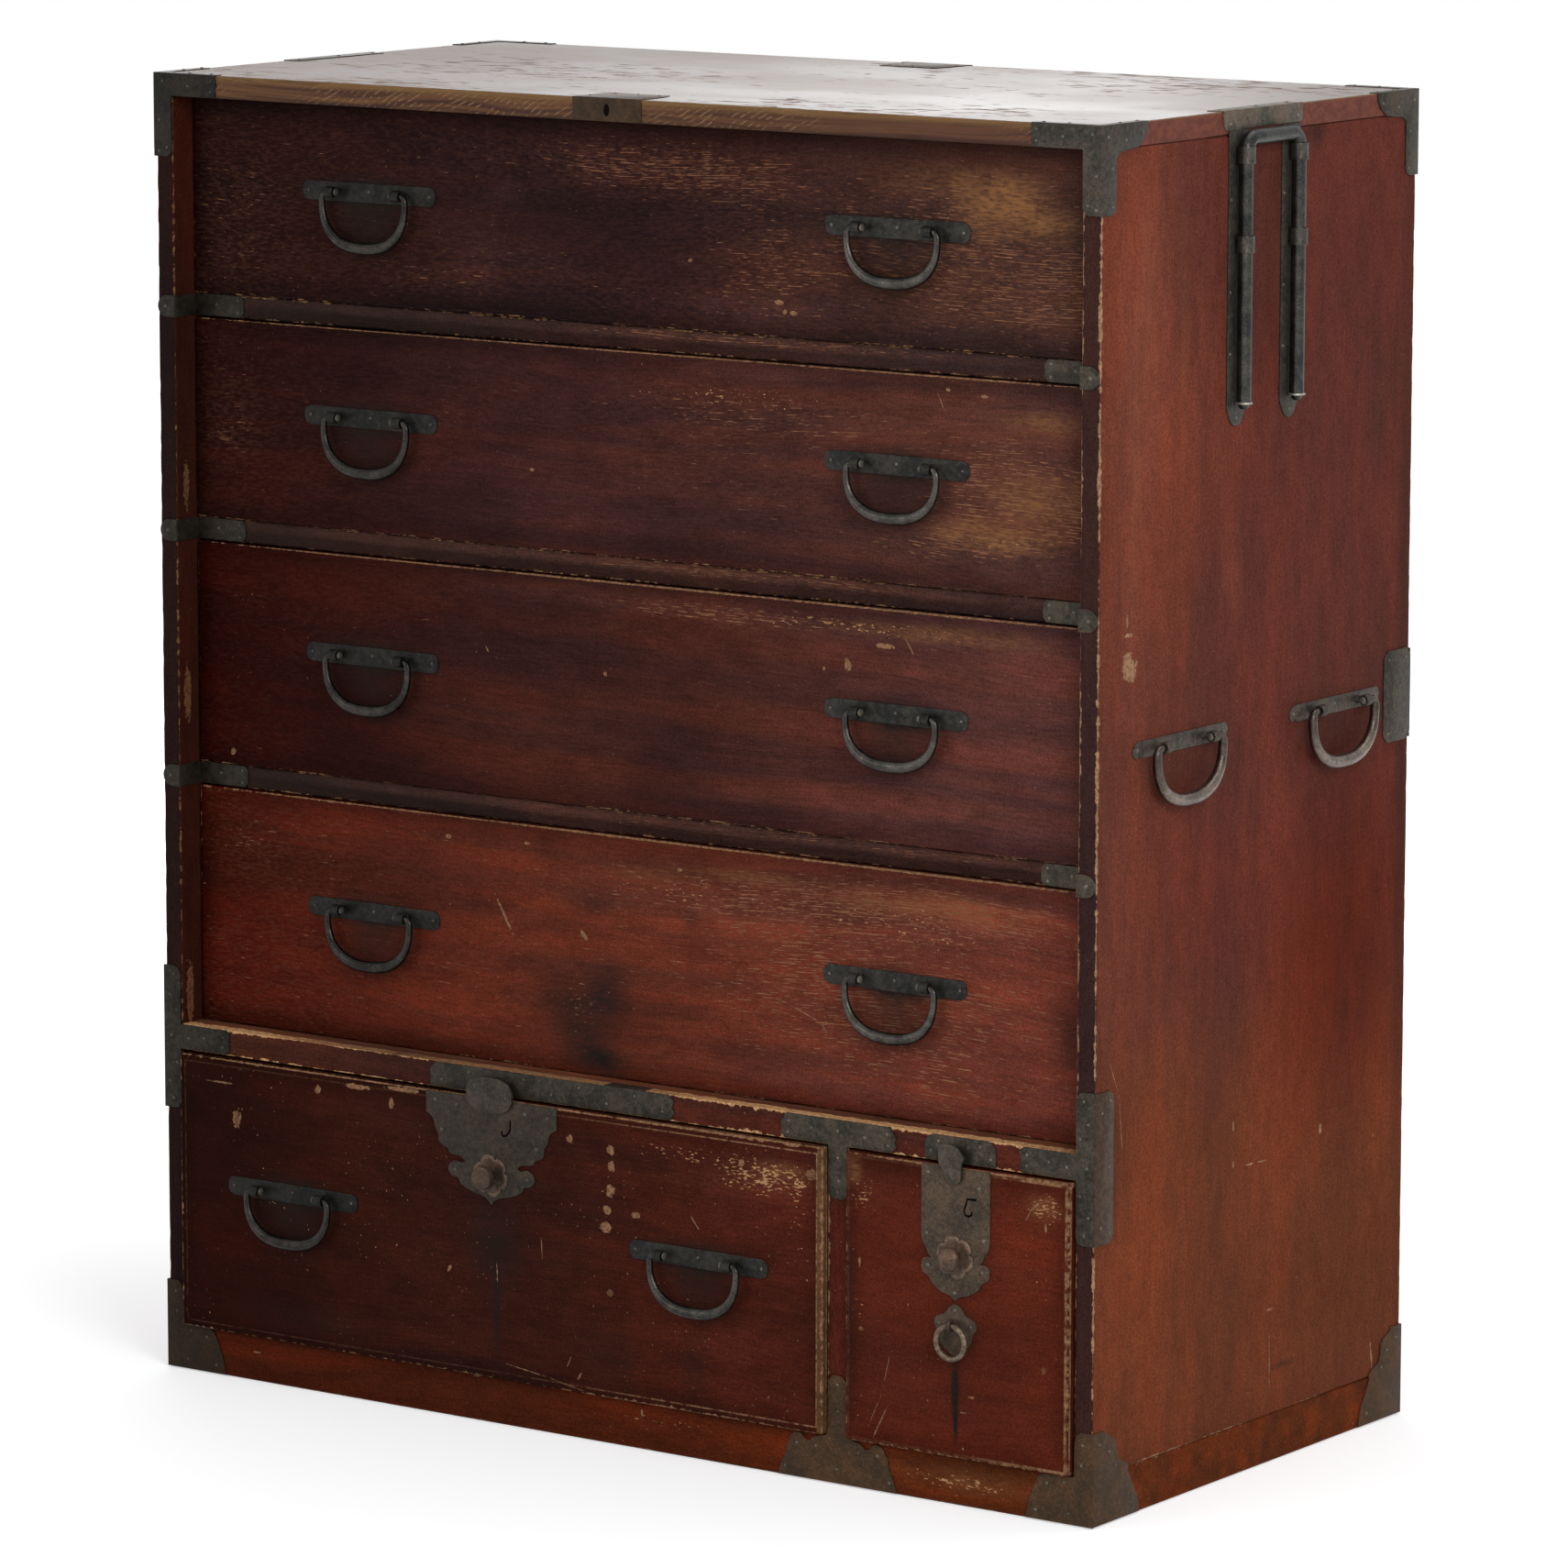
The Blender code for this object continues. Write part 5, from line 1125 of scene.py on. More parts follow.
def add_washer(form, x, z, base, radius, hole):
    """A flower washer: a ring of cupped petals with raised rims, standing on the plane y = base."""
    petals, tilt = 6, 0.25
    washer, rim = 2, 3
    steps = petals * 12
    stations = (
        (0.0, 0.0006), (0.18, 0.0011), (0.42, 0.0011), (0.62, 0.0013), (0.76, 0.0017), (0.86, 0.002),
        (0.94, 0.0018), (1.0, 0.001), (1.0, 0.0),
    )
    rings = []
    for share, height in stations:
        ring = []
        for turn in turns(steps):
            lobe = abs(math.sin(petals * turn / 2)) ** 0.55
            outer = radius * (0.8 + 0.2 * lobe)
            reach = hole + (outer - hole) * share
            lift = height * (0.55 + 0.45 * lobe) if share > 0.1 else height
            u, v = reach * math.cos(turn + tilt), reach * math.sin(turn + tilt)
            ring.append(form.verts.new((x + u, base - lift, z + v)))
        rings.append(ring)
    inner = [form.verts.new((vert.co.x, base, vert.co.z)) for vert in rings[0]]
    faces = join_rings(form, [inner] + rings, closed=True)
    set_faces(form, faces, washer)
    for face in faces[5 * steps:8 * steps]:
        face.material_index = rim


def hook(points, width):
    """Outline of a thin bent slot along points."""
    left = []
    right = []
    for i, (u, v) in enumerate(points):
        before = points[max(i - 1, 0)]
        after = points[min(i + 1, len(points) - 1)]
        du, dv = after[0] - before[0], after[1] - before[1]
        length = math.hypot(du, dv)
        left.append((u - dv / length * width / 2, v + du / length * width / 2))
        right.append((u + dv / length * width / 2, v - du / length * width / 2))
    return left + right[::-1]


KNOB = [
    (0.0, 0.0136), (0.0036, 0.0136), (0.0062, 0.0139), (0.0078, 0.0142), (0.009, 0.0137), (0.0095, 0.0126),
    (0.0097, 0.01), (0.0094, 0.0078), (0.0082, 0.0067), (0.005, 0.0063), (0.0034, 0.0062), (0.0034, -0.0036),
    (0.0, -0.0036),
]
BALL_KNOB = [
    (0.0, 0.0142), (0.0036, 0.014), (0.0064, 0.0132), (0.0085, 0.0116), (0.0095, 0.0097), (0.0092, 0.008),
    (0.0078, 0.0068), (0.005, 0.0063), (0.0034, 0.0062), (0.0034, -0.0036), (0.0, -0.0036),
]


def dress_lock(name, bodies, x, half, knob, knob_z, keyhole, tongue, nails, finish):
    """A lock plate with its knob on a flower washer, its keyhole, and the tongue and bolt behind it."""
    plate_body, knob_body, bolt_body = bodies
    skin = LOWER_FACE_Y - IRON_OUT
    neck = 0.0048
    foot = TONGUE_Z - 0.0133
    outline = both_sides([(neck, foot), (neck, LOCK_TOP - 0.0002)] + curve_through(half), x)
    slot = shifted(keyhole, x, 0.0)
    form = bmesh.new()
    hole = oval(x, knob_z, KNOB_HOLE, KNOB_HOLE)
    add_sheet(form, "front", [outline, hole, hook(slot, 0.0018)], LOWER_FACE_Y, skin, SOFT)
    add_nails(form, "front", shifted(nails, x, 0.0), skin, NAIL)
    add_washer(form, x, knob_z, skin + 0.0002, 0.0172, KNOB_HOLE)
    # A near-black sheet behind the keyhole slot, as painted shade
    spread = 0.002
    low = (min(u for u, _ in slot) - spread, LOWER_FACE_Y - 0.0003, min(v for _, v in slot) - spread)
    high = (max(u for u, _ in slot) + spread, LOWER_FACE_Y + 0.0002, max(v for _, v in slot) + spread)
    add_board(form, low, high, 0.0001, 0.0, 0.02, 0, 4)
    finishes = [finish, NAILS, COPPER, RIM, KEYHOLE_SHADE]
    piece(f"{name}_plate_forged", form, plate_body, finishes, [f"{name}_plate"])
    form = bmesh.new()
    add_turned(form, knob, (x, skin, knob_z), (0, -1, 0), 28)
    piece(f"{name}_knob_turned", form, knob_body, [COPPER], [f"{name}_knob"])
    form = bmesh.new()
    rear = skin - 0.0003
    add_sheet(form, "front", [shifted(tongue, x, TONGUE_Z)], rear, rear - 0.0026, 0.0006)
    low = (x - 0.004, rear - 0.0005, TONGUE_Z - 0.0125)
    add_board(form, low, (x + 0.004, -0.2099, TONGUE_Z - 0.0085), 0.0004, 0.0, 0.004)
    add_board(form, (x - 0.007, -0.2119, 0.235), (x + 0.007, -0.2079, 0.265), 0.0005, 0.0, 0.01)
    piece(f"{name}_bolt_forged", form, bolt_body, [TONGUE], [f"{name}_bolt"])


def dress_locks():
    key = [
        (0.019, 0.2505), (0.019, 0.2425), (0.0175, 0.24), (0.015, 0.2375), (0.0125, 0.2368), (0.0105, 0.2385),
        (0.0112, 0.2408),
    ]
    nails = [
        (-0.056, 0.259), (-0.034, 0.257), (0.034, 0.257), (0.056, 0.256), (-0.049, 0.235), (0.045, 0.23),
        (-0.036, 0.204), (0.036, 0.204), (0.0, 0.187),
    ]
    bodies = ("drawer_5", "main_knob", "main_bolt")
    tongue = rounded_disc(0.0228, 0.0145, 0.78)
    dress_lock("main_lock", bodies, LOCK_X, LOCK_RIGHT, KNOB, 0.2035, key, tongue, nails, BROWN)
    key = [
        (0.0192, 0.2428), (0.0108, 0.2424), (0.0098, 0.239), (0.0085, 0.2354), (0.0078, 0.2325),
        (0.009, 0.2298), (0.012, 0.229), (0.0148, 0.2305), (0.0146, 0.2328),
    ]
    nails = [
        (-0.025, 0.2595), (0.022, 0.252), (-0.026, 0.212), (0.026, 0.212), (-0.025, 0.187), (0.025, 0.187),
        (0.0, 0.168),
    ]
    bodies = ("door", "door_knob", "door_bolt")
    tongue = curve_through(LEAF, 3)[:-1]
    dress_lock("door_lock", bodies, DOOR_X, DOOR_LOCK_RIGHT, BALL_KNOB, 0.196, key, tongue, nails, WARM_BROWN)


# Door

DOOR_LOOKS = dict(
    left=(0.087, 0.0165, 0.0085), middle=(0.098, 0.0175, 0.0085), right=(0.118, 0.02, 0.0086), rows=380.0,
    wear=0.04, chips=0.6, edge=0.001, mottle=0.12, streaks=0.1, hue=0.45, cloudy=0.8,
    line=(0.0024, 0.0017, 1.0), worn=[(0.41, 0.24, 0.03, 0.03, 0.5), (0.25, 0.24, 0.03, 0.03, 0.3)],
    gold=[(0.412, 0.245, 0.025, 0.016, 0.6), (0.236, 0.252, 0.012, 0.02, 0.7)],
    fleck=[
        (0.412, 0.243, 0.032, 0.026, 0.95), (0.245, 0.235, 0.03, 0.03, 0.85), (0.24, 0.15, 0.02, 0.1, 0.45),
    ],
    tone=[(0.39, 0.2, 0.05, 0.05, 0.25), (0.29, 0.09, 0.04, 0.03, 0.2)],
    dark=[
        (0.331, 0.21, 0.044, 0.06, 0.8), (0.331, 0.137, 0.03, 0.03, 0.75), (0.2305, 0.15, 0.012, 0.12, 0.5),
        (0.3305, 0.09, 0.005, 0.034, 1.2), (0.3312, 0.065, 0.0034, 0.026, 1.0),
        (0.331, 0.1, 0.011, 0.05, 0.45),
    ],
    chip=[
        (0.4125, 0.2285, 0.0014, 0.0036, 1.0), (0.2415, 0.181, 0.001, 0.0055, 1.0),
        (0.345, 0.088, 0.0034, 0.001, 0.8), (0.243, 0.128, 0.0024, 0.0022, 0.6),
        (0.411, 0.118, 0.0022, 0.003, 0.5), (0.338, 0.075, 0.003, 0.0008, 0.8),
        (0.352, 0.176, 0.0008, 0.003, 0.8),
    ],
    scratch=[
        (0.232, 0.2648, 0.431, 0.2648, 0.0009), (0.3995, 0.2411, 0.406, 0.248, 0.001),
        (0.2705, 0.1129, 0.2646, 0.0883, 0.0004), (0.2689, 0.0722, 0.2528, 0.0402, 0.0006),
        (0.262, 0.078, 0.25, 0.052, 0.0004), (0.394, 0.232, 0.4, 0.243, 0.0006),
    ],
)

RING_PLATE_RIGHT = [
    (0.0, 0.1595), (0.005, 0.157), (0.0095, 0.1515), (0.0128, 0.15), (0.018, 0.1475), (0.0195, 0.142),
    (0.016, 0.136), (0.014, 0.129), (0.0085, 0.1225), (0.0, 0.1178),
]


def dress_door():
    low, high = halves(DOOR[0], DOOR[1], DOOR_THICK, LOWER_FACE_Y)
    form = bmesh.new()
    add_board(form, low, high, 0.0013, 0.0007)
    form = cut_channel(form, DOOR_X)
    finish = lacquer("door_lacquer", "front", 0, low, high, **DOOR_LOOKS)
    piece("door_board", form, "door", [finish], ["cupboard_door"])
    form = bmesh.new()
    skin = LOWER_FACE_Y - THIN_OUT
    outline = both_sides(curve_through(RING_PLATE_RIGHT), DOOR_X)
    add_sheet(form, "front", [outline], LOWER_FACE_Y, skin, SOFT)
    nails = [(0.0, 0.1545), (-0.0145, 0.143), (0.0145, 0.143)]
    add_nails(form, "front", shifted(nails, DOOR_X, 0.0), skin, SMALL_NAIL)
    eye = [(0.0026, -0.0013), (0.0044, -0.0015), (0.0055, 0.0), (0.0044, 0.0015), (0.0026, 0.0013)]
    add_turned(form, eye, (DOOR_X, RING_Y, RING_Z), (1, 0, 0), 18, closed=True)
    shank = [(0.0, 0.0), (0.003, 0.0), (0.0022, 0.003), (0.0, 0.003)]
    add_turned(form, shank, (DOOR_X, LOWER_FACE_Y - 0.001, RING_Z), (0, -1, 0), 14)
    piece("ring_plate", form, "door", [WARM_BROWN, NAILS])
    form = bmesh.new()
    radius = 0.013
    points = []
    for turn in turns(48):
        points.append(
            Vector((DOOR_X + radius * math.sin(turn), RING_Y, RING_Z - radius + radius * math.cos(turn)))
        )
    add_sweep(form, points, [0.0024] * len(points), (0, 1, 0), 14, closed=True)
    piece("door_ring_forged", form, "ring_pull", [RING], ["door_ring"])


# Case

PANEL_LOOKS = dict(
    left=(0.158, 0.042, 0.024), middle=(0.122, 0.031, 0.0205), right=(0.11, 0.029, 0.02), chips=0.18,
    mottle=0.09, streaks=0.1, shadow=0.1, cloudy=0.75, hue=0.45,
    bands=[(0.46, 0.24, (0.178, 0.045, 0.0165), 0.9)],
    tint=[
        (0.14, 0.4, 0.19, 0.24, 1.0, (0.112, 0.016, 0.0055)),
        (-0.06, 0.46, 0.16, 0.13, 0.6, (0.135, 0.027, 0.016)),
        (0.14, 0.13, 0.2, 0.1, 0.5, (0.15, 0.034, 0.01)),
        (-0.09, 0.84, 0.1, 0.13, 0.6, (0.195, 0.048, 0.026)),
    ],
)


# Each side panel's own marks, the colour of its front edge and that of its inner face; the left panel's bare
# wood, front edge and inner face are darker as painted shade
PANEL_SIDES = {
    "right": (
        dict(
            edge=0.0011, steady=0.85, bare_colour=(0.37, 0.205, 0.115),
            tone=[
                (-0.155, 0.9, 0.06, 0.2, 0.4), (-0.165, 0.72, 0.03, 0.2, 0.25),
                (-0.03, 0.72, 0.025, 0.1, 0.25), (0.05, 0.5, 0.1, 0.1, 0.12),
            ],
            gold=[
                (-0.152, 0.93, 0.02, 0.12, 0.22), (-0.1, 0.9, 0.012, 0.15, 0.14),
                (-0.165, 0.8, 0.01, 0.15, 0.2), (0.035, 0.93, 0.012, 0.08, 0.12),
            ],
            dark=[
                (-0.05, 0.33, 0.06, 0.2, 0.2), (0.225, 0.55, 0.016, 0.6, 0.4), (0.0, 0.16, 0.14, 0.08, 0.14),
                (0.16, 0.95, 0.08, 0.1, 0.12), (0.055, 0.075, 0.035, 0.005, 0.45),
                (-0.02, 0.565, 0.02, 0.05, 0.2), (-0.1014, 0.572, 0.068, 0.036, 0.45),
                (0.1216, 0.572, 0.068, 0.036, 0.5), (0.01, 0.93, 0.06, 0.13, 0.25),
                (-0.07, 0.8, 0.012, 0.12, 0.25), (0.205, 0.585, 0.03, 0.05, 0.5),
                (-0.198, 0.277, 0.035, 0.075, 0.45), (-0.03, 1.04, 0.02, 0.02, 0.6),
                (0.085, 1.04, 0.03, 0.02, 0.5),
            ],
            chip=[
                (-0.172, 0.6531, 0.0105, 0.01, 0.9), (-0.175, 0.661, 0.007, 0.006, 0.9),
                (-0.174, 0.679, 0.006, 0.0018, 1.0), (-0.176, 0.69, 0.0014, 0.006, 0.6),
                (0.1099, 0.254, 0.002, 0.0042, 1.0), (0.0378, 0.1224, 0.0055, 0.0012, 0.8),
                (-0.019, 0.278, 0.001, 0.004, 0.9), (-0.0185, 0.248, 0.001, 0.003, 0.8),
                (0.19, 0.235, 0.0012, 0.002, 0.8),
            ],
            scratch=[
                (-0.001, 0.244, 0.011, 0.2436, 0.0008), (0.017, 0.2434, 0.0299, 0.243, 0.0008),
                (0.1897, 0.0681, 0.1931, 0.0449, 0.001), (0.037, 0.105, 0.038, 0.06, 0.0005),
                (-0.198, 0.362, -0.182, 0.33, 0.0004), (-0.182, 0.33, -0.176, 0.28, 0.0004),
                (-0.195, 0.06, -0.193, 0.04, 0.0006),
            ],
        ),
        (0.046, 0.02, 0.0175), (0.08, 0.026, 0.014),
    ),
    # The left panel: darker bare wood, front edge and inner face, as painted shade
    "left": (
        dict(
            bare_colour=(0.16, 0.07, 0.03), tone=[(-0.1, 0.8, 0.1, 0.2, 0.3)],
            dark=[(0.05, 0.3, 0.1, 0.2, 0.3)],
            chip=[
                (-0.204, 0.56, 0.005, 0.024, 0.9), (-0.205, 0.312, 0.005, 0.03, 0.9),
                (-0.203, 0.73, 0.004, 0.02, 0.8),
            ],
        ),
        (0.02, 0.0085, 0.007), (0.046, 0.011, 0.0065),
    ),
}


def panel_irons_form():
    """The right panel's small plate round the back edge, and the ends of the straps at the rails."""
    form = bmesh.new()
    skin = HALF_WIDTH + THIN_OUT
    plate = cut_rectangle(0.1955, 0.549, BACK_Y + BACK_IRON_OUT, 0.622, 0.006)
    add_sheet(form, "right", [plate], HALF_WIDTH, skin)
    nails = [(0.203, 0.556), (0.228, 0.556), (0.203, 0.615), (0.228, 0.615), (0.215, 0.586)]
    add_nails(form, "right", nails, skin, SMALL_NAIL)
    lap = rectangle(INNER_HALF + 0.001, 0.55, skin - 0.0003, 0.621)
    add_sheet(form, "back", [lap], BACK_Y, BACK_Y + BACK_IRON_OUT, 0.0002)
    for low_z, high_z in SHELVES:
        middle = (low_z + high_z) / 2
        half = (high_z - low_z) / 2 - 0.0004
        ear = [(INNER_HALF - 0.0006, middle - half)]
        for i in range(13):
            turn = math.pi * (i / 12 - 0.5)
            ear.append((HALF_WIDTH - 0.0005 - half + half * math.cos(turn), middle + half * math.sin(turn)))
        ear.append((INNER_HALF - 0.0006, middle + half))
        front_skin = FRONT_Y - IRON_OUT
        add_sheet(form, "front", [ear], FRONT_Y, front_skin, SOFT)
        add_nails(form, "front", [(HALF_WIDTH - 0.0085, middle)], front_skin, NAIL)
        inside = rectangle(FRONT_Y - 0.0006, middle - half, RAIL_Y - 0.001, middle + half)
        add_sheet(form, "right", [inside], INNER_HALF - 0.0012, INNER_HALF + 0.0002)
    return form


def dress_panels():
    for side, name in ((1, "right"), (-1, "left")):
        across = sorted((side * INNER_HALF, side * HALF_WIDTH))
        low = (across[0], FRONT_Y, BASE_TOP + 0.0003)
        high = (across[1], BACK_Y, TOP_LEVELS[0] - 0.0003)
        marks, front, inner = PANEL_SIDES[name]
        faces = [
            (1, FRONT_Y + 0.0014, FRONT_Y + 0.0007, front),
            (1, BACK_Y - 0.0014, BACK_Y - 0.0007, (0.045, 0.017, 0.012)),
            (0, side * (INNER_HALF + 0.0008), side * (INNER_HALF + 0.0003), inner),
        ]
        covered = (high[0], high[1], high[2] + 0.02)
        looks = dict(PANEL_LOOKS, faces=faces, **marks)
        finish = lacquer(f"{name}_panel_lacquer", "right", 2, low, covered, **looks)
        form = bmesh.new()
        add_board(form, low, high, 0.0014, 0.0009, grain=2)
        piece(f"{name}_panel_board", form, "case", [finish], [f"{name}_side_panel"])
        form = panel_irons_form()
        if side < 0:
            form = mirrored(form, 0)
        piece(f"{name}_panel_irons", form, "case", [BLACK, NAILS])


def dress_side_handles():
    for side, name in ((1, "right"), (-1, "left")):
        for y, end in ((-0.1014, "front"), (0.1216, "back")):
            form = bmesh.new()
            add_handle_iron(form, "right", y, SIDE_HANDLE_Z, HALF_WIDTH, 1, SIDE_PLATE_OUTLINE)
            if side < 0:
                form = mirrored(form, 0)
            place = f"{name}_{end}"
            piece(f"side_handle_iron_{place}", form, "case", [SIDE_PLATE, NAILS])
            form = bail_form("right", y, SIDE_HANDLE_Z, side * SIDE_AXIS_X, 0.0462, 0.0436, 0.0038, 0.0053)
            node = f"side_bail_{place}"
            piece(f"{node}_forged", form, f"side_handle_{place}", [STEEL, NAILS], [node])


# The rails' colours at their right ends, lighter than their left ends: the rails are darker to the left as
# painted shade
RAIL_RIGHTS = ((0.054, 0.0245, 0.02), (0.037, 0.0165, 0.014), (0.026, 0.011, 0.0085))


def dress_shelves():
    for number, (low_z, high_z) in enumerate(SHELVES, start=1):
        rear = RAIL_Y + 0.03
        half_width = INNER_HALF - 0.0003
        low = (-half_width, RAIL_Y, low_z)
        high = (half_width, rear, high_z)
        middle = (low_z + high_z) / 2
        finish = lacquer(
            f"rail_{number}_lacquer", "front", 0, low, high,
            (0.02, 0.0085, 0.0068), (0.028, 0.0115, 0.009), RAIL_RIGHTS[number - 1],
            rows=420.0, wear=0.12, chips=0.3, edge=0.0008, shadow=0.0, mottle=0.25,
            bands=[(middle - 0.002, middle + 0.0035, (0.062, 0.028, 0.0225), 0.85)],
            dark=[(-0.36, middle, 0.14, 0.03, 0.65), (-0.2, middle, 0.14, 0.03, 0.3)],
            worn=[(0.15, high_z - 0.005, 0.5, 0.007, 0.8)],
        )
        form = bmesh.new()
        add_board(form, low, high, 0.0013, 0.0008)
        add_board(
            form, (-half_width, rear, high_z - 0.008), (half_width, 0.2268, high_z), 0.0006, 0.0, 0.05, 1, 1,
        )
        piece(
            f"rail_{number}_board", form, "case", [finish, DRAWER_WOOD], [f"drawer_shelf_{number}"],
        )
        form = bmesh.new()
        half = (high_z - low_z) / 2 - 0.0006
        skin = RAIL_Y - THIN_OUT
        for side in (-1, 1):
            outer = side * (INNER_HALF - 0.0004)
            inner = side * (INNER_HALF - 0.05)
            left, right = min(outer, inner), max(outer, inner)
            strap = cut_rectangle(left, middle - half, right, middle + half, 0.0035)
            add_sheet(form, "front", [strap], RAIL_Y, skin)
            nails = ((0.006, 0.005), (0.006, -0.005), (0.028, 0.001))
            add_nails(form, "front", [(inner + side * u, middle + v) for u, v in nails], skin, SMALL_NAIL)
        piece(f"rail_{number}_straps", form, "case", [BLACK, NAILS])


def top_finish(low, high):
    """The top: a golden brown front edge with pale figure, red sides and a dark face with specks."""
    tree = Tree(bpy.data.materials.new("top_board_lacquer"))
    x, y, z = tree.split(tree.place)
    bent = tree.bent((2.2, 5.0, 9.0), (0.0, 0.05, 0.11))
    lines = tree.noise((3.0, 150.0, 260.0), 4.0, bent)
    fine = tree.noise((30.0, 900.0, 900.0), 2.0, bent)
    cloud = tree.noise((6.0, 8.0, 8.0), 4.0)
    flake = tree.noise(330.0, 4.0)

    # Front edge, with slanting rays, and its worn upper arris
    front = tree.mix(lines.step(0.34, 0.64), (0.048, 0.0165, 0.0085), (0.135, 0.058, 0.0215))
    front = tree.mix(x.step(-0.1, 0.42, 0.0, 0.55), front, (0.085, 0.03, 0.018))
    slant = (x * 120.0 + z * -210.0) + tree.noise((14.0, 14.0, 30.0), 2.0) * 3.0
    ray = abs(tree.math("FRACT", slant) - 0.5)
    figure = ray.step(0.16, 0.05) * tree.noise((60.0, 60.0, 300.0), 2.0).step(0.42, 0.6, 0.0, 0.75)
    figure = figure * tree.noise(7.0, 1.0).step(0.4, 0.6)
    front = tree.mix(figure, front, (0.3, 0.165, 0.08))
    lift = z.step(high[2] - 0.007, high[2] - 0.0015) * fine.step(0.3, 0.6, 0.4, 0.9)
    front = tree.mix(lift, front, (0.19, 0.1, 0.034))
    front = tree.shade(front, z.step(low[2], low[2] + 0.004, 0.55, 1.0))

    # The sides, and the back edge
    side = tree.mix(lines.step(0.3, 0.7), (0.105, 0.028, 0.018), (0.165, 0.048, 0.028))
    front = tree.mix(abs(x).step(HALF_WIDTH - 0.0015, HALF_WIDTH - 0.0007), front, side)
    front = tree.mix(y.step(high[1] - 0.0015, high[1] - 0.0007), front, (0.06, 0.026, 0.015))

    # The upper face, with specks and a worn rim
    face = tree.mix(cloud.step(0.35, 0.65), (0.07, 0.045, 0.034), (0.11, 0.073, 0.055))
    face = tree.shade(face, lines.step(0.3, 0.7, 0.8, 1.15))
    limit = tree.noise((4.0, 7.0, 7.0), 2.0).step(0.38, 0.62, 0.68, 0.55)
    speck = tree.noise((38.0, 150.0, 150.0), 5.0).step(limit, limit + 0.04)
    inset = tree.math("MINIMUM", HALF_WIDTH - abs(x), tree.math("MINIMUM", y - low[1], high[1] - y))
    rim = (inset + flake * 0.008).step(0.0095, 0.0055)
    face = tree.mix(speck, face, (0.125, 0.066, 0.042))
    face = tree.mix(rim, face, (0.155, 0.088, 0.042))
    colour = tree.mix(z.step(high[2] - 0.0009, high[2] - 0.0002), front, face)

    # Polish: brightest to the right, dull on specks, rim and edges
    polish = x.step(-0.45, 0.4, 0.54, 0.345) + cloud.step(0.35, 0.65) * 0.06
    rough = tree.math("MAXIMUM", polish, tree.math("MAXIMUM", speck, rim * 0.9) * 0.9)
    rough = tree.math("MAXIMUM", rough, z.step(high[2] - 0.0005, high[2] - 0.0015, 0.0, 0.6))
    return tree.finish(colour, rough, fine * 0.1 - speck * 0.6, 0.00025, 0.32)


def dress_top():
    low = (-HALF_WIDTH, FRONT_Y, TOP_LEVELS[0])
    high = (HALF_WIDTH, BACK_Y, TOP_LEVELS[1])
    form = bmesh.new()
    add_board(form, low, high, 0.0015, 0.0008)
    piece("top_board_dressed", form, "case", [top_finish(low, high)], ["top_board"])
    form = bmesh.new()
    middle = (TOP_LEVELS[0] + TOP_LEVELS[1]) / 2
    under = TOP_LEVELS[0] + 0.0004
    keyhole = oval(-0.002, middle, 0.0028, 0.0048)
    front_skin = FRONT_Y - THIN_OUT
    back_skin = BACK_Y + BACK_IRON_OUT
    top_skin = TOP_LEVELS[1] + 0.0006
    add_sheet(form, "front", [rectangle(-0.0345, under, 0.031, top_skin), keyhole], FRONT_Y, front_skin)
    add_sheet(form, "back", [rectangle(-0.033, under, 0.033, top_skin)], BACK_Y, back_skin)
    for edge, skin, inward in ((FRONT_Y, front_skin + 0.0002, 1), (BACK_Y, back_skin - 0.0002, -1)):
        shoulder, end = edge + inward * 0.028, edge + inward * 0.0445
        lap = [
            (-0.033, skin), (0.0305, skin), (0.0305, shoulder), (0.0255, end), (-0.028, end),
            (-0.033, shoulder),
        ]
        add_sheet(form, "top", [lap], TOP_LEVELS[1] - 0.0002, top_skin, 0.0002)
        nails = [(-0.022, 0.038), (0.0, 0.038), (0.02, 0.038), (-0.027, 0.012), (0.025, 0.012)]
        add_nails(form, "top", [(x, edge + inward * y) for x, y in nails], top_skin, SMALL_NAIL)
    # A near-black sheet behind the top keyhole, as painted shade
    low = (-0.006, FRONT_Y - 0.0003, middle - 0.006)
    add_board(form, low, (0.002, FRONT_Y + 0.0002, middle + 0.006), 0.0001, 0.0, 0.01, 0, 2)
    piece("top_centre_plates", form, "case", [OLIVE, NAILS, KEYHOLE_SHADE])


def dress_back():
    """The back: upright boards, side by side, with softened edges."""
    low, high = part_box("back_panel")
    count = 5
    gap = 0.0002
    width = (high.x - low.x) / count
    form = bmesh.new()
    for i in range(count):
        left = low.x + width * i
        add_board(
            form, (left + gap, low.y, low.z), (left + width - gap, high.y, high.z), 0.0014, 0.0006, 0.02, 2,
        )
    piece("back_boards", form, "case", [BACK_WOOD], ["back_panel"])


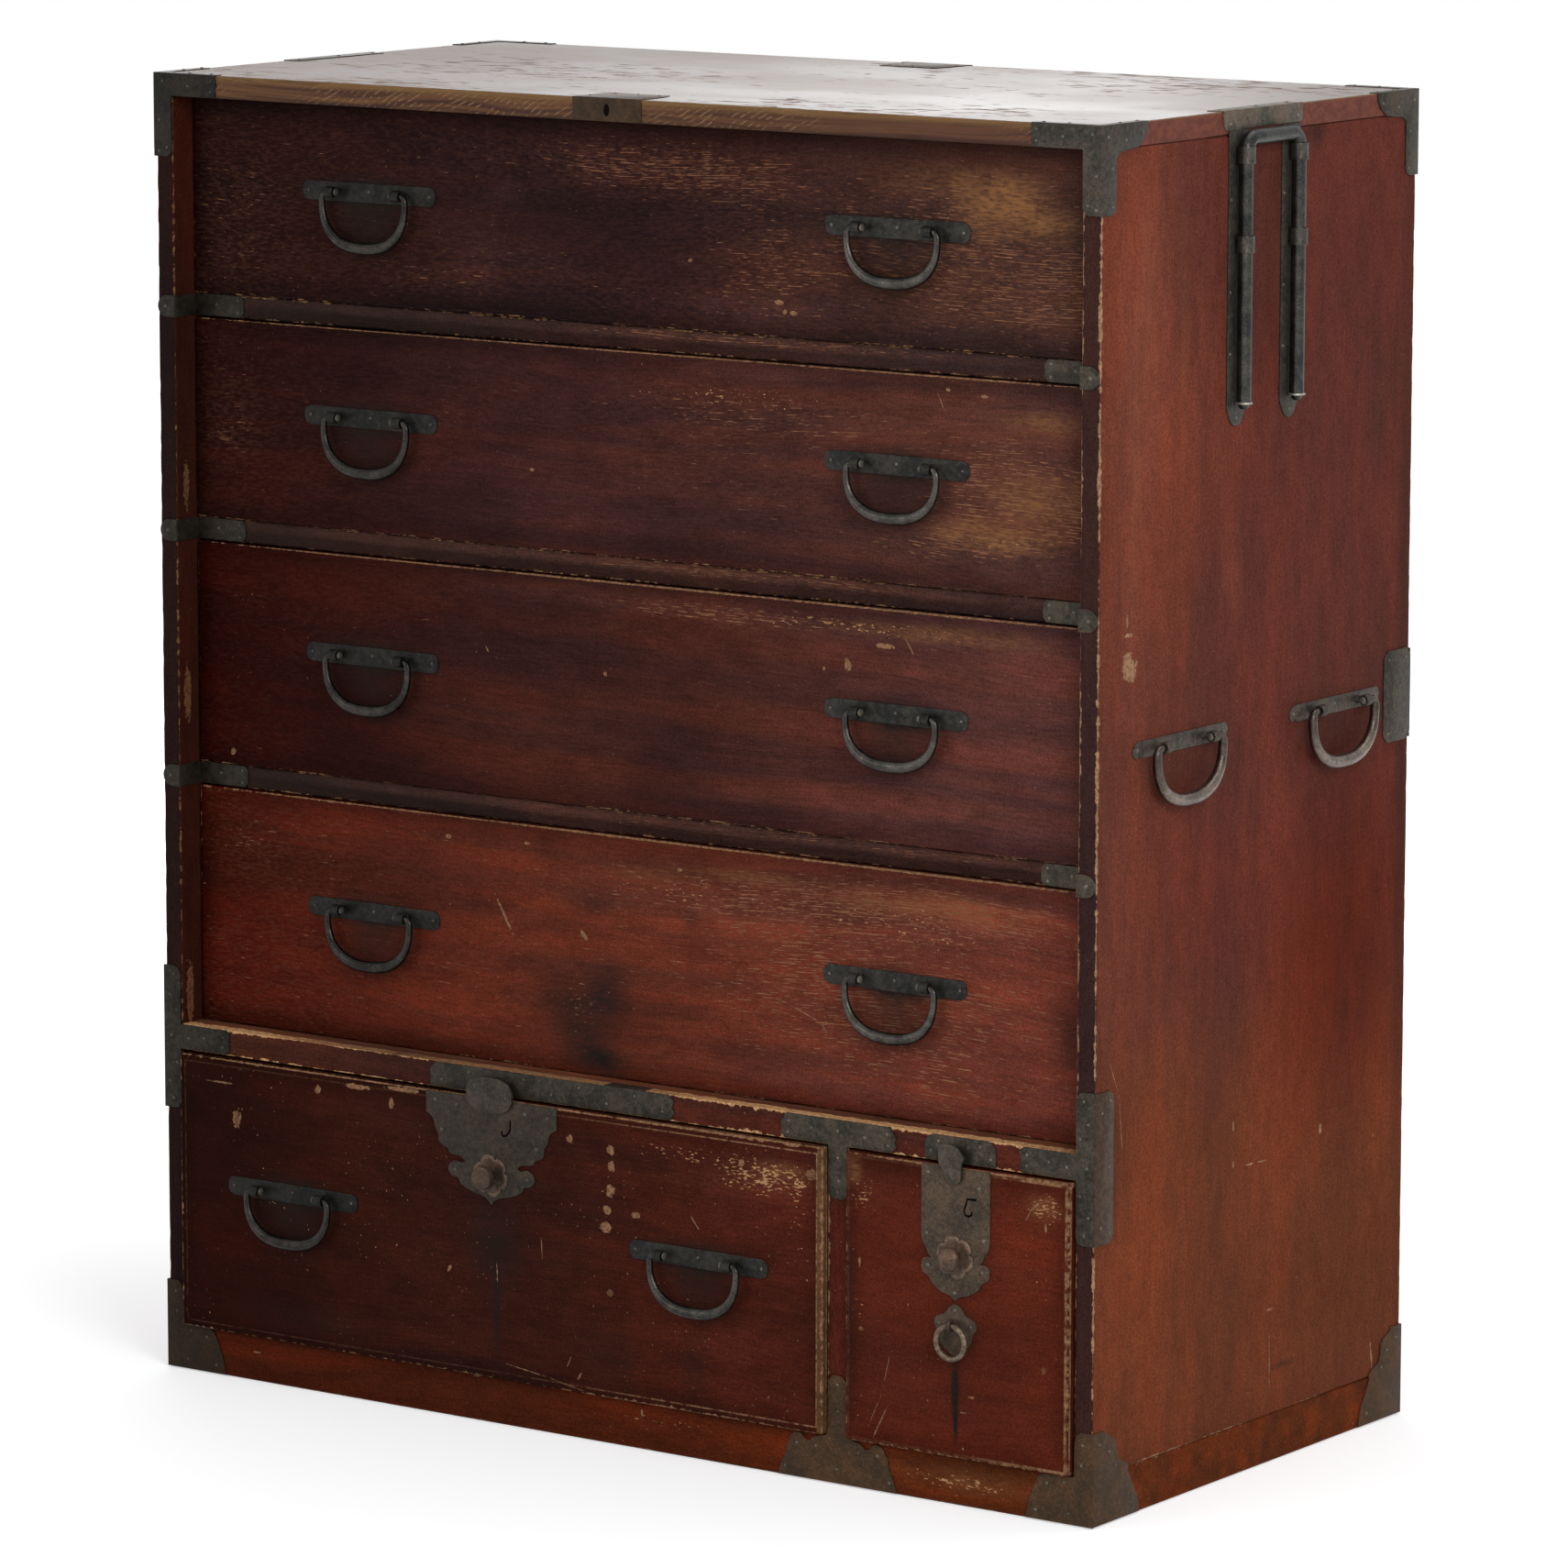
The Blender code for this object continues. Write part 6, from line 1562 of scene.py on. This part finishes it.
def dress_case_wood():
    """Finishes for the nodes that keep their solids, with softened edges."""
    base_low, base_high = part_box("base_frame")
    ledge = LOWER_RAIL[1]
    rail_low = (-INNER_HALF, FRONT_Y, LOWER_RAIL[0])
    rail_high = (INNER_HALF, BACK_Y, ledge)
    divider_low, divider_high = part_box("divider")
    finishes = {
        "base_frame": lacquer(
            "base_lacquer", "front", 0, base_low, base_high,
            (0.08, 0.013, 0.004), (0.115, 0.019, 0.0058), (0.135, 0.029, 0.007),
            rows=300.0, wear=0.05, chips=0.45, edge=0.0006, streaks=0.12, shadow=0.12,
            gold=[(0.34, 0.02, 0.1, 0.016, 0.4)],
            fleck=[(0.33, 0.018, 0.1, 0.016, 0.85), (0.05, 0.025, 0.1, 0.01, 0.7)],
            chip=[(-0.1345, 0.0365, 0.003, 0.001, 1.0), (0.0292, 0.03, 0.0012, 0.003, 1.0),
                  (-0.36, 0.024, 0.004, 0.0012, 0.8)],
        ),
        "lower_shelf": lacquer(
            "lower_rail_lacquer", "front", 0, rail_low, rail_high,
            (0.052, 0.0165, 0.0105), (0.07, 0.018, 0.0115), (0.08, 0.02, 0.013),
            rows=400.0, wear=0.1, chips=0.4, edge=0.0014, shadow=0.0, bare_colour=(0.62, 0.345, 0.158),
            lip=(0.01, [(-0.385, ledge, 0.1, 0.1, 1.0), (0.235, ledge, 0.26, 0.1, 1.0),
                         (-0.27, ledge, 0.07, 0.1, 0.42), (-0.06, ledge, 0.2, 0.1, 0.4)]),
            faces=[(2, ledge - 0.0006, ledge - 0.0002, (0.15, 0.052, 0.028))],
            chip=[(-0.385, ledge + 0.0014, 0.068, 0.0034, 1.0), (0.29, ledge + 0.0014, 0.168, 0.0034, 1.0),
                  (0.085, ledge + 0.0012, 0.046, 0.0028, 1.0), (-0.06, ledge + 0.0008, 0.03, 0.0018, 1.0),
                  (-0.22, ledge + 0.0008, 0.075, 0.0016, 1.0), (-0.13, ledge + 0.001, 0.02, 0.0022, 1.0)],
        ),
        "divider": lacquer(
            "divider_lacquer", "front", 2, divider_low, divider_high,
            (0.082, 0.0185, 0.0115), (0.09, 0.0195, 0.012), (0.098, 0.021, 0.013),
            chips=0.5, edge=0.0009, shadow=0.2,
        ),
    }
    for name, finish in finishes.items():
        set_finish(name, finish)
        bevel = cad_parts[name].modifiers.new("soft_edges", "BEVEL")
        bevel.width = 0.0008
        bevel.segments = 2
        bevel.limit_method = "ANGLE"


# Irons of the case


def side_outline(points, low, high):
    """The outline of a corner iron on the side, from points measured from the case's front plane."""
    start = FRONT_Y - IRON_OUT + 0.0003
    return [(start, low)] + shifted(points, FRONT_Y, 0.0) + [(start, high)]


def top_corner_form():
    """The right front top corner iron."""
    form = bmesh.new()
    out_x = HALF_WIDTH + IRON_OUT
    bottom = 0.9955
    under = TOP_LEVELS[0] + 0.0004
    on_front = [
        (0.39, 1.0565), (0.3885, 1.054), (0.3905, 1.0515), (0.39, under), (0.4355, under), (0.4355, 1.001),
        (0.4372, 0.9975), (0.4405, bottom), (out_x, bottom), (out_x, LAP_SKIN), (0.39, LAP_SKIN),
    ]
    nails = [
        (0.3945, 1.0575), (0.3945, 1.049), (0.418, 1.053), (0.444, 1.056), (0.44, 1.003), (0.448, 1.025),
        (0.448, 1.0),
    ]
    add_plate(form, "front", on_front, nails)
    on_side = [
        (0.012, bottom), (0.016, 0.9975), (0.0175, 1.0015), (0.0175, 1.038), (0.023, 1.0415), (0.047, 1.044),
        (0.056, 1.05), (0.06, 1.057), (0.06, LAP_SKIN),
    ]
    nails = [(0.013, 1.0015), (0.012, 1.03), (0.03, 1.05), (0.053, 1.054), (0.006, 1.054)]
    add_plate(form, "right", side_outline(on_side, bottom, LAP_SKIN), shifted(nails, FRONT_Y, 0.0))
    lip = 0.0075
    front, back = FRONT_Y - IRON_OUT + 0.0003, FRONT_Y + 0.0595
    on_top = [
        (0.3905, front), (out_x - 0.0003, front), (out_x - 0.0003, back), (HALF_WIDTH - lip, back),
        (HALF_WIDTH - lip, FRONT_Y + lip), (0.3905, FRONT_Y + lip),
    ]
    add_sheet(form, "top", [on_top], TOP_LEVELS[1] - 0.0002, LAP_SKIN, 0.0002)
    nails = [
        (0.3975, FRONT_Y + 0.004), (0.42, FRONT_Y + 0.004), (0.448, FRONT_Y + 0.03), (0.448, FRONT_Y + 0.053),
    ]
    add_nails(form, "top", nails, LAP_SKIN, (0.0016, 0.0008))
    return form


def squeeze_back(form):
    """Draws the back irons in to the CAD box's back plane."""
    for vert in form.verts:
        over = vert.co.y - BACK_Y
        if over > 0.0:
            vert.co.y = BACK_Y + over * 0.62
    return form


def four_corners(build, name, finish):
    """A corner iron on each of the four corners, from the right front one."""
    form = build()
    back = squeeze_back(mirror(form, 1, MIDDLE_Y))
    forms = {
        "front_right": form, "front_left": mirror(form, 0), "back_right": back, "back_left": mirror(back, 0),
    }
    for place, shape in forms.items():
        piece(f"{name}_{place}_forged", shape, "case", [finish, NAILS], [f"{name}_{place}"])


def mid_corner_form():
    """The right corner iron at the lower rail's end."""
    form = bmesh.new()
    out_x = HALF_WIDTH + IRON_OUT
    low, high = 0.218, 0.336
    rail_low, rail_high = RAIL_IRON
    on_front = [
        (0.436, low + 0.006), (0.4385, low + 0.001), (0.443, low), (out_x, low), (out_x, high), (0.442, high),
        (0.4385, high - 0.0015), (0.436, high - 0.006), (0.436, rail_high), (0.3885, rail_high),
        (0.385, rail_high - 0.004), (0.3862, (rail_low + rail_high) / 2), (0.385, rail_low + 0.004),
        (0.3885, rail_low), (0.436, rail_low),
    ]
    nails = [
        (0.444, 0.226), (0.4475, 0.24), (0.44, 0.256), (0.446, 0.278), (0.44, 0.3), (0.447, 0.312),
        (0.443, 0.329), (0.392, 0.282), (0.392, 0.2735), (0.412, 0.279), (0.428, 0.277),
    ]
    add_plate(form, "front", on_front, nails)
    low_end, high_end = low + 0.0003, high - 0.0003
    on_side = [
        (0.018, low_end), (0.0225, low + 0.003), (0.024, low + 0.008), (0.024, high - 0.008),
        (0.0225, high - 0.003), (0.018, high_end),
    ]
    nails = [(0.019, 0.226), (0.007, 0.232), (0.018, 0.277), (0.019, 0.328), (0.008, 0.32)]
    add_plate(form, "right", side_outline(on_side, low_end, high_end), shifted(nails, FRONT_Y, 0.0))
    return form


BASE_SIDE = [
    (0.064, 0.0008), (0.061, 0.014), (0.054, 0.026), (0.0475, 0.0365), (0.0475, 0.0365), (0.048, 0.0405),
    (0.043, 0.044), (0.035, 0.048), (0.0315, 0.054), (0.031, 0.06), (0.027, 0.066), (0.019, 0.0695),
    (0.015, 0.0735),
]


def base_corner_form():
    """The right front base corner iron."""
    form = bmesh.new()
    out_x = HALF_WIDTH + IRON_OUT
    on_front = [
        (0.392, 0.0006), (out_x, 0.0006), (out_x, 0.0735), (0.442, 0.0735), (0.4385, 0.071), (0.4365, 0.066),
        (0.4362, 0.0378), (0.41, 0.0378), (0.4045, 0.035), (0.401, 0.029), (0.396, 0.016),
    ]
    nails = [
        (0.412, 0.03), (0.428, 0.033), (0.402, 0.008), (0.432, 0.009), (0.444, 0.064), (0.443, 0.048),
    ]
    add_plate(form, "front", on_front, nails)
    nails = [(0.0215, 0.056), (0.03, 0.044), (0.052, 0.01), (0.008, 0.064)]
    on_side = side_outline(curve_through(BASE_SIDE, 4), 0.0008, 0.0735)
    add_plate(form, "right", on_side, shifted(nails, FRONT_Y, 0.0))
    return form


BASE_TEE_RIGHT = [
    (0.004, 0.086), (0.0075, 0.083), (0.009, 0.078), (0.009, 0.078), (0.0092, 0.046), (0.0092, 0.046),
    (0.0106, 0.0378), (0.0106, 0.0378), (0.022, 0.035), (0.0262, 0.0315), (0.03, 0.0318), (0.034, 0.0358),
    (0.039, 0.0362), (0.0435, 0.0335), (0.045, 0.0295), (0.0475, 0.025), (0.0485, 0.019), (0.053, 0.01),
    (0.056, 0.0006),
]


def dress_plate(name, node, finish, outline, nails):
    """A nailed plate on the case's front as a piece of its own."""
    form = bmesh.new()
    add_plate(form, "front", outline, nails)
    piece(name, form, "case", [finish, NAILS], [node])


def dress_main_strike():
    """The long strike plate over the lower drawer, with its tab over the ledge."""
    rail_low, rail_high = RAIL_IRON
    left, right = -0.179, 0.0625
    strike = [
        (left + 0.0005, rail_low), (right - 0.005, rail_low), (right, rail_low + 0.006),
        (right - 0.003, 0.278), (right - 0.001, 0.2835), (right - 0.006, rail_high),
        (left + 0.006, rail_high), (left, rail_high - 0.006),
    ]
    nails = [(left + 0.012 + 0.0272 * i, 0.283 if i % 2 else 0.274) for i in range(9)]
    form = bmesh.new()
    add_plate(form, "front", strike, nails)
    ledge = LOWER_RAIL[1]
    tab = rectangle(-0.0068, FRONT_Y - IRON_OUT + 0.0005, 0.0328, FRONT_Y + 0.012)
    add_sheet(form, "top", [tab], ledge - 0.0012, ledge - 0.0001, 0.0003)
    nails = [(0.003, FRONT_Y + 0.006), (0.023, FRONT_Y + 0.006)]
    add_nails(form, "top", nails, ledge - 0.0003, (0.0012, 0.0004))
    piece("main_strike_forged", form, "case", [BLACK, NAILS], ["main_strike_plate"])


def dress_case_irons():
    four_corners(top_corner_form, "top_corner", CORNER)
    four_corners(base_corner_form, "base_corner", OLIVE)
    form = mid_corner_form()
    for side, shape in (("right", form), ("left", mirror(form, 0))):
        piece(f"mid_corner_{side}_forged", shape, "case", [MID_IRON, NAILS], [f"mid_corner_{side}"])
    rail_low, rail_high = RAIL_IRON
    half = [
        (0.004, 0.2256), (0.0075, 0.2275), (0.009, 0.232), (0.009, rail_low), (0.05, rail_low),
        (0.054, rail_low + 0.004), (0.053, 0.277), (0.054, 0.28), (0.0515, 0.2835), (0.049, rail_high),
    ]
    nails = [
        (-0.046, 0.282), (-0.047, 0.273), (-0.025, 0.279), (0.0, 0.279), (0.025, 0.277), (0.046, 0.282),
        (0.047, 0.273), (0.0, 0.258), (0.001, 0.24), (0.0, 0.231),
    ]
    outline = both_sides(half, DIVIDER_X)
    dress_plate("upper_tee_forged", "upper_t_plate", BLACK, outline, shifted(nails, DIVIDER_X, 0.0))
    nails = [
        (0.0, 0.079), (0.001, 0.058), (-0.02, 0.028), (0.02, 0.028), (-0.038, 0.028), (0.038, 0.028),
        (-0.049, 0.008), (0.049, 0.008), (0.0, 0.012),
    ]
    outline = both_sides(curve_through(BASE_TEE_RIGHT, 4), DIVIDER_X)
    dress_plate(
        "base_tee_forged", "base_t_plate", OLIVE, outline, shifted(nails, DIVIDER_X, 0.0),
    )
    dress_main_strike()
    half = [(0.0325, rail_low), (0.0325, 0.279), (0.0315, 0.2835), (0.0285, 0.2868), (0.0245, rail_high)]
    nails = [(-0.027, 0.275), (0.028, 0.274), (0.018, 0.283), (-0.02, 0.283)]
    outline = both_sides(half, DOOR_X)
    dress_plate("door_strike_forged", "door_strike_plate", BLACK, outline, shifted(nails, DOOR_X, 0.0))


# Pole handles


POLE_BAR_X = 0.46
SLEEVE = [
    (0.0063, -0.0064), (0.0072, -0.0066), (0.0074, -0.0058), (0.0072, -0.0048), (0.0072, 0.0046),
    (0.0074, 0.0054), (0.0072, 0.0064), (0.0063, 0.0062),
]
SLEEVE_LEVELS = {-1: (1.029, 0.9615), 1: (1.027, 0.962)}


def pole_mount_form():
    """The right pole handle's fixed irons: a strap over the top edge, and two backing plates with sleeves."""
    form = bmesh.new()
    skin = HALF_WIDTH + IRON_OUT
    strap_finish, sleeve_finish = 2, 3
    low, high = MIDDLE_Y - 0.06, MIDDLE_Y + 0.053
    strap = [
        (low + 0.006, 1.0474), (high - 0.002, 1.0482), (high, 1.05), (high, LAP_SKIN), (low, LAP_SKIN),
        (low + 0.0012, 1.052), (low + 0.003, 1.0485),
    ]
    add_sheet(form, "right", [strap], HALF_WIDTH, skin, SOFT, strap_finish)
    nails = [(low + 0.01, 1.052), (MIDDLE_Y - 0.004, 1.0535), (high - 0.007, 1.053)]
    add_nails(form, "right", nails, skin, NAIL)
    lap = rectangle(HALF_WIDTH - 0.014, low + 0.0005, skin - 0.0003, high - 0.0005)
    add_sheet(form, "top", [lap], TOP_LEVELS[1] - 0.0002, LAP_SKIN, 0.0002, strap_finish)
    nails = [(HALF_WIDTH - 0.008, y) for y in (low + 0.008, MIDDLE_Y, high - 0.008)]
    add_nails(form, "top", nails, LAP_SKIN, (0.0017, 0.0008))
    half = 0.0132
    right = curve_through([
        (half, 1.0475), (half, 0.84), (half, 0.84), (0.0125, 0.834), (0.01, 0.831), (0.0085, 0.827),
        (0.0045, 0.8235), (0.0, 0.8222),
    ], 3)
    nails = [(0.0, 0.829), (-0.01, 0.925), (-0.0095, 0.878), (-0.01, 0.995), (0.01, 0.94)]
    plate_skin = skin - 0.0002
    for side in (-1, 1):
        y = MIDDLE_Y + side * POLE_LEG
        outline = [(y + u, v) for u, v in right] + [(y - u, v) for u, v in right[::-1] if u > 0.0]
        add_sheet(form, "right", [outline], HALF_WIDTH, plate_skin, SOFT)
        add_nails(form, "right", shifted(nails, y, 0.0), plate_skin, SMALL_NAIL)
        for level in SLEEVE_LEVELS[side]:
            add_turned(form, SLEEVE, (POLE_BAR_X, y, level), (0, 0, 1), 28, sleeve_finish, closed=True)
    return form


def pole_bar_form():
    """The right pole handle's bar: two legs joined by a bent top, with a stop at each foot."""
    form = bmesh.new()
    radius = 0.006
    foot_z = 0.8445
    top = 1.0415
    bend = 0.0115
    half = [(POLE_LEG, 0.841, 0.0058), (POLE_LEG, foot_z, radius)]
    for i in range(1, 12):
        half.append((POLE_LEG, foot_z + (top - bend - foot_z) * i / 12, radius))
    for i in range(0, 13):
        turn = math.pi / 2 * i / 12
        half.append((POLE_LEG - bend + bend * math.cos(turn), top - bend + bend * math.sin(turn), radius))
    full = [(-u, z, r) for u, z, r in half] + half[::-1]
    points = [Vector((POLE_BAR_X, MIDDLE_Y + u, z)) for u, z, _ in full]
    add_sweep(form, points, [r for _, _, r in full], (1, 0, 0), 20, 0.94)
    stop = [(0.0, 0.0019), (0.0067, 0.0019), (0.0069, 0.0012), (0.0067, 0.0004), (0.0, 0.0004)]
    rivet = [(0.0, 0.0006), (0.005, 0.0006), (0.004, -0.0022), (0.0026, -0.0036), (0.0, -0.004)]
    for side in (-1, 1):
        foot = (POLE_BAR_X, MIDDLE_Y + side * POLE_LEG, 0.8395)
        add_turned(form, stop, foot, (0, 0, 1), 24, 1)
        add_turned(form, rivet, foot, (0, 0, 1), 18)
    return form


def dress_poles():
    shapes = {"right": (pole_mount_form(), pole_bar_form())}
    shapes["left"] = tuple(mirror(form, 0) for form in shapes["right"])
    for name, (mount, bar) in shapes.items():
        piece(
            f"pole_mount_{name}_forged", mount, "case", [POLE_PLATE, NAILS, STRAP, SLEEVE_IRON],
            [f"pole_mount_{name}"],
        )
        piece(f"pole_bar_{name}_forged", bar, f"pole_handle_{name}", [POLE, BRIGHT], [f"pole_bar_{name}"])


# Stage


def seen_rays(tree):
    """1 for the rays of the camera, of gloss and of glass, and 0 for the light on the object."""
    path = tree.nodes.new("ShaderNodeLightPath")
    names = ("Is Camera Ray", "Is Glossy Ray", "Is Transmission Ray")
    return tree.gather("MAXIMUM", [Field(tree, path.outputs[name]) for name in names])


def set_world():
    """Soft cool light on the object, and white where the camera and the gloss look past it."""
    world = bpy.data.worlds.new("studio")
    bpy.context.scene.world = world
    tree = Tree(world)
    plain = tree.add("Background", {"Color": (0.96, 0.98, 1.0), "Strength": 0.42})
    white = tree.add("Background", {"Color": (1.0, 1.0, 1.0), "Strength": 1.0})
    mixed = tree.add("MixShader", {0: seen_rays(tree), 1: plain, 2: white})
    tree.put(tree.nodes["World Output"].inputs["Surface"], mixed)


def add_floor():
    """A pale floor, which glows more with distance, until it is as white as the world."""
    mesh = bpy.data.meshes.new("studio_floor")
    form = bmesh.new()
    bmesh.ops.create_grid(form, x_segments=2, y_segments=2, size=9.0)
    form.to_mesh(mesh)
    form.free()
    floor = bpy.data.objects.new("studio_floor", mesh)
    bpy.context.scene.collection.objects.link(floor)
    floor.location.z = -0.0005
    tree = Tree(bpy.data.materials.new("pale_floor"))
    tree.set_shader({
        "Base Color": (0.86, 0.86, 0.86),
        "Roughness": 0.9,
        "Specular IOR Level": 0.0,
        "Emission Color": (1.0, 1.0, 1.0),
        "Emission Strength": seen_rays(tree) * tree.vector("LENGTH", tree.place).step(0.6, 2.6, 0.45, 1.0),
    })
    mesh.materials.append(tree.owner)


def add_lamps():
    """Four soft round lamps, as name, place, size and power, turned to the middle of the object."""
    lamps = (
        ("key", (3.2, -2.2, 2.3), 1.9, 62.0),
        ("fill", (-1.6, -3.8, 1.9), 2.6, 26.0),
        ("top", (0.6, 0.4, 3.4), 2.4, 26.0),
        ("back", (-2.4, 2.6, 1.8), 2.2, 30.0),
    )
    for name, place, size, power in lamps:
        light = bpy.data.lights.new(name, "AREA")
        light.shape = "DISK"
        light.size = size
        light.energy = power
        lamp = bpy.data.objects.new(name, light)
        bpy.context.scene.collection.objects.link(lamp)
        lamp.location = place
        lamp.rotation_euler = (Vector((0.0, 0.0, 0.5)) - Vector(place)).to_track_quat("-Z", "Y").to_euler()
        lamp.visible_camera = False


def add_camera():
    """The camera, at the photograph's place, and plain colours in its picture."""
    bpy.context.scene.view_settings.view_transform = "Standard"
    data = bpy.data.cameras.new("photograph")
    data.lens = CAMERA_LENS
    data.sensor_width = SENSOR
    data.clip_end = 60.0
    camera = bpy.data.objects.new("photograph", data)
    bpy.context.scene.collection.objects.link(camera)
    turn = Matrix.Identity(3)
    for degrees, axis in zip(CAMERA_TURN, "ZXY"):
        turn = turn @ Matrix.Rotation(math.radians(degrees), 3, axis)
    right, forward, up = turn.col
    camera.matrix_world = Matrix.Translation(CAMERA_PLACE) @ Matrix(
        (right, up, -forward)
    ).transposed().to_4x4()
    bpy.context.scene.camera = camera


set_world()
add_floor()
add_lamps()
add_camera()
dress_drawers()
dress_locks()
dress_door()
dress_panels()
dress_side_handles()
dress_shelves()
dress_top()
dress_back()
dress_case_wood()
dress_case_irons()
dress_poles()
